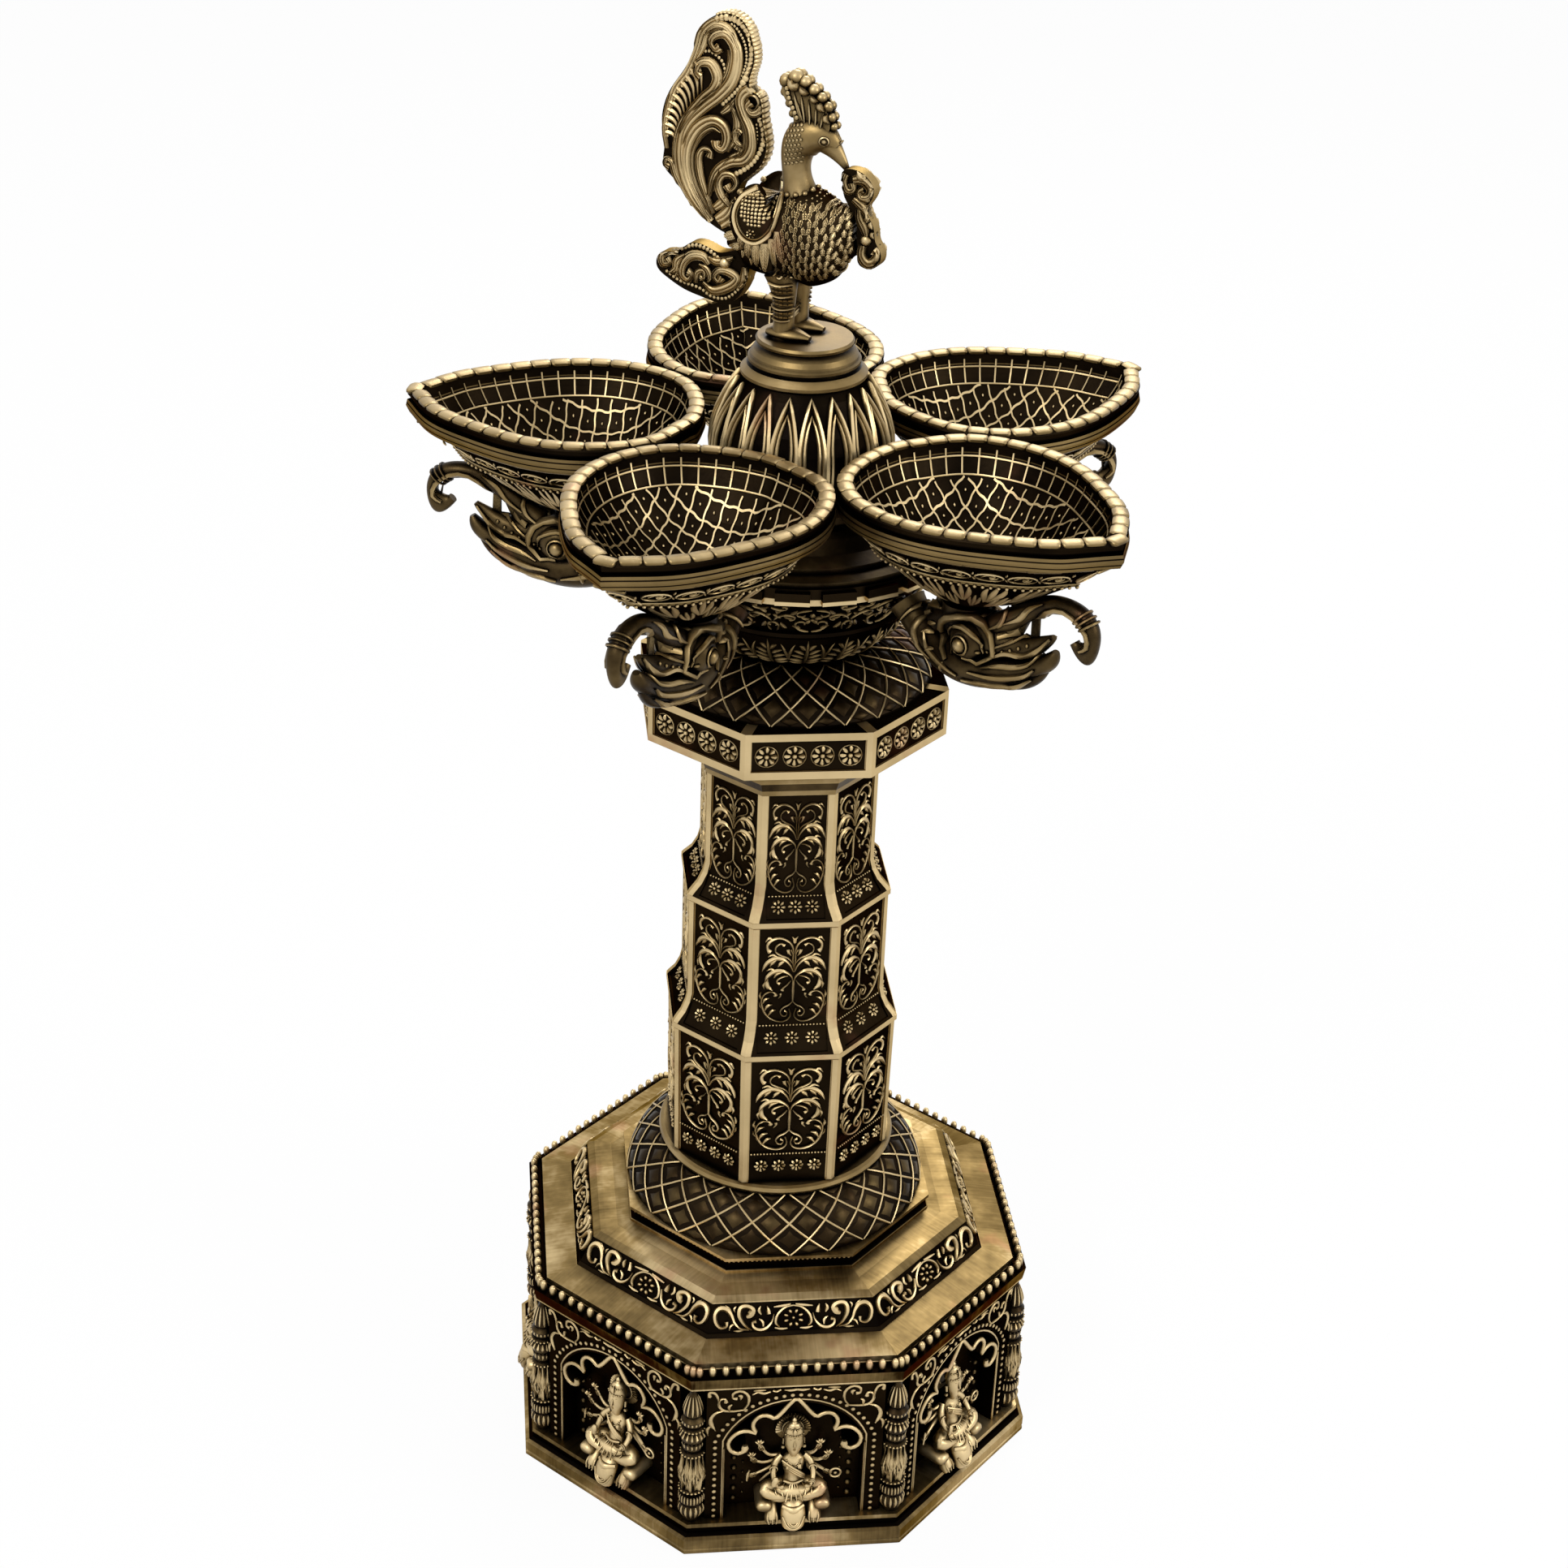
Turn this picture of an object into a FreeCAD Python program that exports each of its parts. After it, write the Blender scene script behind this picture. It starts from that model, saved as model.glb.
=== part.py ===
import FreeCAD, Part
from Sketcher import Constraint
import math
import os

# A brass temple lamp: an octagonal base with eight seated goddesses, a stepped octagonal column,
# and a crown of five oil bowls on scrolled brackets round a lotus bud, with a peacock finial.
# The lamp stands on the plane z = 0 with its axis on Z. The front face of the octagon looks along -Y.
# All lengths are millimetres. An angle round the lamp counts from -Y towards +X.

SIZES = {
    "Base": {
        "plinth_circumradius": 119.0,
        "plinth_height": 14.4,
        "plinth_lip_height": 2.8,
        "plinth_band_top": 8.4,
        "plinth_groove_depth": 3.6,
        "plinth_ledge_inset": 3.5,
        "plinth_edge": 1.2,
        "base_cavity_circumradius": 99.0,
        "drum_circumradius": 112.0,
        "drum_height": 70.4,
        "niche_half_width": 28.6,
        "niche_spring_height": 42.0,
        "niche_arch_rise": 19.5,
        "niche_depth": 8.0,
        "colonnette_circumradius": 110.0,
        "colonnette_radius": 5.4,
        "colonnette_clearance": 0.3,
        "figure_width": 40.0,
        "figure_height": 57.0,
        "figure_depth": 14.6,
        "figure_foot_height": 9.9,
        "cornice_height": 12.2,
        "cornice_circumradius": 114.0,
        "cornice_fascia_height": 6.4,
        "cornice_channel_depth": 5.6,
        "cornice_plate_circumradius": 107.8,
        "cornice_recess_depth": 7.2,
        "cornice_boss_radius": 38.0,
    },
    "Tiers": {
        "frieze_circumradius": 84.2,
        "frieze_height": 12.1,
        "frieze_step_width": 10.0,
        "frieze_step_height": 1.4,
        "frieze_floor": 3.0,
        "frieze_hollow_radius": 72.0,
        "frieze_boss_radius": 14.0,
        "slab_circumradius": 86.3,
        "slab_height": 2.9,
        "dome_plinth_circumradius": 69.2,
        "dome_plinth_height": 7.2,
        "dome_plinth_plate": 1.6,
        "dome_plinth_recess": 2.0,
        "lower_dome_radius": 63.2,
        "lower_dome_height": 20.3,
        "lower_dome_top_radius": 47.5,
        "foot_ring_radius": 50.0,
        "foot_ring_height": 4.0,
        "step_draft": 0.2,
    },
    "Column": {
        "column_bore_radius": 30.0,
        "lower_tier_height": 64.1,
        "lower_tier_circumradius": 50.3,
        "middle_tier_height": 59.7,
        "middle_tier_circumradius": 44.5,
        "upper_tier_height": 73.9,
        "upper_tier_circumradius": 37.6,
        "tier_cove_height": 13.0,
        "tier_band_height": 3.2,
        "tier_band_projection": 0.9,
        "rib_width": 4.6,
        "panel_depth": 0.8,
        "capital_circumradius": 62.7,
        "capital_height": 19.3,
        "capital_band_height": 3.2,
        "upper_dome_radius": 53.8,
        "upper_dome_height": 14.5,
        "upper_dome_top_radius": 31.0,
    },
    "Core": {
        "rod_radius": 5.0,
        "thread_clearance": 0.1,
        "rod_hole_clearance": 0.5,
        "rod_end_length": 2.3,
        "washer_radius": 11.0,
        "washer_thickness": 2.5,
        "nut_half_width": 8.5,
        "nut_height": 8.0,
        "spigot_radius": 12.0,
        "spigot_length": 33.0,
        "spigot_flange_radius": 16.0,
        "spigot_flange_height": 4.0,
        "spigot_thread_depth": 16.0,
        "spigot_clearance": 0.05,
        "spigot_chamfer": 1.2,
        "seat_clearance": 0.3,
        "stud_length": 56.0,
        "stud_thread_depth": 5.5,
    },
    "Crown": {
        "hub_foot_radius": 31.0,
        "hub_rim_radius": 58.5,
        "hub_height": 37.7,
        "hub_wall": 4.2,
        "hub_floor": 8.7,
        "hub_boss_radius": 17.5,
        "block_ring_height": 6.5,
        "block_ring_radius": 58.6,
        "block_ring_width": 4.2,
        "block_count": 22,
        "block_length": 12.8,
        "block_height": 4.8,
        "block_projection": 2.2,
        "hub_cap_height": 21.5,
        "hub_cap_radius": 57.4,
        "bud_radius": 33.4,
        "bud_height": 39.0,
        "bud_foot_radius": 28.0,
        "bud_neck_radius": 22.6,
        "bud_wall": 3.0,
        "bud_hole_radius": 10.0,
        "collar_radius": 23.6,
        "collar_height": 4.5,
        "collar_boss_radius": 9.2,
        "collar_boss_length": 17.0,
        "collar_thread_depth": 9.0,
    },
    "Bowls": {
        "bowl_count": 5,
        "first_bowl_angle": -104.2,
        "bowl_centre_radius": 85.0,
        "bowl_tip_reach": 66.6,
        "bowl_back_reach": 48.2,
        "bowl_half_width": 47.6,
        "bowl_rim_height": 462.2,
        "bowl_depth": 44.6,
        "bowl_wall": 2.6,
        "bowl_floor": 7.0,
        "bracket_reach": 145.6,
        "bracket_base_height": 386.2,
        "bracket_pad_radius": 9.0,
        "bracket_pad_height": 6.4,
        "screw_radius": 2.5,
        "screw_head_radius": 4.2,
        "screw_head_height": 3.4,
        "bowl_screw_bite": 4.6,
        "screw_clearance": 0.3,
        "bracket_screw_length": 13.0,
    },
    "Finial": {
        "finial_washer_thickness": 0.8,
        "finial_washer_radius": 19.0,
        "finial_stud_radius": 4.0,
        "finial_stud_engagement": 8.0,
        "finial_stud_clearance": 0.05,
        "finial_stud_grip": 6.5,
        "finial_base_radius": 21.0,
        "finial_base_height": 9.5,
        "finial_disc_radius": 18.2,
        "peacock_heading": -32.0,
        "peacock_height": 116.2,
        "plume_thickness": 6.0,
        "crest_thickness": 6.4,
        "garland_thickness": 5.0,
    },
}

OCTAGON_SIDES = 8
NUT_SIDES = 6
FULL_TURN = 360.0
HALF_FACE = FULL_TURN / OCTAGON_SIDES / 2
HALF_FLAT = FULL_TURN / NUT_SIDES / 2
OVERRUN = 5.0

doc = FreeCAD.newDocument("TempleLamp")
sheet = doc.addObject("Spreadsheet::Sheet", "Sizes")
row = 1
for group, entries in SIZES.items():
    sheet.set(f"A{row}", group)
    row += 1
    for alias, value in entries.items():
        sheet.set(f"A{row}", alias)
        sheet.set(f"B{row}", str(value))
        sheet.setAlias(f"B{row}", alias)
        row += 1
doc.recompute()

NODES = {}


def size(alias):
    return float(sheet.get(alias))


def cell(alias):
    return f"Sizes.{alias}"


def total(*aliases):
    return "(" + " + ".join(cell(alias) for alias in aliases) + ")"


def value_of(expression):
    result = sheet.evalExpression(str(expression))
    return float(getattr(result, "Value", result))


# Heights of the seats in the stack, from the ground up
STACK = (
    "plinth_height", "drum_height", "cornice_height", "frieze_height", "slab_height", "dome_plinth_height",
    "lower_dome_height", "foot_ring_height", "lower_tier_height", "middle_tier_height", "upper_tier_height",
    "capital_height", "upper_dome_height",
)


def seat(piece_height):
    """The height at which the piece of that height stands."""
    below = STACK[:STACK.index(piece_height)]
    return total(*below) if below else "0"


STAND_TOP = total(*STACK)
HUB_SEAT = f"{STAND_TOP} + {cell('seat_clearance')}"
FLANGE_TOP = f"{STAND_TOP} + {cell('spigot_flange_height')}"
HUB_TOP = f"{STAND_TOP} + {total('seat_clearance', 'hub_height')}"
RING_TOP = f"{HUB_TOP} + {cell('block_ring_height')}"
CAP_TOP = f"{RING_TOP} + {cell('hub_cap_height')}"
BUD_TOP = f"{CAP_TOP} + {cell('bud_height')}"
COLLAR_TOP = f"{BUD_TOP} + {cell('collar_height')}"
FINIAL_SEAT = f"{COLLAR_TOP} + {cell('finial_washer_thickness')}"
FINIAL_TOP = f"{FINIAL_SEAT} + {cell('finial_base_height')}"


def keep(node, item):
    item.Label = node
    NODES[node] = item
    return item


def turned_by(angle):
    """A placement that turns a shape about the lamp's axis."""
    return FreeCAD.Placement(FreeCAD.Vector(), FreeCAD.Rotation(FreeCAD.Vector(0, 0, 1), angle))


def octagon(name, circumradius, height):
    item = doc.addObject("Part::RegularPolygon", name)
    item.Polygon = OCTAGON_SIDES
    item.setExpression("Circumradius", circumradius)
    item.Placement = turned_by(HALF_FACE)
    item.setExpression(".Placement.Base.z", height)
    return item


def octagonal_loft(name, stations):
    """A solid with octagonal sections, from (circumradius, height) expressions that climb."""
    sections = [octagon(f"{name}_section_{i}", r, z) for i, (r, z) in enumerate(stations)]
    loft = doc.addObject("Part::Loft", name)
    loft.Sections = sections
    loft.Solid = True
    loft.Ruled = True
    return loft


def cylinder(name, radius, bottom, height):
    item = doc.addObject("Part::Cylinder", name)
    item.setExpression("Radius", radius)
    item.setExpression("Height", height)
    item.setExpression(".Placement.Base.z", bottom)
    return item


def cut(name, base, tool):
    item = doc.addObject("Part::Cut", name)
    item.Base = base
    item.Tool = tool
    return item


def fuse(name, *items):
    item = doc.addObject("Part::MultiFuse", name)
    item.Shapes = list(items)
    return item


def common(name, first, second):
    item = doc.addObject("Part::MultiCommon", name)
    item.Shapes = [first, second]
    return item


def origin_plane(body, role):
    return next(f for f in body.Origin.OriginFeatures if f.Role == role)


def sketch_on(body, name, role):
    sketch = body.newObject("Sketcher::SketchObject", name)
    sketch.AttachmentSupport = [(origin_plane(body, role), "")]
    sketch.MapMode = "FlatFace"
    return sketch


def pin_point(sketch, line, end, across, up):
    """Hold the end of a sketch line at two expressions measured from the origin."""
    for kind, expression in (("DistanceX", across), ("DistanceY", up)):
        if expression == "0":
            axis = -2 if kind == "DistanceX" else -1
            sketch.addConstraint(Constraint("PointOnObject", line, end, axis))
        else:
            index = sketch.addConstraint(Constraint(kind, line, end, value_of(expression)))
            sketch.setExpression(f"Constraints[{index}]", expression)


def closed_profile(sketch, points):
    """Straight lines through (across, up) expressions, each point held by its own dimensions."""
    corners = [FreeCAD.Vector(value_of(a), value_of(u), 0) for a, u in points]
    count = len(corners)
    for i in range(count):
        sketch.addGeometry(Part.LineSegment(corners[i], corners[(i + 1) % count]), False)
    for i in range(count):
        sketch.addConstraint(Constraint("Coincident", i, 2, (i + 1) % count, 1))
    for i, (across, up) in enumerate(points):
        pin_point(sketch, i, 1, across, up)


def turned(name, points):
    """A body turned about Z from a closed profile of (radius, height) expressions."""
    body = doc.addObject("PartDesign::Body", name)
    sketch = sketch_on(body, f"{name}_profile", "XZ_Plane")
    closed_profile(sketch, points)
    turn = body.newObject("PartDesign::Revolution", f"{name}_turn")
    turn.Profile = sketch
    turn.ReferenceAxis = (sketch, ["V_Axis"])
    turn.Angle = FULL_TURN
    sketch.Visibility = False
    body.Tip = turn
    return body


def moulding(base_height, radius, height, shares):
    """Profile points from shares of a piece's own radius and height, above its seat."""
    points = []
    for radius_share, height_share in shares:
        across = f"({radius}) * {radius_share}" if radius_share else "0"
        points.append((across, f"({base_height}) + ({height}) * {height_share}"))
    return points


# Shares of the plinth's edge by which the groove's top and the ledge's foot lie below the plinth's top
PLINTH_GROOVE_TOP_SHARE = 2.0
PLINTH_LEDGE_FOOT_SHARE = 1.5


# Plinth: a lip, a flat band, a groove and an inner ledge round an open ring
def make_plinth():
    radius = cell("plinth_circumradius")
    edge = cell("plinth_edge")
    draft = cell("step_draft")
    groove = f"{radius} - {cell('plinth_groove_depth')}"
    ledge = f"{radius} - {cell('plinth_ledge_inset')}"
    lip = cell("plinth_lip_height")
    band = cell("plinth_band_top")
    top = cell("plinth_height")
    outer = octagonal_loft("plinth_outside", (
        (f"{radius} - {edge}", "0"),
        (radius, edge),
        (radius, lip),
        (f"{radius} - {edge} / 2", f"{lip} + {edge} / 2"),
        (radius, f"{lip} + {edge}"),
        (radius, band),
        (groove, f"{band} + {edge}"),
        (groove, f"{top} - {edge} * {PLINTH_GROOVE_TOP_SHARE}"),
        (f"{ledge} + {draft}", f"{top} - {edge} * {PLINTH_LEDGE_FOOT_SHARE}"),
        (ledge, top),
    ))
    hollow = octagonal_loft("plinth_hollow", (
        (cell("base_cavity_circumradius"), f"0 - {OVERRUN}"),
        (cell("base_cavity_circumradius"), f"{top} + {OVERRUN}"),
    ))
    keep("plinth_foot", cut("plinth_foot", outer, hollow))


def corner_expressions(angle):
    """Where a colonnette stands, for an angle round the lamp."""
    ring = cell("colonnette_circumradius")
    return f"{ring} * sin({angle} deg)", f"0 - {ring} * cos({angle} deg)"


CORNER_ANGLES = [HALF_FACE * (2 * i + 1) for i in range(OCTAGON_SIDES)]
FACE_ANGLES = [HALF_FACE * 2 * i for i in range(OCTAGON_SIDES)]


# Drum: eight walls round a hollow, each with an arched niche, and a rebate at each corner
def make_drum():
    bottom = seat("drum_height")
    top = f"{bottom} + {cell('drum_height')}"
    outer = octagonal_loft("drum_outside", (
        (cell("drum_circumradius"), bottom),
        (cell("drum_circumradius"), top),
    ))
    hollow = octagonal_loft("drum_hollow", (
        (cell("base_cavity_circumradius"), f"{bottom} - {OVERRUN}"),
        (cell("base_cavity_circumradius"), f"{top} + {OVERRUN}"),
    ))
    niches = doc.addObject("Part::Feature", "drum_niches")
    niches.Shape = Part.makeCompound([turned_to_face(niche_shape(), angle) for angle in FACE_ANGLES])
    rebates = []
    for i, angle in enumerate(CORNER_ANGLES):
        rebate = cylinder(
            f"corner_rebate_{i + 1}", total("colonnette_radius", "colonnette_clearance"),
            f"{bottom} - {OVERRUN}", f"{cell('drum_height')} + 2 * {OVERRUN}",
        )
        across, along = corner_expressions(angle)
        rebate.setExpression(".Placement.Base.x", across)
        rebate.setExpression(".Placement.Base.y", along)
        rebates.append(rebate)
    walls = cut("drum_walls", outer, hollow)
    arched = cut("drum_arched", walls, niches)
    keep("base_drum", cut("base_drum", arched, fuse("corner_rebates", *rebates)))


def apothem(circumradius):
    return circumradius * math.cos(math.pi / OCTAGON_SIDES)


def turned_to_face(shape, angle):
    """A copy of a shape modelled on the front face, carried round to another angle."""
    copy = shape.copy()
    copy.rotate(FreeCAD.Vector(), FreeCAD.Vector(0, 0, 1), angle)
    return copy


def niche_floor():
    return -apothem(size("drum_circumradius")) + size("niche_depth")


def niche_shape():
    half = size("niche_half_width")
    base = size("plinth_height")
    spring = base + size("niche_spring_height")
    crown = spring + size("niche_arch_rise")
    back = niche_floor()
    left_foot = FreeCAD.Vector(-half, back, base)
    right_foot = FreeCAD.Vector(half, back, base)
    left_spring = FreeCAD.Vector(-half, back, spring)
    right_spring = FreeCAD.Vector(half, back, spring)
    arch = Part.Arc(left_spring, FreeCAD.Vector(0, back, crown), right_spring).toShape()
    outline = Part.Wire([
        Part.makeLine(left_foot, left_spring),
        arch,
        Part.makeLine(right_spring, right_foot),
        Part.makeLine(right_foot, left_foot),
    ])
    return Part.Face(outline).extrude(FreeCAD.Vector(0, -size("niche_depth") - OVERRUN, 0))


# Corner colonnette: ribbed pot foot, collars, leaf vase, fluted neck and a bud, as shares of its size
COLONNETTE_SHARES = (
    (0.66, 0.0), (0.72, 0.03), (0.96, 0.075), (1.0, 0.10), (0.9, 0.125), (0.72, 0.14), (0.98, 0.15),
    (0.98, 0.2), (0.72, 0.21), (0.72, 0.225), (0.95, 0.235), (0.95, 0.25), (0.7, 0.262), (0.74, 0.29),
    (1.0, 0.34), (0.98, 0.385), (0.74, 0.45), (0.66, 0.485), (0.66, 0.50), (0.88, 0.51), (0.88, 0.53),
    (0.66, 0.54), (0.78, 0.56), (0.82, 0.60), (0.66, 0.61), (0.9, 0.625), (0.96, 0.655), (0.74, 0.68),
    (0.68, 0.69), (0.9, 0.7), (0.9, 0.715), (0.7, 0.725), (0.86, 0.745), (0.9, 0.775), (0.62, 0.80),
    (0.74, 0.815), (0.72, 0.85), (0.5, 0.91), (0.28, 0.96), (0.3, 1.0),
)


def make_colonnettes():
    bottom = seat("drum_height")
    for i, angle in enumerate(CORNER_ANGLES):
        name = f"corner_colonnette_{i + 1}"
        points = moulding(bottom, cell("colonnette_radius"), cell("drum_height"), COLONNETTE_SHARES)
        points = [("0", points[0][1])] + points + [("0", points[-1][1])]
        body = turned(name, points)
        across, along = corner_expressions(angle)
        body.setExpression(".Placement.Base.x", across)
        body.setExpression(".Placement.Base.y", along)
        keep(name, body)


# Closed forms for the castings that follow no straight rule
SMOOTH_RING_POINTS = 8
CUT_RING_SIDES = 10


def ring_wire(centre, side, up, side_radius, up_radius, smooth):
    """A closed section round a centre, smooth or cut in flats, with its own radius along two directions."""
    count = SMOOTH_RING_POINTS if smooth else CUT_RING_SIDES
    points = []
    for i in range(count):
        angle = 2 * math.pi * i / count
        points.append(centre + side * (side_radius * math.cos(angle)) + up * (up_radius * math.sin(angle)))
    if not smooth:
        return Part.makePolygon(points + [points[0]])
    curve = Part.BSplineCurve()
    curve.interpolate(Points=points, PeriodicFlag=True)
    return Part.Wire([curve.toShape()])


def crosswise(directions):
    """The axis that a path's directions follow least."""
    axes = (FreeCAD.Vector(0, 1, 0), FreeCAD.Vector(1, 0, 0), FreeCAD.Vector(0, 0, 1))
    return min(axes, key=lambda axis: max(abs(axis.dot(direction)) for direction in directions))


def limb(points, radii, flat=1.0, smooth=True):
    """A tapering limb along a smooth path. Its radius across the path's plane is flat times the other."""
    path = Part.BSplineCurve()
    path.interpolate([FreeCAD.Vector(*p) for p in points])
    first, last = path.FirstParameter, path.LastParameter
    places = [first + (last - first) * i / (len(radii) - 1) for i in range(len(radii))]
    across = crosswise([path.tangent(at)[0] for at in places])
    sections = []
    for at, radius in zip(places, radii):
        along = path.tangent(at)[0]
        side = (across - along * across.dot(along)).normalize()
        up = along.cross(side)
        sections.append(ring_wire(path.value(at), side, up, radius * flat, radius, smooth))
    return Part.makeLoft(sections, True, not smooth)


def joined(parts):
    whole = parts[0].fuse(parts[1:])
    solids = whole.Solids
    if len(solids) != 1:
        found = [f"{solid.Volume:.1f} at {solid.CenterOfMass}" for solid in solids]
        raise ValueError(f"a casting fell into {len(solids)} solids: {found}")
    return solids[0]


def largest(shape):
    """The main solid of a cut casting."""
    return max(shape.Solids, key=lambda solid: solid.Volume)


def feature(node, shape, placement=None):
    item = doc.addObject("Part::Feature", node)
    item.Shape = shape
    if placement:
        item.Placement = placement
    return keep(node, item)


# Seated goddess: throne on rounded feet, crossed legs, torso, crowned head, halo and eight arms.
# A place is a share of the figure's width across, of its depth outwards and of its height up.
# Each limb is its places, with radii along it as shares of the width.
ARM_RADIUS_SHARES = (0.04, 0.036, 0.034, 0.05, 0.025)
FIGURE_LIMB_SHARES = {
    "throne_foot": (
        ((0.215, 0.20, 0.12), (0.215, 0.50, 0.09), (0.215, 0.76, 0.09)),
        (0.07, 0.085, 0.082, 0.03),
    ),
    "bolster": (((0.34, -0.05, 0.225), (0.34, 0.62, 0.225)), (0.085, 0.09, 0.088, 0.05)),
    "leg": (
        ((0.07, 0.20, 0.30), (0.19, 0.40, 0.30), (0.27, 0.52, 0.315), (0.17, 0.70, 0.295),
         (0.045, 0.78, 0.27)),
        (0.085, 0.088, 0.078, 0.062, 0.048, 0.025),
    ),
    "front_arm": (((0.15, 0.34, 0.60), (0.25, 0.44, 0.455), (0.14, 0.66, 0.39)), ARM_RADIUS_SHARES),
}
FIGURE_MIDDLE_SHARES = {
    "middle_throne_foot": (
        ((0.0, 0.20, 0.14), (0.0, 0.60, 0.10), (0.0, 0.95, 0.10)),
        (0.08, 0.10, 0.105, 0.04),
    ),
    "seat": (((-0.31, 0.40, 0.215), (0.31, 0.40, 0.215)), (0.05, 0.10, 0.103, 0.10, 0.05)),
    "torso": (
        ((0.0, 0.28, 0.27), (0.0, 0.31, 0.38), (0.0, 0.33, 0.50), (0.0, 0.34, 0.60)),
        (0.12, 0.095, 0.09, 0.125, 0.08),
    ),
    "shoulders": (
        ((-0.20, 0.30, 0.57), (0.0, 0.29, 0.595), (0.20, 0.30, 0.57)),
        (0.03, 0.062, 0.055, 0.062, 0.03),
    ),
    "head": (
        ((0.0, 0.34, 0.57), (0.0, 0.37, 0.64), (0.0, 0.42, 0.73), (0.0, 0.40, 0.81)),
        (0.055, 0.052, 0.080, 0.097, 0.085, 0.05),
    ),
    "crown": (
        ((0.0, 0.37, 0.79), (0.0, 0.37, 0.88), (0.0, 0.37, 0.99)),
        (0.086, 0.070, 0.045, 0.042, 0.012),
    ),
    "left_upper_arm": (((-0.13, 0.18, 0.55), (-0.32, 0.22, 0.545), (-0.45, 0.28, 0.69)), ARM_RADIUS_SHARES),
    "right_upper_arm": (((0.13, 0.17, 0.55), (0.32, 0.22, 0.545), (0.44, 0.28, 0.67)), ARM_RADIUS_SHARES),
    "left_side_arm": (((-0.12, 0.22, 0.52), (-0.31, 0.26, 0.455), (-0.46, 0.30, 0.52)), ARM_RADIUS_SHARES),
    "right_side_arm": (((0.12, 0.23, 0.52), (0.31, 0.26, 0.455), (0.46, 0.30, 0.45)), ARM_RADIUS_SHARES),
    "left_raised_arm": (((-0.14, 0.16, 0.58), (-0.29, 0.19, 0.65), (-0.37, 0.26, 0.79)), ARM_RADIUS_SHARES),
    "right_raised_arm": (((0.14, 0.15, 0.58), (0.28, 0.19, 0.65), (0.32, 0.26, 0.77)), ARM_RADIUS_SHARES),
}
HALO_SHARES = ((0.0, -0.1, 0.80), 0.195, 0.40)


def figure_shape():
    width = size("figure_width")
    depth = size("figure_depth")
    height = size("figure_height")
    back = niche_floor()
    foot = size("figure_foot_height")

    def place(shares, side=1):
        across, out, up = shares
        return FreeCAD.Vector(side * across * width, back - out * depth, foot + up * height)

    def member(places, radii, side=1):
        return limb([place(p, side) for p in places], [radius * width for radius in radii], smooth=False)

    parts = [member(places, radii) for places, radii in FIGURE_MIDDLE_SHARES.values()]
    for places, radii in FIGURE_LIMB_SHARES.values():
        for side in (-1, 1):
            parts.append(member(places, radii, side))
    halo_centre, halo_radius, halo_depth = HALO_SHARES
    parts.append(Part.makeCylinder(
        halo_radius * width, halo_depth * depth, place(halo_centre), FreeCAD.Vector(0, -1, 0),
    ))
    whole = joined(parts)
    behind = Part.makeBox(width * 2, depth, height * 2, FreeCAD.Vector(-width, back, foot - height / 2))
    ledge_face = -apothem(size("plinth_circumradius") - size("plinth_ledge_inset")) - size("step_draft")
    under = Part.makeBox(
        width * 2, depth * 2, size("plinth_height") - foot + height,
        FreeCAD.Vector(-width, ledge_face, foot - height),
    )
    return largest(whole.cut([behind, under]))


def make_figures():
    shape = figure_shape()
    for i, angle in enumerate(FACE_ANGLES):
        feature(f"goddess_figure_{i + 1}", shape.copy(), turned_by(angle))


def rod_hole(name, bottom, height):
    return cylinder(
        f"{name}_rod_hole", total("rod_radius", "rod_hole_clearance"),
        f"{bottom} - {OVERRUN}", f"{height} + 2 * {OVERRUN}",
    )


# The cornice's small slopes, as shares of the draft: at its foot, in its channel and under its plate
CORNICE_DRAFT_SHARES = (6, 6, 10)


# Cornice: plain fascia, a channel for the bead row, and a brushed plate over a recess with a boss
def make_cornice():
    bottom = seat("cornice_height")
    radius = cell("cornice_circumradius")
    plate = cell("cornice_plate_circumradius")
    draft = cell("step_draft")
    fascia_top = f"{bottom} + {cell('cornice_fascia_height')}"
    top = f"{bottom} + {cell('cornice_height')}"
    frieze_foot = total("frieze_circumradius", "frieze_step_width")
    foot, channel, plate_edge = CORNICE_DRAFT_SHARES
    outer = octagonal_loft("cornice_outside", (
        (f"{radius} - {draft} * {foot}", bottom),
        (radius, fascia_top),
        (f"{radius} - {cell('cornice_channel_depth')}", f"{fascia_top} + {draft}"),
        (plate, f"{fascia_top} + {draft} * {channel}"),
        (plate, f"{top} - {draft} * {plate_edge}"),
        (frieze_foot, top),
    ))
    recess = cylinder("cornice_recess", f"{cell('base_cavity_circumradius')} * cos({HALF_FACE} deg)",
                      f"{bottom} - {OVERRUN}", f"{cell('cornice_recess_depth')} + {OVERRUN}")
    boss = cylinder("cornice_boss", cell("cornice_boss_radius"),
                    f"{bottom} - {OVERRUN}", f"{cell('cornice_recess_depth')} + 2 * {OVERRUN}")
    deck = cut("cornice_deck", outer, cut("cornice_hollow", recess, boss))
    keep("base_cornice", cut("base_cornice", deck, rod_hole("cornice", bottom, cell("cornice_height"))))


# The frieze's little step: shares of its width outside the wall, with shares of the draft above its shoulder
FRIEZE_STEP_SHARES = ((0.35, 1), (0.25, 5), (0.0, 6))
FRIEZE_SHOULDER_SHARE = 0.85


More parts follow.
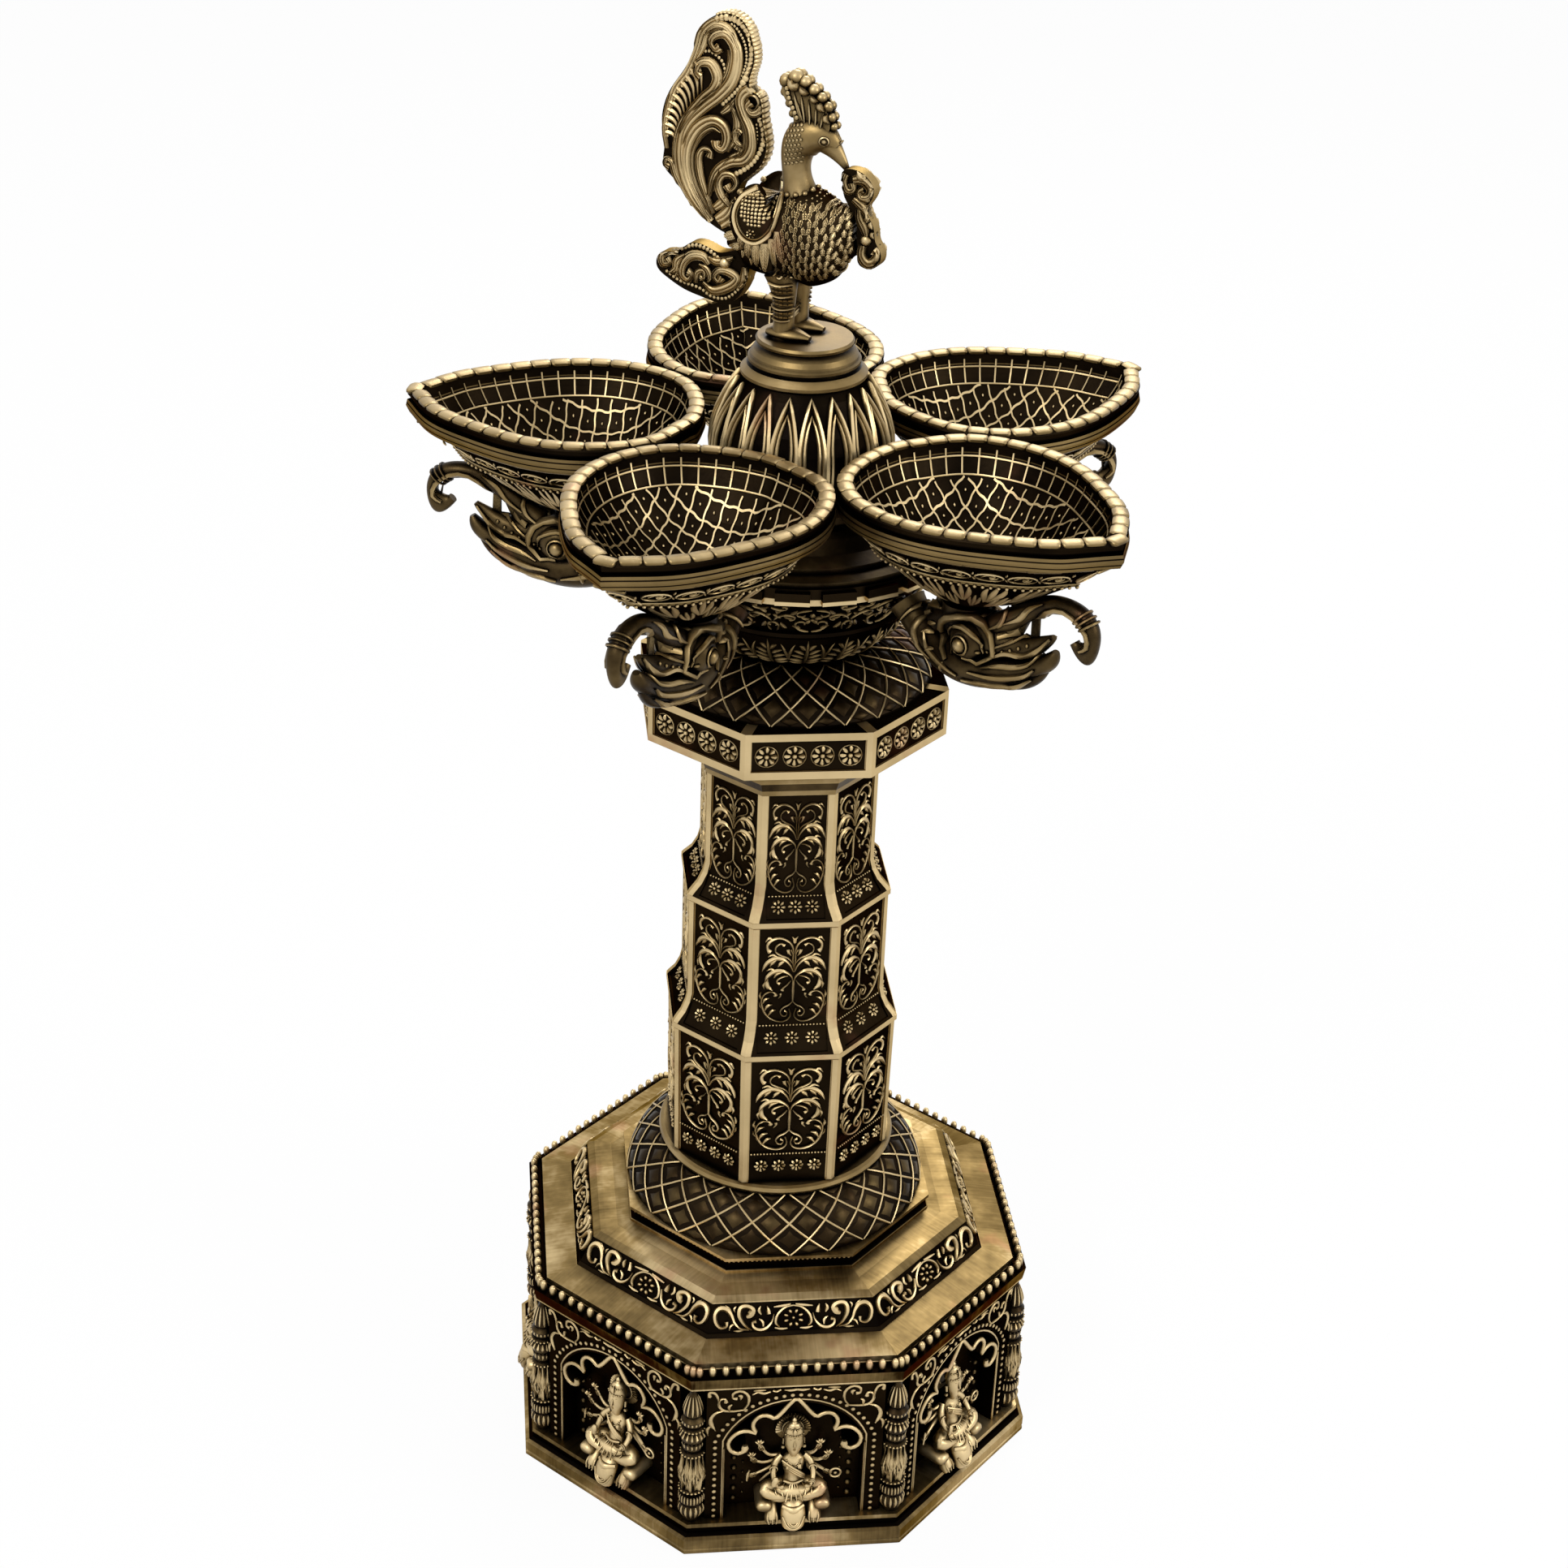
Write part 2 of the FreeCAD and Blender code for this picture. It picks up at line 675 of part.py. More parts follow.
# Frieze: a small step and an upright wall, with an annular hollow round a boss for the rod
def make_frieze():
    bottom = seat("frieze_height")
    radius = cell("frieze_circumradius")
    step = cell("frieze_step_width")
    draft = cell("step_draft")
    top = f"{bottom} + {cell('frieze_height')}"
    shoulder = f"{bottom} + {cell('frieze_step_height')}"
    stations = [
        (f"{radius} + {step} - {draft}", bottom),
        (f"{radius} + {step} * {FRIEZE_SHOULDER_SHARE}", shoulder),
    ]
    for width, climb in FRIEZE_STEP_SHARES:
        stations.append((f"{radius} + {step} * {width}", f"{shoulder} + {draft} * {climb}"))
    stations.append((radius, top))
    outer = octagonal_loft("frieze_outside", stations)
    floor = f"{bottom} + {cell('frieze_floor')}"
    hollow = cylinder("frieze_hollow", cell("frieze_hollow_radius"), floor, cell("frieze_height"))
    boss = cylinder("frieze_boss", cell("frieze_boss_radius"), bottom, f"{cell('frieze_height')} * 2")
    tray = cut("frieze_tray", outer, cut("frieze_annulus", hollow, boss))
    keep("frieze_tier", cut("frieze_tier", tray, rod_hole("frieze", bottom, cell("frieze_height"))))


# The slab's steps: shares of the way in from its edge to the dome's plinth, and of its height
SLAB_SHARES = ((0.2, 0.58), (0.34, 0.64), (0.66, 0.73), (1.0, 1.0))
SLAB_EDGE_SHARE = 0.17


# Slab: bevelled edge and a shallow cove that climbs to the dome's plinth
def make_slab():
    bottom = seat("slab_height")
    radius = cell("slab_circumradius")
    rise = cell("slab_height")
    inner = cell("dome_plinth_circumradius")
    stations = [
        (radius, bottom),
        (f"{radius} - {cell('step_draft')}", f"{bottom} + {rise} * {SLAB_EDGE_SHARE}"),
    ]
    for way, climb in SLAB_SHARES:
        stations.append((f"{radius} * {1 - way} + {inner} * {way}", f"{bottom} + {rise} * {climb}"))
    slab = octagonal_loft("slab_outside", stations)
    keep("stepped_slab", cut("stepped_slab", slab, rod_hole("slab", bottom, rise)))


# Shares of the dome plinth's height at its foot's top and at its neck's foot
DOME_PLINTH_FOOT_SHARES = (0.12, 0.2)


# Plinth of the lower dome: a foot, a recessed neck and a thin top plate
def make_dome_plinth():
    bottom = seat("dome_plinth_height")
    radius = cell("dome_plinth_circumradius")
    neck = f"{radius} - {cell('dome_plinth_recess')}"
    draft = cell("step_draft")
    rise = cell("dome_plinth_height")
    plate = f"{bottom} + {rise} - {cell('dome_plinth_plate')}"
    foot_top, neck_foot = DOME_PLINTH_FOOT_SHARES
    body = octagonal_loft("dome_plinth_outside", (
        (f"{radius} - {draft}", bottom),
        (f"{radius} - {draft}", f"{bottom} + {rise} * {foot_top}"),
        (neck, f"{bottom} + {rise} * {neck_foot}"),
        (neck, plate),
        (radius, f"{plate} + {draft}"),
        (radius, f"{bottom} + {rise}"),
    ))
    keep("dome_plinth", cut("dome_plinth", body, rod_hole("dome_plinth", bottom, rise)))


# Shares of a dome's radial fall and of its height, from its foot to its top
DOME_SHARES = (
    (0.0, 0.0), (0.0, 0.06), (0.05, 0.22), (0.15, 0.42), (0.31, 0.62), (0.52, 0.80), (0.75, 0.93),
    (1.0, 1.0),
)


def dome_points(foot, top, bottom, rise):
    points = []
    for fall, climb in DOME_SHARES:
        points.append((f"{foot} * {1 - fall} + {top} * {fall}", f"({bottom}) + {rise} * {climb}"))
    return points


def make_domes():
    bottom = seat("lower_dome_height")
    rise = cell("lower_dome_height")
    bore = cell("column_bore_radius")
    points = dome_points(cell("lower_dome_radius"), cell("lower_dome_top_radius"), bottom, rise)
    points += [(bore, f"{bottom} + {rise}"), (bore, bottom)]
    keep("lower_lattice_dome", turned("lower_lattice_dome", points))
    bottom = seat("upper_dome_height")
    rise = cell("upper_dome_height")
    hole = total("rod_radius", "rod_hole_clearance")
    points = dome_points(cell("upper_dome_radius"), cell("upper_dome_top_radius"), bottom, rise)
    points += [(hole, f"{bottom} + {rise}"), (hole, bottom)]
    keep("upper_lattice_dome", turned("upper_lattice_dome", points))


# Ring at the column's foot: half-round edge, as shares of its height
FOOT_RING_SHARES = ((1.0, 0.0), (0.29, 0.13), (0.0, 0.5), (0.29, 0.87), (1.0, 1.0))


def make_foot_ring():
    bottom = seat("foot_ring_height")
    rise = cell("foot_ring_height")
    bore = cell("column_bore_radius")
    points = [(bore, bottom)]
    for inset, climb in FOOT_RING_SHARES:
        points.append((f"{cell('foot_ring_radius')} - {rise} * {inset} / 2", f"{bottom} + {rise} * {climb}"))
    points.append((bore, f"{bottom} + {rise}"))
    keep("column_foot_ring", turned("column_foot_ring", points))


def panel_boxes(name, width, bottom, rise):
    """Four boxes across the axis, which cover the panels of eight faces."""
    boxes = []
    reach = cell("plinth_circumradius")
    for i in range(OCTAGON_SIDES // 2):
        box = doc.addObject("Part::Box", f"{name}_{i + 1}")
        box.setExpression("Length", width)
        box.setExpression("Width", f"{reach} * 2")
        box.setExpression("Height", rise)
        angle = FULL_TURN / OCTAGON_SIDES * i
        box.Placement = FreeCAD.Placement(FreeCAD.Vector(), FreeCAD.Rotation(FreeCAD.Vector(0, 0, 1), angle))
        box.setExpression(".Placement.Base.x",
                          f"0 - ({width}) / 2 * cos({angle} deg) + {reach} * sin({angle} deg)")
        box.setExpression(".Placement.Base.y",
                          f"0 - ({width}) / 2 * sin({angle} deg) - {reach} * cos({angle} deg)")
        box.setExpression(".Placement.Base.z", bottom)
        boxes.append(box)
    return fuse(f"{name}_all", *boxes)


def side_of(circumradius):
    """The length of an octagon's side."""
    return f"2 * ({circumradius}) * sin({HALF_FACE} deg)"


def panelled(name, stations, inner_stations, panel_radius, panel_bottom, panel_rise):
    """An octagonal piece whose faces have a shallow panel between corner ribs."""
    outer = octagonal_loft(f"{name}_outside", stations)
    inner = octagonal_loft(f"{name}_panel_floor", inner_stations)
    skin = cut(f"{name}_skin", outer, inner)
    panel_width = f"{side_of(panel_radius)} - {cell('rib_width')}"
    boxes = panel_boxes(f"{name}_panel", panel_width, panel_bottom, panel_rise)
    panels = common(f"{name}_panels", skin, boxes)
    return cut(f"{name}_panelled", doc.getObject(f"{name}_outside"), panels)


def grown(stations, change):
    return tuple((f"({radius}) + ({change})", height) for radius, height in stations)


# A tier's cove: shares of the way in from the rim below to the wall, and of the cove's height
COVE_SHARES = ((0.1, 0.08), (0.55, 0.35), (0.86, 0.68), (1.0, 1.0))


# A column tier: top band, upright panelled faces and, on the upper two, a cove that flares to the rim below
def column_bore(node, bottom, rise):
    """The round hole up a column casting, for the tie rod."""
    return cylinder(
        f"{node}_bore", cell("column_bore_radius"), f"{bottom} - {OVERRUN}", f"{rise} + 2 * {OVERRUN}",
    )


def make_tier(node, rise_alias, radius_alias, below_alias):
    bottom = seat(rise_alias)
    rise = cell(rise_alias)
    radius = cell(radius_alias)
    wall = f"{radius} - {cell('tier_band_projection')}"
    band = f"{bottom} + {rise} - {cell('tier_band_height')}"
    draft = cell("step_draft")
    top = f"{bottom} + {rise}"
    stations = []
    if below_alias:
        rim = f"{cell(below_alias)} - {draft}"
        cove = cell("tier_cove_height")
        stations.append((rim, bottom))
        for way, climb in COVE_SHARES:
            stations.append((f"({rim}) * {1 - way} + ({wall}) * {way}", f"{bottom} + {cove} * {climb}"))
        panel_bottom = stations[1][1]
    else:
        stations.append((f"{wall} - {cell('tier_band_projection')}", bottom))
        panel_bottom = f"{bottom} + {draft}"
    stations += [(wall, band), (radius, f"{band} + {cell('tier_band_projection')}"), (radius, top)]
    panel_rise = f"{band} - ({panel_bottom})"
    floor_stations = grown(stations, f"0 - {cell('panel_depth')}")
    body = panelled(node, stations, floor_stations, wall, panel_bottom, panel_rise)
    bore = column_bore(node, bottom, rise)
    keep(node, cut(node, body, bore))


# Capital: an overhanging octagonal band with a top and a bottom edge and corner strips
def make_capital():
    bottom = seat("capital_height")
    rise = cell("capital_height")
    radius = cell("capital_circumradius")
    band = cell("capital_band_height")
    stations = ((radius, bottom), (radius, f"{bottom} + {rise}"))
    body = panelled("capital", stations, grown(stations, f"0 - {cell('panel_depth')}"), radius,
                    f"{bottom} + {band}", f"{rise} - 2 * {band}")
    bore = column_bore("capital", bottom, rise)
    keep("capital", cut("capital", body, bore))


# Tie rod from under the base's deck to the top of the upper dome, with its washer, nut and clamp spigot
def make_core():
    deck = seat("cornice_height")
    washer_bottom = f"{deck} - {cell('washer_thickness')}"
    nut_bottom = f"{washer_bottom} - {cell('nut_height')}"
    rod_bottom = f"{nut_bottom} - {cell('rod_end_length')}"
    rod_top = f"{STAND_TOP} + {cell('spigot_thread_depth')} - {cell('seat_clearance')}"
    thread = total("rod_radius", "thread_clearance")
    keep("tie_rod", cylinder("tie_rod", cell("rod_radius"), rod_bottom, f"{rod_top} - ({rod_bottom})"))
    disc = cylinder("washer_disc", cell("washer_radius"), washer_bottom, cell("washer_thickness"))
    hole = cylinder("washer_hole", thread, f"{washer_bottom} - {OVERRUN}",
                    f"{cell('washer_thickness')} + 2 * {OVERRUN}")
    keep("tie_rod_washer", cut("tie_rod_washer", disc, hole))
    hexagon = doc.addObject("Part::Prism", "nut_hexagon")
    hexagon.Polygon = NUT_SIDES
    hexagon.setExpression("Circumradius", f"{cell('nut_half_width')} / cos({HALF_FLAT} deg)")
    hexagon.setExpression("Height", cell("nut_height"))
    hexagon.setExpression(".Placement.Base.z", nut_bottom)
    hole = cylinder("nut_hole", thread, f"{nut_bottom} - {OVERRUN}", f"{cell('nut_height')} + 2 * {OVERRUN}")
    keep("tie_rod_nut", cut("tie_rod_nut", hexagon, hole))
    shaft = cell("spigot_radius")
    chamfer = cell("spigot_chamfer")
    top = f"{FLANGE_TOP} + {cell('spigot_length')}"
    keep("crown_spigot", turned("crown_spigot", [
        (thread, STAND_TOP),
        (cell("spigot_flange_radius"), STAND_TOP),
        (cell("spigot_flange_radius"), FLANGE_TOP),
        (shaft, FLANGE_TOP),
        (shaft, f"{top} - {chamfer}"),
        (f"{shaft} - {chamfer}", top),
        ("0", top),
        ("0", f"{STAND_TOP} + {cell('spigot_thread_depth')}"),
        (thread, f"{STAND_TOP} + {cell('spigot_thread_depth')}"),
    ]))


# Hub: leaf-carved cup, thin ring and flared scroll band, as shares from foot to rim and of its height
HUB_SHARES = (
    (0.0, 0.0), (0.02, 0.04), (0.19, 0.14), (0.37, 0.285), (0.49, 0.46), (0.55, 0.50), (0.55, 0.54),
    (0.505, 0.56), (0.56, 0.60), (0.69, 0.735), (0.87, 0.895), (1.0, 1.0),
)


def hub_outline():
    foot, rim = cell("hub_foot_radius"), cell("hub_rim_radius")
    rise = cell("hub_height")
    return [(f"{foot} * {1 - s} + {rim} * {s}", f"{HUB_SEAT} + {rise} * {t}") for s, t in HUB_SHARES]


HUB_HOLLOW_SHARES = ((0.0, 0.0), (0.27, 0.224), (0.563, 0.552), (0.724, 0.731), (1.0, 1.0))
HUB_RIM_WALL_SHARE = 1.45


def make_hub():
    bore = total("spigot_radius", "spigot_clearance")
    counterbore = total("spigot_flange_radius", "seat_clearance")
    boss = cell("hub_boss_radius")
    floor = f"{HUB_SEAT} + {cell('hub_floor')}"
    thread = total("rod_radius", "thread_clearance")
    bore_top = f"{FLANGE_TOP} + {total('spigot_length', 'seat_clearance')}"
    hollow = []
    inner_foot = f"{cell('hub_foot_radius')} - {cell('hub_wall')} / 4"
    inner_rim = f"{cell('hub_rim_radius')} - {cell('hub_wall')} * {HUB_RIM_WALL_SHARE}"
    for s, t in reversed(HUB_HOLLOW_SHARES):
        hollow.append((f"({inner_foot}) * {1 - s} + ({inner_rim}) * {s}",
                       f"({floor}) * {1 - t} + ({HUB_TOP}) * {t}"))
    stud_seat = f"{RING_TOP} - {cell('stud_thread_depth')}"
    points = [(counterbore, HUB_SEAT)] + hub_outline() + hollow + [
        (boss, floor),
        (boss, RING_TOP),
        (thread, RING_TOP),
        (thread, stud_seat),
        ("0", stud_seat),
        ("0", bore_top),
        (bore, bore_top),
        (bore, FLANGE_TOP),
        (counterbore, FLANGE_TOP),
    ]
    holes = []
    for i in range(int(size("bowl_count"))):
        shank, _ = bracket_screw(size("screw_radius") + size("screw_clearance"), 0)
        head_room = size("screw_head_radius") + size("screw_clearance")
        _, spot_face = bracket_screw(size("screw_radius"), head_room)
        for tool in (shank, spot_face):
            tool.Placement = around(i).multiply(tool.Placement)
            holes.append(tool)
    tools = doc.addObject("Part::Feature", "hub_screw_holes")
    tools.Shape = Part.makeCompound(holes)
    keep("hub_cup", cut("hub_cup", turned("hub_cup_turned", points), tools))


# Ring of rectangular blocks round the hub's rim
def make_block_ring():
    radius = cell("block_ring_radius")
    inner = f"{radius} - {cell('block_ring_width')}"
    body = turned("hub_block_ring", [
        (inner, HUB_TOP),
        (radius, HUB_TOP),
        (radius, RING_TOP),
        (inner, RING_TOP),
    ])
    doc.recompute()
    sketch = sketch_on(body, "block_outline", "YZ_Plane")
    half = f"{cell('block_length')} / 2"
    low = f"{HUB_TOP} + ({cell('block_ring_height')} - {cell('block_height')}) / 2"
    high = f"{low} + {cell('block_height')}"
    closed_profile(sketch, [(f"0 - {half}", low), (half, low), (half, high), (f"0 - {half}", high)])
    block = body.newObject("PartDesign::Pad", "block")
    block.Profile = sketch
    sketch.setExpression(".AttachmentOffset.Base.z", f"{radius} - {cell('block_ring_width')} / 2")
    block.setExpression("Length", f"{cell('block_projection')} + {cell('block_ring_width')} / 2")
    doc.recompute()
    pattern = body.newObject("PartDesign::PolarPattern", "blocks")
    pattern.Originals = [block]
    pattern.Axis = (origin_plane(body, "Z_Axis"), [""])
    pattern.Angle = FULL_TURN
    pattern.setExpression("Occurrences", cell("block_count"))
    sketch.Visibility = False
    body.Tip = pattern
    keep("hub_block_ring", body)


# Cap over the hub: stepped rings that close in to the bud's foot
HUB_CAP_SHARES = (
    (1.0, 0.0), (1.0, 0.09), (0.9, 0.14), (0.9, 0.23), (0.78, 0.32), (0.68, 0.50), (0.61, 0.66),
    (0.61, 0.70), (0.66, 0.74), (0.66, 0.86), (0.56, 0.90), (0.56, 1.0),
)


def make_hub_cap():
    rise = cell("hub_cap_height")
    hole = total("rod_radius", "rod_hole_clearance")
    points = moulding(RING_TOP, cell("hub_cap_radius"), rise, HUB_CAP_SHARES)
    points += [(hole, CAP_TOP), (hole, RING_TOP)]
    keep("hub_cap", turned("hub_cap", points))


# Bud: a hollow bulb, widest near its foot, as shares from neck or foot to belly and of its height
BUD_FOOT_SHARES = ((0.0, 0.0), (0.55, 0.07), (0.9, 0.19), (1.0, 0.33))
BUD_NECK_SHARES = ((0.96, 0.47), (0.78, 0.64), (0.50, 0.80), (0.22, 0.93), (0.0, 1.0))


def bud_outline(inset):
    rise = cell("bud_height")
    points = []
    for low, shares in (("bud_foot_radius", BUD_FOOT_SHARES), ("bud_neck_radius", BUD_NECK_SHARES)):
        for s, t in shares:
            points.append((f"{cell(low)} * {1 - s} + {cell('bud_radius')} * {s} - {inset}",
                           f"{CAP_TOP} + {inset} + ({rise} - 2 * {inset}) * {t}"))
    return points


def make_bud():
    hole = cell("bud_hole_radius")
    wall = cell("bud_wall")
    outside = bud_outline("0")
    inside = list(reversed(bud_outline(wall)))
    points = [(hole, CAP_TOP)] + outside + [(hole, BUD_TOP), (hole, f"{BUD_TOP} - {wall}")] + inside
    points.append((hole, f"{CAP_TOP} + {wall}"))
    keep("lotus_bud", turned("lotus_bud", points))


# Collar nut over the bud, the stud that holds the crown's stack, and the finial's seat
def make_collar():
    thread = total("rod_radius", "thread_clearance")
    finial_thread = total("finial_stud_radius", "finial_stud_clearance")
    boss_bottom = f"{BUD_TOP} - {cell('collar_boss_length')}"
    web = f"{boss_bottom} + {cell('collar_thread_depth')}"
    finial_bottom = f"{COLLAR_TOP} - {total('finial_stud_engagement', 'seat_clearance', 'seat_clearance')}"
    radius = cell("collar_radius")
    rise = cell("collar_height")
    keep("bud_collar", turned("bud_collar", [
        (thread, boss_bottom),
        (cell("collar_boss_radius"), boss_bottom),
        (cell("collar_boss_radius"), BUD_TOP),
        (f"{radius} - {rise} / 4", BUD_TOP),
        (radius, f"{BUD_TOP} + {rise} / 4"),
        (radius, f"{BUD_TOP} + {rise} / 2"),
        (f"{radius} - {rise} / 4", f"{COLLAR_TOP} - {rise} / 4"),
        (f"{radius} - {rise} / 2", COLLAR_TOP),
        (finial_thread, COLLAR_TOP),
        (finial_thread, finial_bottom),
        ("0", finial_bottom),
        ("0", web),
        (thread, web),
    ]))
    stud_bottom = f"{RING_TOP} - {cell('stud_thread_depth')}"
    reach = f"{web} - {cell('seat_clearance')} - ({stud_bottom})"
    keep("crown_stud", cylinder("crown_stud", cell("rod_radius"), stud_bottom, reach))


# Oil bowl: the outline in plan, as shares of the reach to the tip or to the back and of the half width
BOWL_PLAN_SHARES = (
    (1.0, 0.0), (0.80, 0.425), (0.52, 0.723), (0.22, 0.936), (-0.10, 1.0), (-0.50, 0.905), (-0.80, 0.66),
    (-0.955, 0.30), (-1.0, 0.0),
)
# How much farther the wall's inside lies from the bowl's pointed tip than from its back
BOWL_TIP_INSET_SHARE = 1.4
# The wall outside: shares of the plan's size and of the depth, from the foot to the rim
BOWL_OUTSIDE_SHARES = (
    (0.12, 0.0), (0.20, 0.055), (0.36, 0.166), (0.52, 0.31), (0.69, 0.48), (0.72, 0.49), (0.72, 0.52),
    (0.77, 0.60), (0.88, 0.72), (0.905, 0.73), (0.905, 0.755), (0.98, 0.775), (1.0, 0.834),
    (0.99, 0.89), (0.95, 0.90), (0.95, 0.915), (0.985, 0.93), (0.99, 0.965), (0.965, 1.0),
)


def bowl_wire(scale, height, inset):
    centre = size("bowl_centre_radius")
    tip = size("bowl_tip_reach") - inset * BOWL_TIP_INSET_SHARE
    back = size("bowl_back_reach") - inset
    width = size("bowl_half_width") - inset
    points = []
    for along, across in BOWL_PLAN_SHARES:
        reach = tip if along > 0 else back
        points.append(FreeCAD.Vector(centre + along * reach * scale, across * width * scale, height))
    mirrored = [FreeCAD.Vector(p.x, -p.y, p.z) for p in reversed(points)]
    sides = []
    for side, first, last in ((points, None, -1), (mirrored, -1, None)):
        curve = Part.BSplineCurve()
        across = FreeCAD.Vector(0, -back * scale, 0)
        start = side[1] - side[0] if first is None else across
        finish = across if last == -1 else side[-1] - side[-2]
        curve.interpolate(Points=side, InitialTangent=start, FinalTangent=finish)
        sides.append(curve.toShape())
    return Part.Wire(sides)


def bowl_envelope():
    rim = size("bowl_rim_height")
    depth = size("bowl_depth")
    wires = [bowl_wire(scale, rim - depth + depth * climb, 0) for scale, climb in BOWL_OUTSIDE_SHARES]
    return Part.makeLoft(wires, True, True)


# The hollow: shares of the plan's size and of the hollow's own depth
BOWL_HOLLOW_SHARES = (
    (0.22, 0.0), (0.34, 0.064), (0.48, 0.184), (0.675, 0.404), (0.745, 0.524), (0.86, 0.697),
    (0.925, 0.862), (0.945, 1.0),
)


def bowl_shape():
    rim = size("bowl_rim_height")
    floor = rim - size("bowl_depth") + size("bowl_floor")
    hollow_depth = rim - floor
    wires = []
    for scale, climb in BOWL_HOLLOW_SHARES:
        wires.append(bowl_wire(scale, floor + hollow_depth * climb, size("bowl_wall")))
    wires.append(bowl_wire(BOWL_HOLLOW_SHARES[-1][0], rim + OVERRUN, size("bowl_wall")))
    hollow = Part.makeLoft(wires, True, True)
    screw = Part.makeCylinder(
        size("screw_radius") + size("thread_clearance"),
        size("bowl_screw_bite") + size("seat_clearance") + OVERRUN,
        FreeCAD.Vector(size("bowl_centre_radius"), 0, floor - size("bowl_floor") - OVERRUN),
    )
    return bowl_envelope().cut([hollow, screw])


# Bracket: paths in its own upright plane, as shares of the radial reach and of the height up to the bowl's
# foot, with radii as shares of the bracket's pad
BRACKET_LIMB_SHARES = {
    "belly": (
        ((0.388, 0.68), (0.453, 0.455), (0.535, 0.29), (0.63, 0.27), (0.74, 0.40), (0.825, 0.58),
         (0.87, 0.82)),
        (0.74, 0.70, 0.84, 0.92, 0.86, 0.62, 0.40, 0.14), 1.15,
    ),
    "trunk": (
        ((0.60, 0.50), (0.69, 0.86), (0.76, 1.12), (0.825, 1.33), (0.885, 1.41), (0.94, 1.36), (0.975, 1.24),
         (0.977, 1.08), (0.95, 0.99), (0.922, 1.03)),
        (0.85, 0.72, 0.56, 0.46, 0.40, 0.37, 0.35, 0.32, 0.28, 0.2), 1.1,
    ),
    "upper_jaw": (
        ((0.50, 0.64), (0.60, 0.78), (0.70, 0.68), (0.80, 0.78), (0.86, 0.99)),
        (0.7, 0.9, 0.8, 0.45, 0.12), 1.0,
    ),
    "lower_lip": (
        ((0.62, 0.24), (0.73, 0.25), (0.81, 0.38), (0.845, 0.54)),
        (0.3, 0.40, 0.34, 0.12), 1.2,
    ),
}
# The eye's place, and its radii along the bracket's width, from end to end of that share of the pad
BRACKET_EYE_SHARES = ((0.63, 0.64), 1.2, (0.45, 0.86, 0.90, 0.86, 0.45))


def bracket_shape():
    reach = size("bracket_reach")
    low = size("bracket_base_height")
    bowl_foot = size("bowl_rim_height") - size("bowl_depth")
    rise = bowl_foot - low
    pad = size("bracket_pad_radius")
    centre = size("bowl_centre_radius")
    parts = []
    for path, radii, flat in BRACKET_LIMB_SHARES.values():
        points = [(r * reach, 0, low + z * rise) for r, z in path]
        parts.append(limb(points, [pad * share for share in radii], flat))
    (r, z), half, radii = BRACKET_EYE_SHARES
    ends = [FreeCAD.Vector(r * reach, side * half * pad, low + z * rise) for side in (-1, 1)]
    parts.append(limb(ends, [radius * pad for radius in radii]))
    pad_bottom = bowl_foot - size("bracket_pad_height")
    parts.append(Part.makeCylinder(pad, size("bracket_pad_height"), FreeCAD.Vector(centre, 0, pad_bottom)))
    whole = joined(parts)
    hole = Part.makeCylinder(
        size("screw_radius") + size("screw_clearance"), size("bracket_pad_height") + OVERRUN,
        FreeCAD.Vector(centre, 0, pad_bottom - OVERRUN / 2),
    )
    access = Part.makeCylinder(
        size("screw_head_radius") + size("screw_clearance"), pad_bottom - low + OVERRUN * 2,
        FreeCAD.Vector(centre, 0, low - OVERRUN * 2),
    )
    tapping, _ = bracket_screw(size("screw_radius") + size("thread_clearance"), 0)
    trimmed = whole.cut([hub_envelope(), bowl_envelope(), hole, access, tapping])
    return largest(trimmed)


def hub_envelope():
    """The hub's outside as a filled solid, up to the top of its block ring."""
    points = [FreeCAD.Vector(value_of(r), 0, value_of(z)) for r, z in hub_outline()]
    top = value_of(RING_TOP)
    block = size("block_ring_radius") + size("block_projection")
    ring_foot = points[-1].z
    points += [FreeCAD.Vector(r, 0, z) for r, z in ((block, ring_foot), (block, top), (0, top))]
    points = [FreeCAD.Vector(0, 0, points[0].z)] + points
    outline = Part.makePolygon(points + [points[0]])
    return Part.Face(outline).revolve(FreeCAD.Vector(), FreeCAD.Vector(0, 0, 1), FULL_TURN)


# Shares of the hub's height at which a bracket's screw crosses its flared wall
BRACKET_SCREW_HEIGHT_SHARE = 0.83


def bracket_screw(radius, head_radius):
    """A screw square to the hub's flared wall: the shank, and the head inside the hub."""
    wall = [(value_of(r), value_of(z)) for r, z in hub_outline()]
    height = value_of(HUB_SEAT) + size("hub_height") * BRACKET_SCREW_HEIGHT_SHARE
    low = max((p for p in wall if p[1] <= height), key=lambda p: p[1])
    high = min((p for p in wall if p[1] > height), key=lambda p: p[1])
    share = (height - low[1]) / (high[1] - low[1])
    at = FreeCAD.Vector(low[0] + (high[0] - low[0]) * share, 0, height)
    slope = FreeCAD.Vector(high[0] - low[0], 0, high[1] - low[1]).normalize()
    outward = FreeCAD.Vector(slope.z, 0, -slope.x)
    under_head = at - outward * size("hub_wall")
    shank = Part.makeCylinder(radius, size("bracket_screw_length"), under_head, outward)
    head = None
    if head_radius:
        head = Part.makeCylinder(head_radius, size("screw_head_height"), under_head, outward * -1)
    return shank, head


def around(index):
    """A shape modelled along +X, carried to the azimuth of one bowl."""
    angle = size("first_bowl_angle") + FULL_TURN / size("bowl_count") * index
    return turned_by(angle - FULL_TURN / 4)


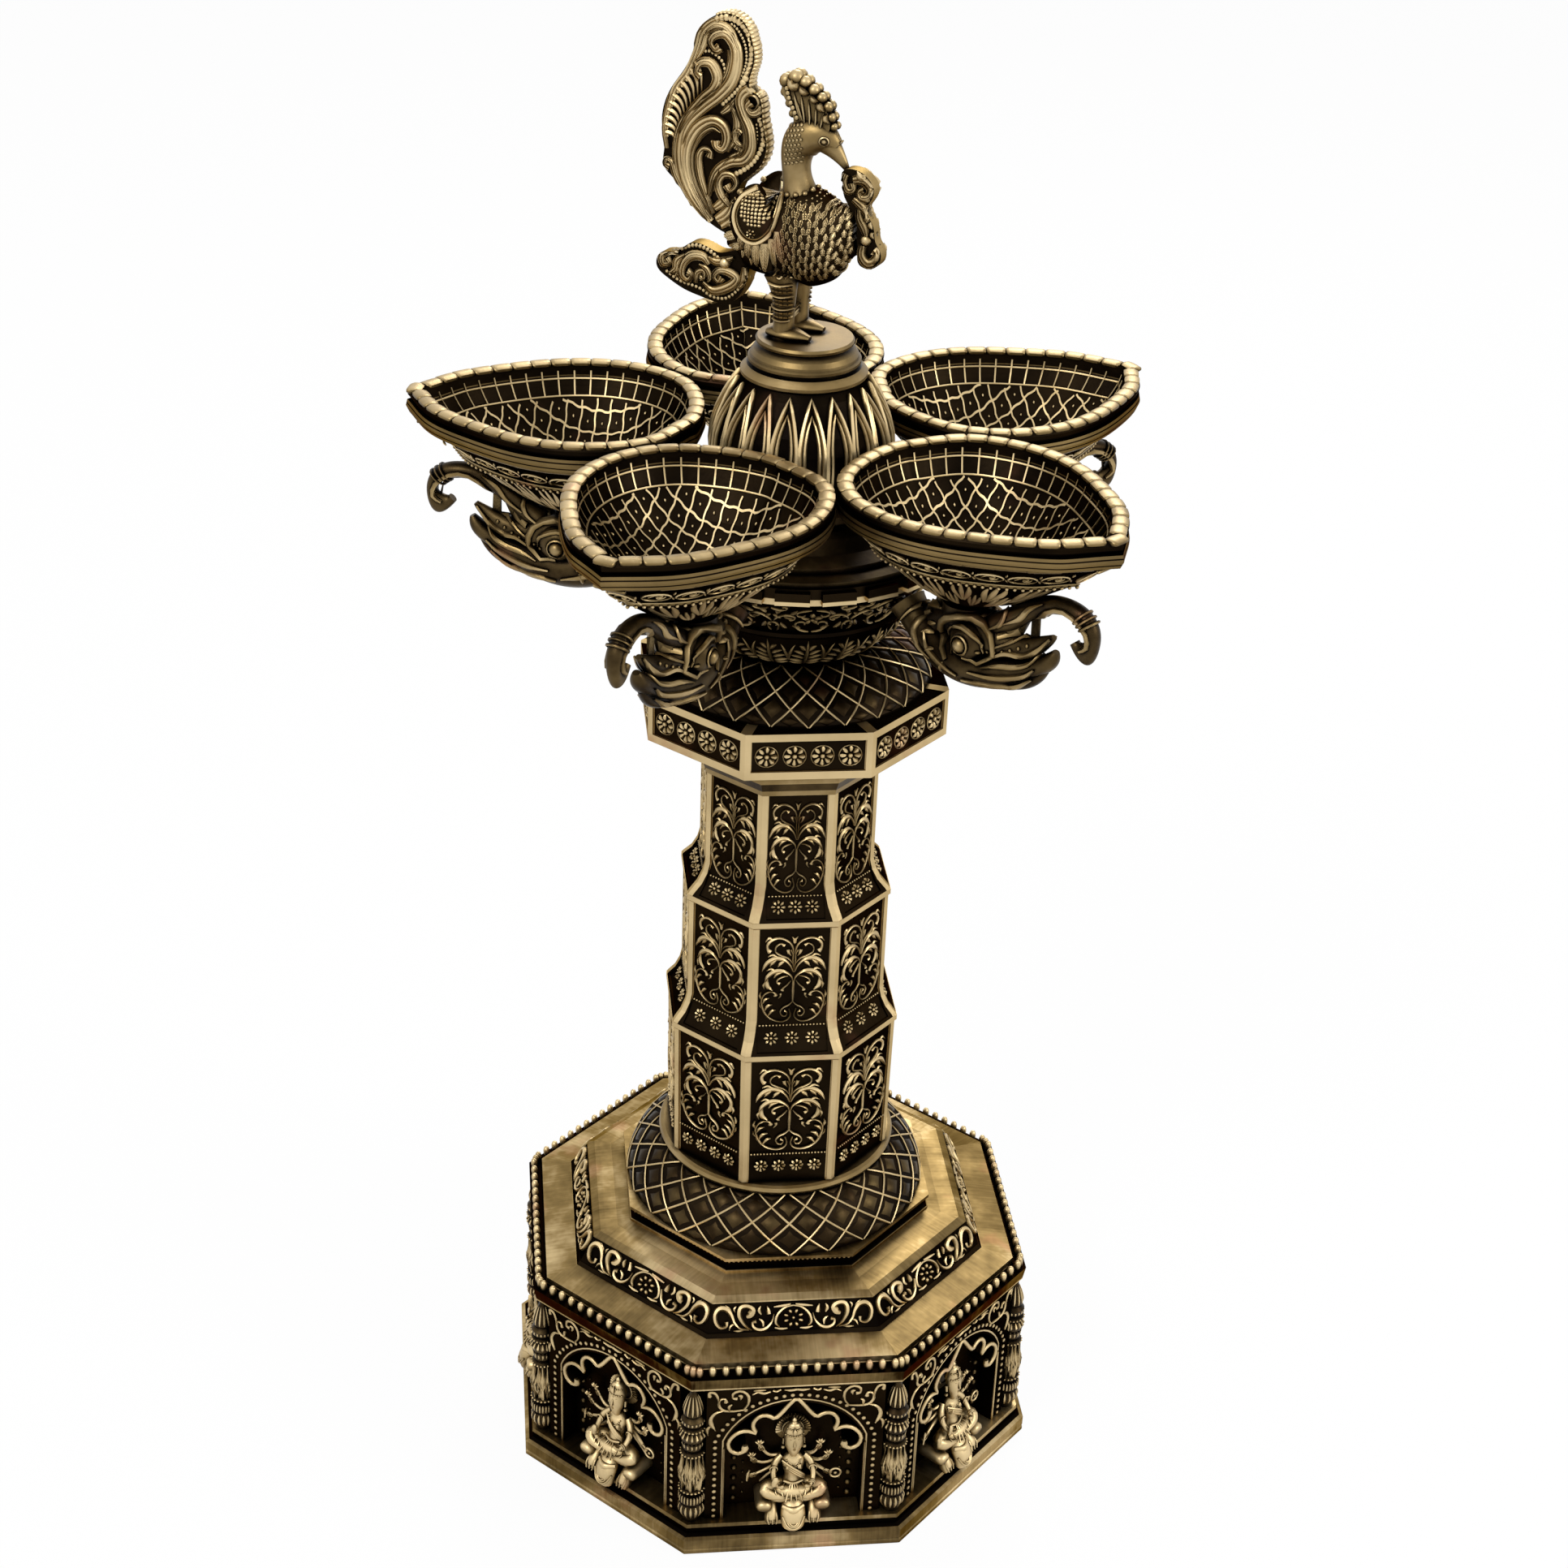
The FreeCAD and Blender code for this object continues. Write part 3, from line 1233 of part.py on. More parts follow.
def make_bowls():
    bowl = bowl_shape()
    bracket = bracket_shape()
    foot = size("bowl_rim_height") - size("bowl_depth")
    under_pad = foot - size("bracket_pad_height")
    centre = size("bowl_centre_radius")
    shank = Part.makeCylinder(
        size("screw_radius"), size("bracket_pad_height") + size("bowl_screw_bite"),
        FreeCAD.Vector(centre, 0, under_pad),
    )
    head = Part.makeCylinder(
        size("screw_head_radius"), size("screw_head_height"),
        FreeCAD.Vector(centre, 0, under_pad - size("screw_head_height")),
    )
    bowl_screw = shank.fuse(head)
    shank, head = bracket_screw(size("screw_radius"), size("screw_head_radius"))
    side_screw = shank.fuse(head)
    bowl_screws = []
    side_screws = []
    for i in range(int(size("bowl_count"))):
        placement = around(i)
        feature(f"oil_bowl_{i + 1}", bowl.copy(), placement)
        feature(f"bowl_bracket_{i + 1}", bracket.copy(), placement)
        for source, group in ((bowl_screw, bowl_screws), (side_screw, side_screws)):
            copy = source.copy()
            copy.Placement = placement
            group.append(copy)
    feature("bowl_screws", Part.makeCompound(bowl_screws))
    feature("bracket_screws", Part.makeCompound(side_screws))


# Finial's foot: a ringed, gadrooned little dome with a round disc on top
FINIAL_BASE_SHARES = (
    (0.93, 0.0), (1.0, 0.08), (1.0, 0.18), (0.96, 0.25), (0.95, 0.36), (0.90, 0.54), (0.83, 0.68),
    (0.80, 0.76), (0.86, 0.80), (0.87, 0.90), (0.84, 1.0),
)


def make_finial_base():
    rise = cell("finial_base_height")
    hole = total("finial_stud_radius", "thread_clearance")
    grip = f"{FINIAL_SEAT} + {total('finial_stud_grip', 'seat_clearance')}"
    points = moulding(FINIAL_SEAT, cell("finial_base_radius"), rise, FINIAL_BASE_SHARES)
    points += [("0", FINIAL_TOP), ("0", grip), (hole, grip), (hole, FINIAL_SEAT)]
    keep("finial_base", turned("finial_base", points))
    washer = cylinder(
        "finial_washer_disc", cell("finial_washer_radius"), COLLAR_TOP, cell("finial_washer_thickness"),
    )
    washer_hole = cylinder("finial_washer_hole", total("finial_stud_radius", "screw_clearance"),
                           f"{COLLAR_TOP} - {OVERRUN}", f"2 * {OVERRUN}")
    keep("finial_washer", cut("finial_washer", washer, washer_hole))
    bottom = f"{COLLAR_TOP} - {total('finial_stud_engagement', 'seat_clearance')}"
    top = f"{FINIAL_SEAT} + {cell('finial_stud_grip')}"
    keep("finial_stud", cylinder("finial_stud", cell("finial_stud_radius"), bottom, f"{top} - ({bottom})"))


# Peacock: paths and outlines in its own upright plane, as shares of its height from the disc up,
# with x forwards along its heading. A limb's radii are shares of the same height.
PEACOCK_LIMB_SHARES = {
    "neck": (
        ((-0.03, 0.42), (-0.048, 0.50), (-0.052, 0.56), (-0.032, 0.615), (0.012, 0.636), (0.055, 0.628),
         (0.085, 0.610)),
        (0.085, 0.056, 0.047, 0.047, 0.053, 0.060, 0.058, 0.044, 0.022), 0.88,
    ),
    "beak": (
        ((0.05, 0.62), (0.088, 0.585), (0.122, 0.542)),
        (0.040, 0.022, 0.008), 0.8,
    ),
    "body": (
        ((-0.272, 0.275), (-0.20, 0.268), (-0.12, 0.275), (-0.04, 0.31), (0.05, 0.322), (0.12, 0.325),
         (0.163, 0.33)),
        (0.030, 0.072, 0.095, 0.130, 0.152, 0.150, 0.115, 0.040), 0.72,
    ),
    "wing": (
        ((-0.125, 0.465), (-0.155, 0.42), (-0.150, 0.34), (-0.12, 0.265), (-0.095, 0.215)),
        (0.022, 0.058, 0.078, 0.068, 0.042, 0.015), 0.5,
    ),
    "leg": (
        ((-0.052, -0.02), (-0.052, 0.05), (-0.053, 0.13), (-0.065, 0.21)),
        (0.040, 0.034, 0.034, 0.042, 0.056), 1.0,
    ),
    "toes": (
        ((-0.108, 0.012), (-0.06, 0.014), (0.0, 0.013), (0.04, 0.010)),
        (0.010, 0.022, 0.024, 0.018, 0.008), 1.6,
    ),
    "hips": (
        ((-0.12, 0.215), (-0.07, 0.215), (-0.01, 0.215)),
        (0.030, 0.052, 0.052, 0.030), 1.5,
    ),
}
CREST_OUTLINE_SHARES = (
    (-0.055, 0.665), (-0.072, 0.72), (-0.097, 0.775), (-0.082, 0.803), (-0.045, 0.795), (0.0, 0.765),
    (0.043, 0.735), (0.062, 0.70), (0.066, 0.665), (0.01, 0.645),
)
WING_OFFSET_SHARE = 0.082
LEG_SPREAD_SHARE = 0.052
GARLAND_OUTLINE_SHARES = (
    (0.112, 0.521), (0.116, 0.548), (0.157, 0.556), (0.2, 0.535), (0.22, 0.503), (0.207, 0.462),
    (0.196, 0.44), (0.209, 0.415), (0.226, 0.382), (0.233, 0.345), (0.25, 0.318), (0.25, 0.282),
    (0.215, 0.257), (0.18, 0.268), (0.174, 0.309), (0.170, 0.345), (0.168, 0.387), (0.148, 0.43),
    (0.12, 0.475),
)
TAIL_OUTLINE_SHARES = (
    (-0.24, 0.285), (-0.321, 0.309), (-0.394, 0.362), (-0.458, 0.433), (-0.498, 0.474), (-0.496, 0.53),
    (-0.505, 0.60), (-0.475, 0.716), (-0.43, 0.78), (-0.398, 0.85), (-0.382, 0.905), (-0.344, 0.945),
    (-0.288, 0.966), (-0.232, 0.948), (-0.201, 0.892), (-0.193, 0.83), (-0.208, 0.775), (-0.203, 0.748),
    (-0.178, 0.735), (-0.163, 0.70), (-0.158, 0.655), (-0.145, 0.60), (-0.150, 0.545), (-0.18, 0.50),
    (-0.222, 0.46), (-0.24, 0.40), (-0.215, 0.33),
)
LOWER_PLUME_OUTLINE_SHARES = (
    (-0.19, 0.21), (-0.195, 0.155), (-0.217, 0.105), (-0.25, 0.072), (-0.297, 0.062), (-0.352, 0.070),
    (-0.415, 0.084), (-0.48, 0.113), (-0.520, 0.150), (-0.508, 0.188), (-0.454, 0.203), (-0.396, 0.240),
    (-0.346, 0.239), (-0.292, 0.226), (-0.235, 0.24),
)


def peacock_point(shares, across=0.0):
    x, z = shares
    tall = size("peacock_height")
    return (x * tall, across, value_of(FINIAL_TOP) + z * tall)


def peacock_limb(path, radii, flat, across=0.0):
    tall = size("peacock_height")
    return limb([peacock_point(p, across) for p in path], [r * tall for r in radii], flat)


def plate(outline, thickness):
    """A plate in the peacock's plane, from a closed smooth outline."""
    curve = Part.BSplineCurve()
    points = [FreeCAD.Vector(*peacock_point(p, -thickness / 2)) for p in outline]
    curve.interpolate(Points=points, PeriodicFlag=True)
    return Part.Face(Part.Wire([curve.toShape()])).extrude(FreeCAD.Vector(0, thickness, 0))


def make_peacock():
    tall = size("peacock_height")
    turn = turned_by(size("peacock_heading"))
    floor = value_of(FINIAL_TOP)
    legs = [peacock_limb(*PEACOCK_LIMB_SHARES["hips"])]
    body_parts = [peacock_limb(*PEACOCK_LIMB_SHARES["body"])]
    for side in (-1, 1):
        across = side * LEG_SPREAD_SHARE * tall
        legs.append(peacock_limb(*PEACOCK_LIMB_SHARES["leg"], across))
        legs.append(peacock_limb(*PEACOCK_LIMB_SHARES["toes"], across))
        body_parts.append(peacock_limb(*PEACOCK_LIMB_SHARES["wing"], side * WING_OFFSET_SHARE * tall))
    under_disc = Part.makeBox(tall * 2, tall * 2, tall, FreeCAD.Vector(-tall, -tall, floor - tall))
    leg_shape = joined(legs).cut(under_disc)
    body = joined(body_parts)
    neck = peacock_limb(*PEACOCK_LIMB_SHARES["neck"])
    beak = peacock_limb(*PEACOCK_LIMB_SHARES["beak"])
    crest = plate(CREST_OUTLINE_SHARES, size("crest_thickness"))
    head = joined([neck, beak, crest])
    thickness = size("plume_thickness")
    garland = plate(GARLAND_OUTLINE_SHARES, size("garland_thickness"))
    head = largest(head.cut(body))
    garland = largest(garland.cut([body, head]))
    tail = largest(plate(TAIL_OUTLINE_SHARES, thickness).cut(body))
    lower = largest(plate(LOWER_PLUME_OUTLINE_SHARES, thickness).cut([body, tail]))
    legs_cut = largest(leg_shape.cut([body, lower]))
    feature("peacock_legs", legs_cut, turn)
    feature("peacock_body", body, turn)
    feature("peacock_head", head, turn)
    feature("beak_garland", garland, turn)
    feature("tail_plume", tail, turn)
    feature("lower_plume", lower, turn)


make_plinth()
make_drum()
make_colonnettes()
make_figures()
make_cornice()
make_frieze()
make_slab()
make_dome_plinth()
make_domes()
make_foot_ring()
make_tier("column_lower_tier", "lower_tier_height", "lower_tier_circumradius", None)
make_tier("column_middle_tier", "middle_tier_height", "middle_tier_circumradius", "lower_tier_circumradius")
make_tier("column_upper_tier", "upper_tier_height", "upper_tier_circumradius", "middle_tier_circumradius")
make_capital()
make_core()
make_hub()
make_block_ring()
make_hub_cap()
make_bud()
make_collar()
make_bowls()
make_finial_base()
make_peacock()
doc.recompute()

faults = []
for item in doc.Objects:
    if "Invalid" in item.State or "Error" in item.State:
        faults.append(f"{item.Name}: {item.State}")
for node, item in NODES.items():
    shape = item.Shape
    if shape.isNull() or not shape.isValid() or not shape.Solids:
        faults.append(f"{node}: no valid solid")
if faults:
    raise ValueError("; ".join(faults))

os.makedirs("parts", exist_ok=True)
for node, item in NODES.items():
    item.Shape.exportStep(f"parts/{node}.step")
    print(f"{node}: {len(item.Shape.Solids)} solid, {item.Shape.Volume / 1000:.1f} cm3")
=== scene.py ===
import math

import bpy
import numpy as np
from mathutils import Matrix, Vector
from mathutils.bvhtree import BVHTree


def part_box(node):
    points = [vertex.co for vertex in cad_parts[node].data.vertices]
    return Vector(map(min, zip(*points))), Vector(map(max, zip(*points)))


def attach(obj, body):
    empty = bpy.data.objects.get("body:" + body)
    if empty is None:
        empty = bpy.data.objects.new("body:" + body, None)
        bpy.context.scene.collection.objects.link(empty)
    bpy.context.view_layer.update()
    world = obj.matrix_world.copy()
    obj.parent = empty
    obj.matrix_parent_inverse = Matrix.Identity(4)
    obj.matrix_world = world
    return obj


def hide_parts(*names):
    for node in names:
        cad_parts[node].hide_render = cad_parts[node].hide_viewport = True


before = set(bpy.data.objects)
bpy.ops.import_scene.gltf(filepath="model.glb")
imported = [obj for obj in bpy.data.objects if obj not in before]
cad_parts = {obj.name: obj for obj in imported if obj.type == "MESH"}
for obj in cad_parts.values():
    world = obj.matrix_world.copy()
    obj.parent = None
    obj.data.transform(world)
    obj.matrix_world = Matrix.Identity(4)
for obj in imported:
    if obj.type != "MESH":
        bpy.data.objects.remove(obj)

# A brass temple lamp, dressed over its plain solids: carving, goddesses, woven bowls and a peacock.
# Lengths are millimetres until a mesh is made. An angle round the lamp counts from -Y towards +X, in degrees.
MM = 0.001
SIDES = 8
FACE_TURN = 360.0 / SIDES
HALF_FACE = math.radians(FACE_TURN / 2)
BOWLS = 5
BOWL_TURN = 360.0 / BOWLS
FIRST_BOWL = -104.2
SHARP_CORNER = math.radians(50.0)
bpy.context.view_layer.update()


def low(node):
    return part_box(node)[0] / MM


def high(node):
    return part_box(node)[1] / MM


def flat_radius(node):
    """From the axis to the flats of an octagonal piece."""
    return high(node).x


# Castings: points and faces gathered from simple forms


class Casting:
    """Points in millimetres, each with a crest value (0 in a recess, 1 on a crest), and faces."""

    def __init__(self):
        self.points = np.zeros((0, 3))
        self.crests = np.zeros(0)
        self.faces = []

    def add(self, points, crests, faces):
        start = len(self.points)
        self.points = np.vstack([self.points, points])
        self.crests = np.concatenate([self.crests, np.broadcast_to(crests, len(points))])
        self.faces += [tuple(start + i for i in face) for face in faces]
        return self

    def join(self, *others):
        for other in others:
            self.add(other.points, other.crests, other.faces)
        return self

    def limb(self, *shape, **more):
        """Joins a smooth strand through a few points."""
        return self.join(limb(*shape, **more))

    def outward(self):
        """Turns all the faces over when they look inwards."""
        corners = [(face[0], face[i], face[i + 1]) for face in self.faces for i in range(1, len(face) - 1)]
        a, b, c = self.points[np.array(corners)].transpose(1, 0, 2)
        if np.einsum("ij,ij->", a, np.cross(b, c)) < 0:
            self.faces = [face[::-1] for face in self.faces]
        return self

    def like(self, points):
        """A copy with its points elsewhere."""
        return Casting().add(points, self.crests, self.faces).outward()

    def moved(self, x=0.0, y=0.0, z=0.0, turn=0.0):
        """A copy that is turned in its plane by degrees, and moved."""
        c, s = math.cos(math.radians(turn)), math.sin(math.radians(turn))
        turned = self.points @ np.array([[c, s, 0], [-s, c, 0], [0, 0, 1.0]])
        return Casting().add(turned + np.array([x, y, z]), self.crests, self.faces)

    def stretched(self, x=1.0, y=1.0):
        return self.like(self.points * np.array([x, y, 1.0]))

    def mirrored(self):
        """The form with its mirror image across x = 0."""
        return Casting().join(self, self.stretched(x=-1.0))

    def placed(self, surface):
        """A copy laid on a surface, given as a rule from (along, up, out) to space."""
        return self.like(surface(*self.points.T))

    def mesh(self, name):
        mesh = bpy.data.meshes.new(name)
        mesh.from_pydata((self.points * MM).tolist(), [], self.faces)
        mesh.attributes.new("crest", "FLOAT", "POINT").data.foreach_set("value",
            self.crests.astype(np.float32))
        mesh.shade_smooth()
        mesh.set_sharp_from_angle(angle=SHARP_CORNER)
        return mesh


def tube_faces(rows, around, closed):
    """Quads between rings of points, and a fan on a middle point at each open end."""
    faces = []
    for i in range(rows if closed else rows - 1):
        this, following = i * around, (i + 1) % rows * around
        for j in range(around):
            k = (j + 1) % around
            faces.append((this + j, this + k, following + k, following + j))
    if not closed:
        start, end = rows * around, rows * around + 1
        last = (rows - 1) * around
        for j in range(around):
            k = (j + 1) % around
            faces.append((start, k, j))
            faces.append((end, last + j, last + k))
    return faces


def strand(path, widths, heights, around=6, closed=False, out=(0, 0, 1)):
    """A strip of metal along a path, with an oval section: a half width and a half height at each point."""
    path = np.asarray(path, float)
    if path.shape[1] == 2:
        path = np.column_stack([path, np.zeros(len(path))])
    count = len(path)
    if closed:
        along = np.roll(path, -1, 0) - np.roll(path, 1, 0)
    else:
        along = np.gradient(path, axis=0)
    along /= np.linalg.norm(along, axis=1)[:, None] + 1e-12
    out = np.broadcast_to(np.asarray(out, float), path.shape)
    side = np.cross(along, out)
    side /= np.linalg.norm(side, axis=1)[:, None] + 1e-12
    up = np.cross(side, along)
    widths = np.broadcast_to(widths, count)[:, None]
    heights = np.broadcast_to(heights, count)[:, None]
    rings, crests = [], []
    for j in range(around):
        angle = 2 * math.pi * (j + 0.5) / around
        rise = math.sin(angle)
        rings.append(path + side * widths * math.cos(angle) + up * heights * rise)
        crests.append(np.full(count, 0.5 + 0.5 * rise))
    points = np.stack(rings, 1).reshape(-1, 3)
    values = np.stack(crests, 1).reshape(-1)
    if not closed:
        points = np.vstack([points, path[:1], path[-1:]])
        values = np.concatenate([values, [0.5, 0.5]])
    return Casting().add(points, values, tube_faces(count, around, closed)).outward()


def smooth(points, count):
    """Points along a smooth curve through the given ones. Plain numbers give plain numbers."""
    points = np.asarray(points, float)
    rows = points[:, None] if points.ndim == 1 else points
    rows = np.vstack([2 * rows[0] - rows[1], rows, 2 * rows[-1] - rows[-2]])
    at = np.linspace(0, len(points) - 1, count)
    i = np.minimum(at.astype(int), len(points) - 2)
    t = (at - i)[:, None]
    a, b, c, d = rows[i], rows[i + 1], rows[i + 2], rows[i + 3]
    curve = b + 0.5 * t * (c - a + t * (2 * a - 5 * b + 4 * c - d + t * (3 * (b - c) + d - a)))
    return curve[:, 0] if points.ndim == 1 else curve


def limb(points, widths, heights=None, count=14, around=8, **more):
    """A smooth strand through a few points, with a width and a height at each."""
    heights = widths if heights is None else heights
    widths, heights = (size if np.isscalar(size) else smooth(size, count) for size in (widths, heights))
    return strand(smooth(points, count), widths, heights, around, **more)


def even(path, count, closed=False):
    """A path's points spread evenly along it."""
    path = np.asarray(path, float)
    if closed:
        path = np.vstack([path, path[:1]])
    reach = np.concatenate([[0], np.cumsum(np.linalg.norm(np.diff(path, axis=0), axis=1))])
    at = np.linspace(0, reach[-1], count, endpoint=not closed)
    return np.column_stack([np.interp(at, reach, column) for column in path.T])


def mitred(section):
    """One side of an octagonal ring, from a closed section of (flat, height) points, cut at the corners."""
    flat, height = np.asarray(section, float).T
    half = flat * math.tan(HALF_FACE)
    points = np.vstack([np.column_stack([side * half, -flat, height]) for side in (-1, 1)])
    count = len(section)
    faces = [(i, (i + 1) % count, count + (i + 1) % count, count + i) for i in range(count)]
    faces += [tuple(range(count))[::-1], tuple(range(count, 2 * count))]
    return Casting().add(points, 0.6, faces).outward()


def curl(start, heading, length, bend, tighten=1.6, count=12):
    """A flat path that starts along a heading and turns by bend degrees, faster and faster, into a scroll."""
    share = np.linspace(0, 1, count)
    angle = np.radians(heading + bend * share ** tighten)
    step = 1 - 0.65 * share
    step = step / step[1:].sum() * length
    middle = (angle[1:] + angle[:-1]) / 2
    moves = np.column_stack([np.cos(middle), np.sin(middle)]) * step[1:, None]
    return np.vstack([[0, 0], np.cumsum(moves, 0)]) + np.asarray(start, float)


def scroll(start, heading, length, bend, width=0.7, height=0.8, tighten=1.6, count=12):
    """A curl that thins along its way and ends in a little ball."""
    share = np.linspace(0, 1, count)
    thick = 1.0 - 0.35 * share
    thick[0] = 0.35
    thick[-2:] *= (1.5, 1.05)
    return strand(curl(start, heading, length, bend, tighten, count), width * thick,
        height * (0.6 + 0.4 * thick))


def leaf(start, heading, length, bend, width=1.6, height=1.0, count=8, around=6, root=0.25):
    """A pointed leaf, fullest before its middle, with a ridge along it."""
    share = np.linspace(0, 1, count)
    full = np.sin(np.pi * share ** 0.75) ** 0.8 * (1 - root) + root * (1 - share)
    full[-1] = 0.06
    path = curl(start, heading, length, bend, 1.3, count)
    return strand(path, width * full, height * np.maximum(full, 0.2), around)


def turned(profile, around=12, crests=None):
    """A form turned about its own z axis from (radius, height) points, closed where the radius is nothing."""
    profile = np.asarray(profile, float)
    angles = 2 * np.pi * np.arange(around) / around
    inner = profile[1:-1]
    points = np.stack([
        np.outer(inner[:, 0], np.cos(angles)), np.outer(inner[:, 0], np.sin(angles)),
        np.repeat(inner[:, 1:], around, 1),
    ], -1).reshape(-1, 3)
    points = np.vstack([points, [0, 0, profile[0, 1]], [0, 0, profile[-1, 1]]])
    if crests is None:
        span = np.ptp(profile[:, 1]) or 1.0
        crests = (profile[:, 1] - profile[:, 1].min()) / span
    values = np.concatenate([np.repeat(np.asarray(crests)[1:-1], around), [crests[0], crests[-1]]])
    return Casting().add(points, values, tube_faces(len(inner), around, False)).outward()


def bead(radius, height=None, around=6, sunk=0.3, rings=2):
    """A round bead that is sunk into its ground by a share of its height."""
    height = height or radius
    angles = np.linspace(-math.asin(min(sunk, 1.0)), math.pi / 2, rings + 1)
    profile = [(0, height * math.sin(angles[0]))]
    profile += [(radius * math.cos(a), height * math.sin(a)) for a in angles[:-1]]
    profile += [(0, height)]
    return turned(profile, around)


def rosette(radius, petals=8, height=1.0):
    """A ring of petals round a bead."""
    flower = Casting()
    petal = strand([(0.36 * radius, 0), (0.52 * radius, 0), (0.76 * radius, 0), (0.95 * radius, 0)],
        np.array([0.08, 0.17, 0.25, 0.12]) * radius, np.array([0.3, 0.8, 1.0, 0.4]) * height, 5)
    for i in range(petals):
        flower.join(petal.moved(turn=360.0 / petals * i))
    return flower.join(bead(0.27 * radius, height * 1.1, 7))


# Surfaces: rules that lay a flat form (along, up, out) on the lamp


def on_front(flat, base):
    """On the upright front face, at a distance from the axis, with up counted from a height."""
    def rule(along, up, out):
        return np.column_stack([along, -(flat + out), base + up])
    return rule


def on_profile(stations, round_at=None):
    """On a face or, when round_at is a radius, on a turned form, whose section is (radius, height) stations.
    Up is counted along the section from its first station."""
    stations = np.asarray(stations, float)
    steps = np.diff(stations, axis=0)
    lengths = np.linalg.norm(steps, axis=1)
    reach = np.concatenate([[0], np.cumsum(lengths)])
    normals = np.column_stack([steps[:, 1], -steps[:, 0]]) / lengths[:, None]
    middles = (reach[1:] + reach[:-1]) / 2

    def rule(along, up, out):
        radius = np.interp(up, reach, stations[:, 0])
        height = np.interp(up, reach, stations[:, 1]) + np.clip(up - reach[-1], 0, None) + np.clip(up, None,
            0)
        lean = np.interp(up, middles, normals[:, 0])
        tip = np.interp(up, middles, normals[:, 1])
        radius = radius + out * lean
        height = height + out * tip
        if round_at is None:
            return np.column_stack([along, -radius, height])
        angle = along / round_at
        return np.column_stack([radius * np.sin(angle), -radius * np.cos(angle), height])
    return rule


FAR = 900.0


class Form:
    """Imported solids, turned back by an angle round the axis, to lay castings on."""

    def __init__(self, *nodes, turn=0.0):
        points, faces = [], []
        for node in nodes:
            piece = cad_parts[node]
            back = Matrix.Rotation(-math.radians(turn), 4, "Z") @ piece.matrix_world
            start = len(points)
            points += [back @ vertex.co / MM for vertex in piece.data.vertices]
            faces += [tuple(start + i for i in face.vertices) for face in piece.data.polygons]
        self.tree = BVHTree.FromPolygons(points, faces)

    def hit(self, target, way):
        """Where a line through a target, followed along a way from far off, first meets the solid."""
        way = Vector(way)
        place, normal = self.tree.ray_cast(Vector(target) - way * FAR, way)[:2]
        if place is None:
            return Vector(self.tree.find_nearest(Vector(target))[0]), -way
        return place, normal

    def rule(self, target, way):
        """A rule that lays (along, up, out) where lines to its targets meet the solid."""
        def lay(along, up, out):
            placed = []
            for a, u, rise in zip(along, up, out):
                place, normal = self.hit(target(a, u), way(a, u))
                placed.append(place + normal * rise)
            return np.array(placed)
        return lay

    def from_side(self, side):
        """On the solid as seen along Y, from the side of -Y or +Y: along is x and up is z."""
        return self.rule(lambda a, u: (a, 0.0, u), lambda a, u: (0.0, -side, 0.0))

    def from_above(self):
        return self.rule(lambda a, u: (a, u, 0.0), lambda a, u: (0.0, 0.0, -1.0))


def both_sides(casting, form):
    """A casting laid on both sides of a form."""
    return Casting().join(casting.placed(form.from_side(-1)), casting.placed(form.from_side(1)))


def reach_of(stations):
    """The length of a section or path."""
    return float(np.linalg.norm(np.diff(np.asarray(stations, float), axis=0), axis=1).sum())


# Pieces: Geometry Nodes repeat a casting, and each result becomes a plain mesh on its body


def new_tree(name, inputs):
    tree = bpy.data.node_groups.new(name, "GeometryNodeTree")
    tree.interface.new_socket("Geometry", in_out="INPUT", socket_type="NodeSocketGeometry")
    for label, kind in inputs:
        tree.interface.new_socket(label, in_out="INPUT", socket_type=f"NodeSocket{kind}")
    tree.interface.new_socket("Geometry", in_out="OUTPUT", socket_type="NodeSocketGeometry")
    return tree, tree.nodes.new("NodeGroupInput"), tree.nodes.new("NodeGroupOutput")


def set_node(tree, kind, settings=None, **sockets):
    """A node with its settings and its sockets, each given a value or another node's socket."""
    node = tree.nodes.new(kind)
    for setting, value in (settings or {}).items():
        setattr(node, setting, value)
    for label, value in sockets.items():
        socket = node.inputs[label.replace("_", " ")]
        if isinstance(value, bpy.types.NodeSocket):
            tree.links.new(value, socket)
        else:
            socket.default_value = value
    return node


def turned_copies(tree, geometry, count, first, step):
    """Copies of a geometry, each turned a step further round the lamp's axis."""
    index = set_node(tree, "GeometryNodeInputIndex").outputs[0]
    turns = set_node(tree, "ShaderNodeMath", {"operation": "MULTIPLY_ADD"})
    for socket, value in zip(turns.inputs, (index, step, first)):
        tree.links.new(value, socket)
    angle = set_node(tree, "ShaderNodeMath", {"operation": "RADIANS"}, Value=turns.outputs[0]).outputs[0]
    euler = set_node(tree, "ShaderNodeCombineXYZ", Z=angle).outputs[0]
    rotation = set_node(tree, "FunctionNodeEulerToRotation", Euler=euler).outputs[0]
    points = set_node(tree, "GeometryNodePoints", Count=count).outputs[0]
    return set_node(tree, "GeometryNodeInstanceOnPoints", Points=points, Instance=geometry,
        Rotation=rotation).outputs[0]


def end_tree(tree, geometry, material, end):
    real = set_node(tree, "GeometryNodeRealizeInstances", Geometry=geometry).outputs[0]
    done = set_node(tree, "GeometryNodeSetMaterial", Geometry=real, Material=material).outputs[0]
    tree.links.new(done, end.inputs[0])


def copies_tree():
    """Copies of the object's own casting round the lamp's axis."""
    tree, start, end = new_tree("Copies round the axis", (
        ("Count", "Int"), ("First Angle", "Float"), ("Step Angle", "Float"), ("Material", "Material"),
    ))
    geometry, count, first, step, material = start.outputs[:5]
    end_tree(tree, turned_copies(tree, geometry, count, first, step), material, end)
    return tree


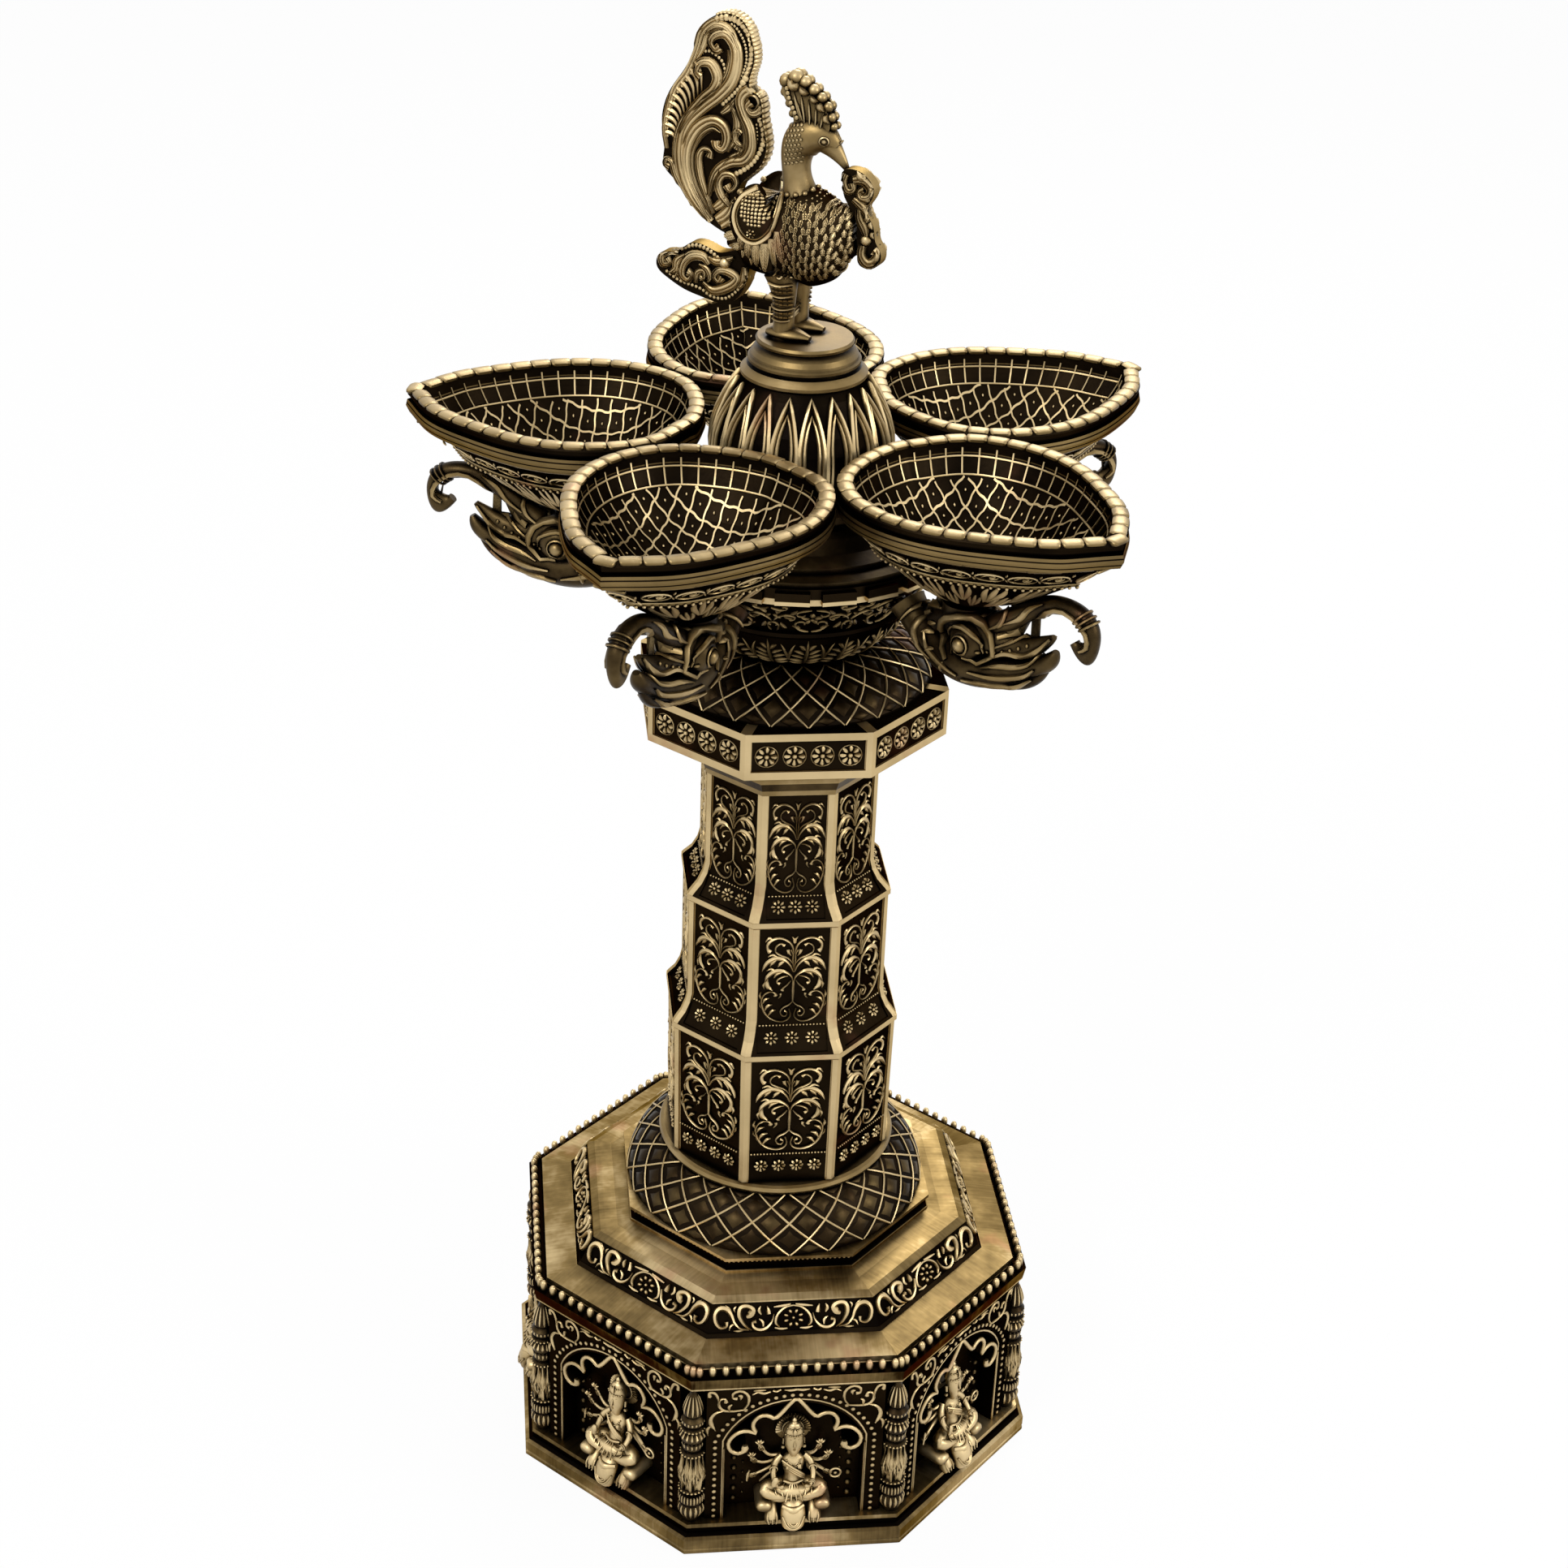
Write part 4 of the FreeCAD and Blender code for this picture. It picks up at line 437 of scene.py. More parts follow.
def row_tree():
    """A row of one casting along the object's own path, and copies of that row round the lamp's axis."""
    tree, start, end = new_tree("Row along a path", (
        ("Casting", "Object"), ("Pieces", "Int"), ("Out", "Vector"),
        ("Count", "Int"), ("First Angle", "Float"), ("Step Angle", "Float"), ("Material", "Material"),
    ))
    geometry, casting, pieces, out, count, first, step, material = start.outputs[:8]
    curve = set_node(tree, "GeometryNodeMeshToCurve", Mesh=geometry).outputs[0]
    spaced = set_node(tree, "GeometryNodeResampleCurve", {"mode": "COUNT"}, Curve=curve,
        Count=pieces).outputs[0]
    tangent = set_node(tree, "GeometryNodeInputTangent").outputs[0]
    rotation = set_node(tree, "FunctionNodeAxesToRotation", {"primary_axis": "X", "secondary_axis": "Z"},
        Primary_Axis=tangent, Secondary_Axis=out).outputs[0]
    unit = set_node(tree, "GeometryNodeObjectInfo", Object=casting)
    row = set_node(tree, "GeometryNodeInstanceOnPoints", Points=spaced, Instance=unit.outputs["Geometry"],
        Rotation=rotation).outputs[0]
    real = set_node(tree, "GeometryNodeRealizeInstances", Geometry=row).outputs[0]
    end_tree(tree, turned_copies(tree, real, count, first, step), material, end)
    return tree


COPIES = copies_tree()
ROW = row_tree()


def nodes_result(source, tree, **values):
    """The plain mesh that a tree makes of a source object."""
    modifier = source.modifiers.new(tree.name, "NODES")
    modifier.node_group = tree
    for item in tree.interface.items_tree:
        label = item.name.replace(" ", "_").lower()
        if item.in_out == "INPUT" and label in values:
            modifier[item.identifier] = values[label]
    source.update_tag()
    graph = bpy.context.evaluated_depsgraph_get()
    mesh = bpy.data.meshes.new_from_object(source.evaluated_get(graph))
    source.modifiers.remove(modifier)
    return mesh


def linked(name, mesh):
    piece = bpy.data.objects.new(name, mesh)
    bpy.context.scene.collection.objects.link(piece)
    return piece


def dropped(*helpers):
    for helper in helpers:
        bpy.data.objects.remove(helper)


def settled(piece, material, body, nodes):
    """Gives a finished piece its material and body, and hides the plain nodes that it stands for."""
    piece.data.materials.clear()
    piece.data.materials.append(material)
    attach(piece, body)
    if nodes:
        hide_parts(*nodes)
    return piece


def copies(name, casting, material, count=SIDES, first=0.0, step=None, body="stand", nodes=()):
    """A piece made of copies of one casting round the lamp's axis."""
    source = linked(f"{name}.source", casting.mesh(name))
    mesh = nodes_result(source, COPIES, count=count, first_angle=first,
        step_angle=360.0 / count if step is None else step, material=material)
    dropped(source)
    return settled(linked(name, mesh), material, body, nodes)


def row(name, path, casting, pieces, material, out=(0, 0, 1), closed=False, count=1, first=0.0, step=None,
        body="stand"):
    """A piece made of a row of one casting along a path, copied round the lamp's axis."""
    path = np.asarray(path, float) * MM
    mesh = bpy.data.meshes.new(f"{name}.path")
    edges = [(i, i + 1) for i in range(len(path) - 1)] + ([(len(path) - 1, 0)] if closed else [])
    mesh.from_pydata(path.tolist(), edges, [])
    source = linked(f"{name}.path", mesh)
    unit = linked(f"{name}.unit", casting.mesh(f"{name}.unit"))
    result = nodes_result(source, ROW, casting=unit, pieces=pieces, out=out, count=count, first_angle=first,
        step_angle=360.0 / count if step is None else step, material=material)
    dropped(source, unit)
    return settled(linked(name, result), material, body, ())


# Finishes: plain arithmetic on node sockets


class Wire:
    """A socket in a finish, for plain arithmetic on its value."""

    def __init__(self, finish, socket):
        self.finish = finish
        self.socket = socket

    def maths(self, operation, *values):
        return self.finish.node("ShaderNodeMath", {"operation": operation}, *values)

    def __rsub__(self, other):
        return self.maths("SUBTRACT", other, self)

    def ramp(self, start, end):
        """A smooth step from 0 at start to 1 at end."""
        return self.finish.node("ShaderNodeMapRange", {"interpolation_type": "SMOOTHSTEP"}, self, start,
            end, 0.0, 1.0)


def binary(operation):
    """A wire's method for an operation with another wire or number."""
    return lambda self, other: self.maths(operation, self, other)


for method, operation in (
    ("__add__", "ADD"), ("__radd__", "ADD"), ("__mul__", "MULTIPLY"), ("__rmul__", "MULTIPLY"),
    ("__sub__", "SUBTRACT"), ("__truediv__", "DIVIDE"), ("__pow__", "POWER"), ("most", "MAXIMUM"),
):
    setattr(Wire, method, binary(operation))


class Finish:
    """A material built from a few shader nodes."""

    def __init__(self, name):
        self.material = bpy.data.materials.new(name)
        self.material.use_nodes = True
        self.tree = self.material.node_tree
        self.shader = self.tree.nodes["Principled BSDF"]

    def node(self, kind, settings=None, *values, output=0, **named):
        """One node: its settings first, then values or wires for its sockets, by order or by name."""
        node = self.tree.nodes.new(kind)
        for setting, value in (settings or {}).items():
            if setting == "stops":
                self.set_stops(node.color_ramp, value)
            else:
                setattr(node, setting, value)
        sockets = [socket for socket in node.inputs if socket.enabled]
        chosen = list(zip(sockets, values)) + [(node.inputs[label], value) for label, value in named.items()]
        for socket, value in chosen:
            self.join(value, socket)
        outputs = [socket for socket in node.outputs if socket.enabled]
        return Wire(self, node.outputs[output] if isinstance(output, str) else outputs[output])

    def set_stops(self, ramp, stops):
        while len(ramp.elements) < len(stops):
            ramp.elements.new(0.5)
        for element, (place, colour) in zip(ramp.elements, stops):
            element.position = place
            element.color = (*colour, 1.0)

    def join(self, value, socket):
        if isinstance(value, Wire):
            self.tree.links.new(value.socket, socket)
        elif value is not None:
            socket.default_value = (*value, 1.0) if socket.type == "RGBA" else value

    def set(self, **named):
        for label, value in named.items():
            self.join(value, self.shader.inputs[label.replace("_", " ")])
        return self.material

    def place(self):
        return self.node("ShaderNodeTexCoord", output="Object")

    def noise(self, place, scale, detail=2.0, roughness=0.5):
        return self.node("ShaderNodeTexNoise", None, Vector=place, Scale=scale, Detail=detail,
            Roughness=roughness)

    def mixed(self, share, first, second):
        return self.node("ShaderNodeMix", {"data_type": "RGBA"}, share, first, second)

    def parts(self, place):
        node = self.tree.nodes.new("ShaderNodeSeparateXYZ")
        self.tree.links.new(place.socket, node.inputs[0])
        return [Wire(self, socket) for socket in node.outputs]


# The darkest stop is both the blackened patina and the painted shade that ambient occlusion brings into
# crevices.
SOOT_AND_SHADE = (0.0035, 0.0024, 0.0017)
UMBER = (0.026, 0.016, 0.007)
BRASS = (0.25, 0.172, 0.070)
GOLD = (0.76, 0.59, 0.325)
COPPER = (0.34, 0.13, 0.075)
# How far ambient occlusion looks for the painted crevice shade.
CREVICE_SHADE_REACH = 3.0 * MM


def worn_and_shaded(finish, wear_and_shade, place):
    """The colour of the patina and of painted shade, for a value of 0 to 1 that sums wear and painted crevice
    shade, with coppery spots where the brass is rubbed.
    """
    colour = finish.node("ShaderNodeValToRGB", {"stops": (
        (0.0, SOOT_AND_SHADE), (0.30, UMBER), (0.62, BRASS), (1.0, GOLD),
    )}, wear_and_shade)
    spots = finish.noise(place, 34.0, 3.0).ramp(0.62, 0.72) * 0.45
    return finish.mixed(spots * wear_and_shade, colour, COPPER)


# Ambient occlusion, 0 deep in a crevice and 1 in the open. The finishes add it to their base colour, which
# paints shade into crevices and grooves.
def crevice_shade(finish):
    return finish.node("ShaderNodeAmbientOcclusion", {"samples": 4}, Distance=CREVICE_SHADE_REACH, output="AO")


def cast_bump(finish, place, strength=0.25, scale=700.0):
    grain = finish.noise(place, scale, 3.0, 0.6)
    return finish.node("ShaderNodeBump", None, Strength=strength, Distance=0.3 * MM, Height=grain)


def carved_brass(name, lift=0.0):
    """Raised work: gold on the crests, where the brass is rubbed, with painted shade in the crevices from
    ambient occlusion.
    """
    finish = Finish(name)
    place = finish.place()
    crest = finish.node("ShaderNodeAttribute", {"attribute_name": "crest"}, output="Fac")
    cloud = finish.noise(place, 60.0, 3.0)
    wear_and_shade = crest * 0.55 + crevice_shade(finish) * 0.75 + cloud * 0.5 - (0.62 - lift)
    return finish.set(
        Base_Color=worn_and_shaded(finish, wear_and_shade, place), Metallic=1.0, Roughness=0.30 + 0.25 * cloud,
        Normal=cast_bump(finish, place),
    )


def ground_brass(name, gilt=None, lift=0.0, metal=1.0):
    """Blackened ground, with gilt edges where the mask is 1, a little darker where ambient occlusion paints
    shade into crevices. Less metal gives the soot a grey gloss.
    """
    finish = Finish(name)
    place = finish.place()
    cloud = finish.noise(place, 45.0, 4.0)
    open_ground = crevice_shade(finish)
    wear_and_shade = cloud * 0.3 + open_ground * 0.1 - (0.15 - lift)
    if gilt:
        mask = gilt(finish, place)
        wear_and_shade = wear_and_shade + mask * (0.66 + open_ground * 0.1)
    return finish.set(
        Base_Color=worn_and_shaded(finish, wear_and_shade, place), Metallic=metal, Roughness=0.34 + 0.2 * cloud,
        Specular_Tint=(0.3, 0.22, 0.15),
        Normal=cast_bump(finish, place, 0.35, 500.0),
    )


def folded(finish, place):
    """Octagon coordinates of a point: its distance out to the flat, and along the flat from its middle."""
    x, y, z = finish.parts(place)
    angle = x.maths("ARCTAN2", x, 0.0 - y)
    face = angle.maths("ROUND", angle / (2 * HALF_FACE)) * (2 * HALF_FACE)
    turn = angle - face
    radius = (x * x + y * y) ** 0.5
    out = radius * turn.maths("COSINE", turn)
    along = radius * turn.maths("SINE", turn)
    return out, along, z


RIB_HALF = 2.35


def within(measure, foot, full, ebb, top):
    """A mask that rises from foot to full and falls again from ebb to top, in millimetres."""
    return measure.ramp(foot * MM, full * MM) * (1.0 - measure.ramp(ebb * MM, top * MM))


def ribs_and_bands(*bands):
    """A mask for the corner ribs and for bands between pairs of heights."""
    def mask(finish, place):
        out, along, z = folded(finish, place)
        from_middle = along.maths("ABSOLUTE", along)
        from_corner = out * math.tan(HALF_FACE) - from_middle
        gilt = 1.0 - from_corner.ramp((RIB_HALF - 0.1) * MM, (RIB_HALF + 0.1) * MM)
        for bottom, top in bands:
            gilt = gilt.most(within(z, bottom - 0.1, bottom + 0.1, top - 0.05, top + 0.2))
        return gilt
    return mask


def brushed_brass(name, channel=None, fascia=None):
    """Brushed plates, with streaks across each side, dark stains and painted shade in crevices. A channel is
    darkened between two heights outside a distance from the axis, and a fascia gets painted shade above a
    painted highlight along its foot's edge."""
    finish = Finish(name)
    place = finish.place()
    out, along, z = folded(finish, place)
    streaked = finish.node("ShaderNodeCombineXYZ", None, along * 900.0, out * 45.0, z * 45.0)
    streaks = finish.noise(streaked, 1.0, 2.0)
    stains = finish.noise(place, 16.0, 5.0, 0.65)
    cloud = stains.ramp(0.34, 0.66)
    wear_and_shade = 0.17 + streaks * 0.2 + cloud * 0.44 + crevice_shade(finish) * 0.16
    if channel:
        foot, top, flat = channel
        inside = within(z, foot - 0.05, foot + 0.05, top - 0.1, top)
        wear_and_shade = wear_and_shade - inside * out.ramp((flat - 0.1) * MM, (flat + 0.1) * MM) * 0.9
    if fascia:
        foot, top = fascia
        # Painted highlight along the fascia's lower edge, and painted shade over the fascia above it.
        edge = 1.0 - z.ramp((foot + 0.7) * MM, (foot + 1.0) * MM)
        wear_and_shade = wear_and_shade - (1.0 - z.ramp((top - 0.4) * MM, top * MM)) * 0.32 + edge * 0.5
    bump = finish.node("ShaderNodeBump", None, Strength=0.12, Distance=0.2 * MM, Height=streaks)
    return finish.set(
        Base_Color=worn_and_shaded(finish, wear_and_shade, place), Metallic=1.0, Roughness=0.26 + 0.24 * stains, Normal=bump,
        Specular_Tint=(0.5, 0.38, 0.26),
    )


def plain_brass(name, lift=0.0, rough=0.32):
    """Smooth turned brass, darker in its grooves where ambient occlusion paints shade."""
    finish = Finish(name)
    place = finish.place()
    cloud = finish.noise(place, 40.0, 4.0, 0.6)
    wear_and_shade = crevice_shade(finish) ** 2.0 * 0.75 + cloud * 0.45 - (0.36 - lift)
    return finish.set(
        Base_Color=worn_and_shaded(finish, wear_and_shade, place), Metallic=1.0, Roughness=rough + 0.2 * cloud,
        Normal=cast_bump(finish, place, 0.2),
    )


CARVED = carved_brass("carved brass")
CARVED_DARK = carved_brass("carved brass in shade", -0.22)
CARVED_FAINT = carved_brass("carved brass in the dark", -0.42)
BLACKENED = ground_brass("blackened ground")
BRUSHED = brushed_brass("brushed brass")
# The cornice's fascia gets painted shade, with a painted highlight along its lower edge.
CORNICE = brushed_brass("brushed cornice", (91.0, 97.2, 99.8), (84.8, 91.2))
DOME_EDGE = brushed_brass("brushed edge", (113.0, 117.7, 0.0))
FINIAL = plain_brass("finial brass", -0.1)
SMOOTH = plain_brass("smooth brass")
SMOOTH_DARK = plain_brass("smooth dark brass", -0.28)
FASTENER = plain_brass("fastener brass", 0.1, 0.25)
SOOTY = ground_brass("sooty ground", lift=-0.06)
DOME_GROUND = ground_brass("dome ground", lift=0.0, metal=0.85)
FEATHERED = ground_brass("feathered ground", lift=0.14)
PLUMAGE = carved_brass("plumage brass", 0.12)
PLINTH = brushed_brass("brushed plinth", (9.0, 12.6, 0.0))
FIGURE = carved_brass("figure brass", 0.04)
ROPE = carved_brass("rope brass", -0.10)


def coat(material, *names):
    for name in names:
        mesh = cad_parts[name].data
        mesh.materials.clear()
        mesh.materials.append(material)


def numbered(name, count):
    return [f"{name}_{i + 1}" for i in range(count)]


# Camera and light, as they stood for the picture


CAMERA_REACH = 926.8
CAMERA_HEIGHT = 819.2
CAMERA_TURN = 7.17
CAMERA_PITCH = 28.924
CAMERA_YAW = -0.107
CAMERA_ROLL = 2.124
FOCAL_SHARE = 3261.3 / 1932
SENSOR = 36.0
LAMP_TARGET = Vector((0, 0, 0.3))
WORLD_FILL = 0.55


def set_camera():
    pitch, yaw, roll = (math.radians(a) for a in (CAMERA_PITCH, CAMERA_YAW, CAMERA_ROLL))
    forward = Vector((math.sin(yaw) * math.cos(pitch), math.cos(yaw) * math.cos(pitch), -math.sin(pitch)))
    right = Vector((math.cos(yaw), -math.sin(yaw), 0.0))
    up = right.cross(forward)
    side = right * math.cos(roll) + up * math.sin(roll)
    top = up * math.cos(roll) - right * math.sin(roll)
    turn = Matrix.Rotation(-math.radians(CAMERA_TURN), 4, "Z")
    axes = Matrix((side, top, -forward)).transposed().to_4x4()
    place = Matrix.Translation(Vector((0.0, -CAMERA_REACH, CAMERA_HEIGHT)) * MM)
    camera = bpy.data.objects.new("camera", bpy.data.cameras.new("camera"))
    camera.data.sensor_width = SENSOR
    camera.data.lens = FOCAL_SHARE * SENSOR
    camera.data.clip_start = 0.01
    camera.data.clip_end = 50.0
    camera.matrix_world = turn @ place @ axes
    bpy.context.scene.collection.objects.link(camera)
    bpy.context.scene.camera = camera


def add_lamp(name, place, energy, width):
    light = bpy.data.lights.new(name, "AREA")
    light.energy = energy
    light.size = width
    lamp = bpy.data.objects.new(name, light)
    lamp.location = place
    lamp.rotation_euler = (LAMP_TARGET - Vector(place)).to_track_quat("-Z", "Y").to_euler()
    bpy.context.scene.collection.objects.link(lamp)




def set_stage():
    world = bpy.data.worlds.new("studio")
    bpy.context.scene.world = world
    world.use_nodes = True
    tree = world.node_tree
    tree.nodes.clear()
    rays = set_node(tree, "ShaderNodeLightPath").outputs
    full = rays["Is Camera Ray"]
    for ray in ("Is Transmission Ray", "Is Glossy Ray"):
        either = set_node(tree, "ShaderNodeMath", {"operation": "MAXIMUM"})
        tree.links.new(full, either.inputs[0])
        tree.links.new(rays[ray], either.inputs[1])
        full = either.outputs[0]
    strength = set_node(tree, "ShaderNodeMix", Factor=full, A=WORLD_FILL, B=1.0).outputs[0]
    background = set_node(tree, "ShaderNodeBackground", Color=(1, 1, 1, 1), Strength=strength).outputs[0]
    set_node(tree, "ShaderNodeOutputWorld", Surface=background)
    bpy.ops.mesh.primitive_plane_add(size=12.0)
    floor = bpy.context.object
    floor.name = "floor"
    finish = Finish("floor")
    white = finish.set(Base_Color=(0.9, 0.9, 0.9), Roughness=0.9)
    glow = finish.node("ShaderNodeEmission", None, (1.0, 1.0, 1.0), 1.0)
    ray = finish.tree.nodes.new("ShaderNodeLightPath")
    share = Wire(finish, ray.outputs["Is Camera Ray"]) * 0.95
    shader = finish.node("ShaderNodeMixShader", None, share)
    mix = shader.socket.node
    finish.tree.links.new(finish.shader.outputs[0], mix.inputs[1])
    finish.tree.links.new(glow.socket, mix.inputs[2])
    finish.tree.links.new(mix.outputs[0], finish.tree.nodes["Material Output"].inputs[0])
    floor.data.materials.append(white)
    add_lamp("key lamp", (-1.3, -1.5, 2.2), 30.0, 0.9)
    add_lamp("side lamp", (1.6, -0.9, 1.2), 14.0, 0.7)
    add_lamp("back lamp", (0.5, 1.6, 1.7), 14.0, 0.8)
    bpy.context.scene.view_settings.view_transform = "Standard"


# Base: niche frames, beads, frieze and the lower lattice dome


DRUM_FLAT = flat_radius("base_drum")
NICHE_DEPTH = 8.0
RIDGE_HALF = 29.7
SPRING = 57.0
RIDGE_APEX = 77.5
PEARL_HALF = 33.0
PEARL_APEX = 80.2
PEARLS = 50
STUD_HEIGHTS = np.arange(18.0, 48.0, 5.6)


def arch_path(half, foot, spring, apex, steps=16):
    """Up one side, over a round arch and down the other."""
    rise = apex - spring
    radius = (half ** 2 + rise ** 2) / (2 * rise)
    reach = math.asin(half / radius) if rise <= half else math.pi - math.asin(half / radius)
    centre = apex - radius
    turns = np.linspace(-reach, reach, steps)
    arch = np.column_stack([radius * np.sin(turns), centre + radius * np.cos(turns)])
    return np.vstack([[-half, foot], arch, [half, foot]])


# Half of the foil arch: (across, height) from its apex down to the curled end
FOIL_HALF = (
    (0, 78), (3.2, 74.6), (6, 70.6), (8.7, 68), (11.6, 69.6), (14.8, 69.4), (17.2, 66.6), (17.4, 63.4),
    (16.2, 60.4), (19, 61.6), (22.6, 61.5), (25.8, 59.2), (27.6, 55.6), (26.6, 51.6), (23.4, 49.8),
     (20.8, 51.2),
    (20.6, 53.8),
)


def niche_frame():
    frame_work = Casting()
    up_front = on_front(DRUM_FLAT, 0.0)
    foot = high("plinth_foot").z
    frame_work.join(strand(arch_path(RIDGE_HALF, foot, SPRING, RIDGE_APEX, 20), 0.42, 0.35).placed(up_front))
    for across in (0.4 - RIDGE_HALF, RIDGE_HALF - 0.4):
        frame_work.join(strand([(across, foot), (across, SPRING - 4)], 0.5, 0.8).placed(up_front))
    half = np.array(FOIL_HALF)
    foil = np.vstack([half[::-1] * (-1, 1), half[1:]])
    foil = smooth(foil, 66)
    ends = np.ones(len(foil))
    ends[[0, 1, 2, -3, -2, -1]] = (1.2, 1.7, 1.5, 1.5, 1.7, 1.2)
    frame_work.join(strand(foil, 0.95 * ends, 0.95, 8).placed(on_front(DRUM_FLAT + 0.1, 0.0)))
    web = strand(foil, 0.7, 4.1, 6).placed(on_front(DRUM_FLAT - 4.0, 0.0))
    return frame_work, web


def spandrel_vine():
    """Vine in the corner right of the arch, flat on the drum."""
    vine = Casting()
    for points, widths in (
        (((21.6, 73.4), (19.7, 76.6), (19.9, 80.8), (22.8, 83.4), (25.9, 82.4), (26.2, 79.9), (24.4, 79.4)),
         (0.5, 0.6, 0.7, 0.7, 0.7, 0.6, 1)),
        (((21.6, 73.4), (26.1, 72.9), (29.9, 73.5), (31.8, 76.2), (31.3, 79.2), (29.4, 79.6), (28.9, 77.6)),
         (0.4, 0.6, 0.7, 0.7, 0.6, 0.6, 1)),
        (((31.9, 76.4), (32.2, 79.8), (33.6, 82.8), (35.7, 83.2), (35.6, 81)), (0.5, 0.6, 0.7, 0.7, 0.9)),
        (((29.9, 73.5), (33.2, 72), (35, 69), (34.6, 65.8), (33, 63)), (0.4, 0.7, 0.9, 1, 0.3)),
        (((34.6, 66), (36.4, 63.4), (36, 60.4)), (0.4, 0.8, 0.3)),
        (((27.4, 73), (27.6, 75.2), (26.4, 76.6)), (0.4, 0.7, 0.4)),
        (((23, 79), (22.8, 80.6), (24, 81.2)), (0.4, 0.8, 0.4)),
        (((10.8, 82.6), (13.4, 81.6), (16, 82.4), (18.2, 81.4)), (0.3, 0.7, 0.6, 0.3)),
        (((12.8, 83.6), (15, 83.4), (17.8, 83.4)), (0.3, 0.6, 0.3)),
        (((0, 83), (2.6, 82.6), (5.2, 83.2)), (0.6, 0.7, 0.3)), (((6.6, 83.4), (8.4, 82.4), (10, 83)), 0.5),
    ):
        vine.limb(points, widths, 0.85, 14, 6)
    return vine


def dress_drum():
    frame_work, web = niche_frame()
    copies("niche_frames", frame_work, CARVED)
    copies("niche_webs", web, SOOTY)
    copies("spandrel_vines", spandrel_vine().mirrored().placed(on_front(DRUM_FLAT, 0.0)), CARVED)
    pearls = arch_path(PEARL_HALF, high("plinth_foot").z + 1.5, SPRING, PEARL_APEX, 24)
    path = on_front(DRUM_FLAT, 0.0)(pearls[:, 0], pearls[:, 1], np.zeros(len(pearls)))
    row("niche_pearls", path, bead(1.05, 1.1, 8), PEARLS, CARVED, out=(0, -1, 0), count=SIDES)
    studs = Casting()
    for height in STUD_HEIGHTS:
        for side in (-1, 1):
            studs.join(bead(1.5, 1.3, 8, rings=3).moved(side * 24.2, height))
            studs.join(bead(0.7, 0.8).moved(side * 20.4, height + 2.8))
    copies("niche_studs", studs.placed(on_front(DRUM_FLAT - NICHE_DEPTH, 0.0)), CARVED_FAINT)
    coat(BLACKENED, "base_drum")
    coat(PLINTH, "plinth_foot")


CORNICE_BEAD_REACH = 111.2
CORNICE_BEADS = 16
DENTILS = 27


def dress_cornice():
    """Tall beads in the cornice's channel, and a row of small ones round the dome's plinth."""
    radius = CORNICE_BEAD_REACH
    height = high("base_drum").z + 6.4
    side = radius * math.sin(HALF_FACE)
    flat = radius * math.cos(HALF_FACE)
    path = [(-side + 2.6, -flat, height), (side - 2.6, -flat, height)]
    tall = turned([(0, 0), (1.45, 0), (1.5, 2.6), (1.4, 3.6), (1.05, 4.4), (0.5, 4.8), (0, 4.9)], 9,
        [0.0, 0.0, 0.8, 1.0, 1.0, 1.0, 1.0])
    row("cornice_beads", path, tall, CORNICE_BEADS, CARVED, out=(0, -0.12, 1), count=SIDES)
    corner = tall.placed(lambda x, y, z: np.column_stack([x, y - flat / math.cos(HALF_FACE) + 0.4,
        z + height]))
    copies("cornice_corner_beads", corner, CARVED, first=FACE_TURN / 2)
    coat(CORNICE, "base_cornice")
    coat(BRUSHED, "stepped_slab")
    slab = high("stepped_slab").z
    coat(DOME_EDGE, "dome_plinth")
    neck_flat = flat_radius("dome_plinth") - 1.85
    half = (flat_radius("dome_plinth") - 1.0) * math.tan(HALF_FACE) - 1.2
    row("dome_plinth_dentils", [(-half, -neck_flat, slab + 4.6), (half, -neck_flat, slab + 4.6)],
        bead(0.75, 0.85), DENTILS, CARVED, out=(0, -1, 0), count=SIDES)


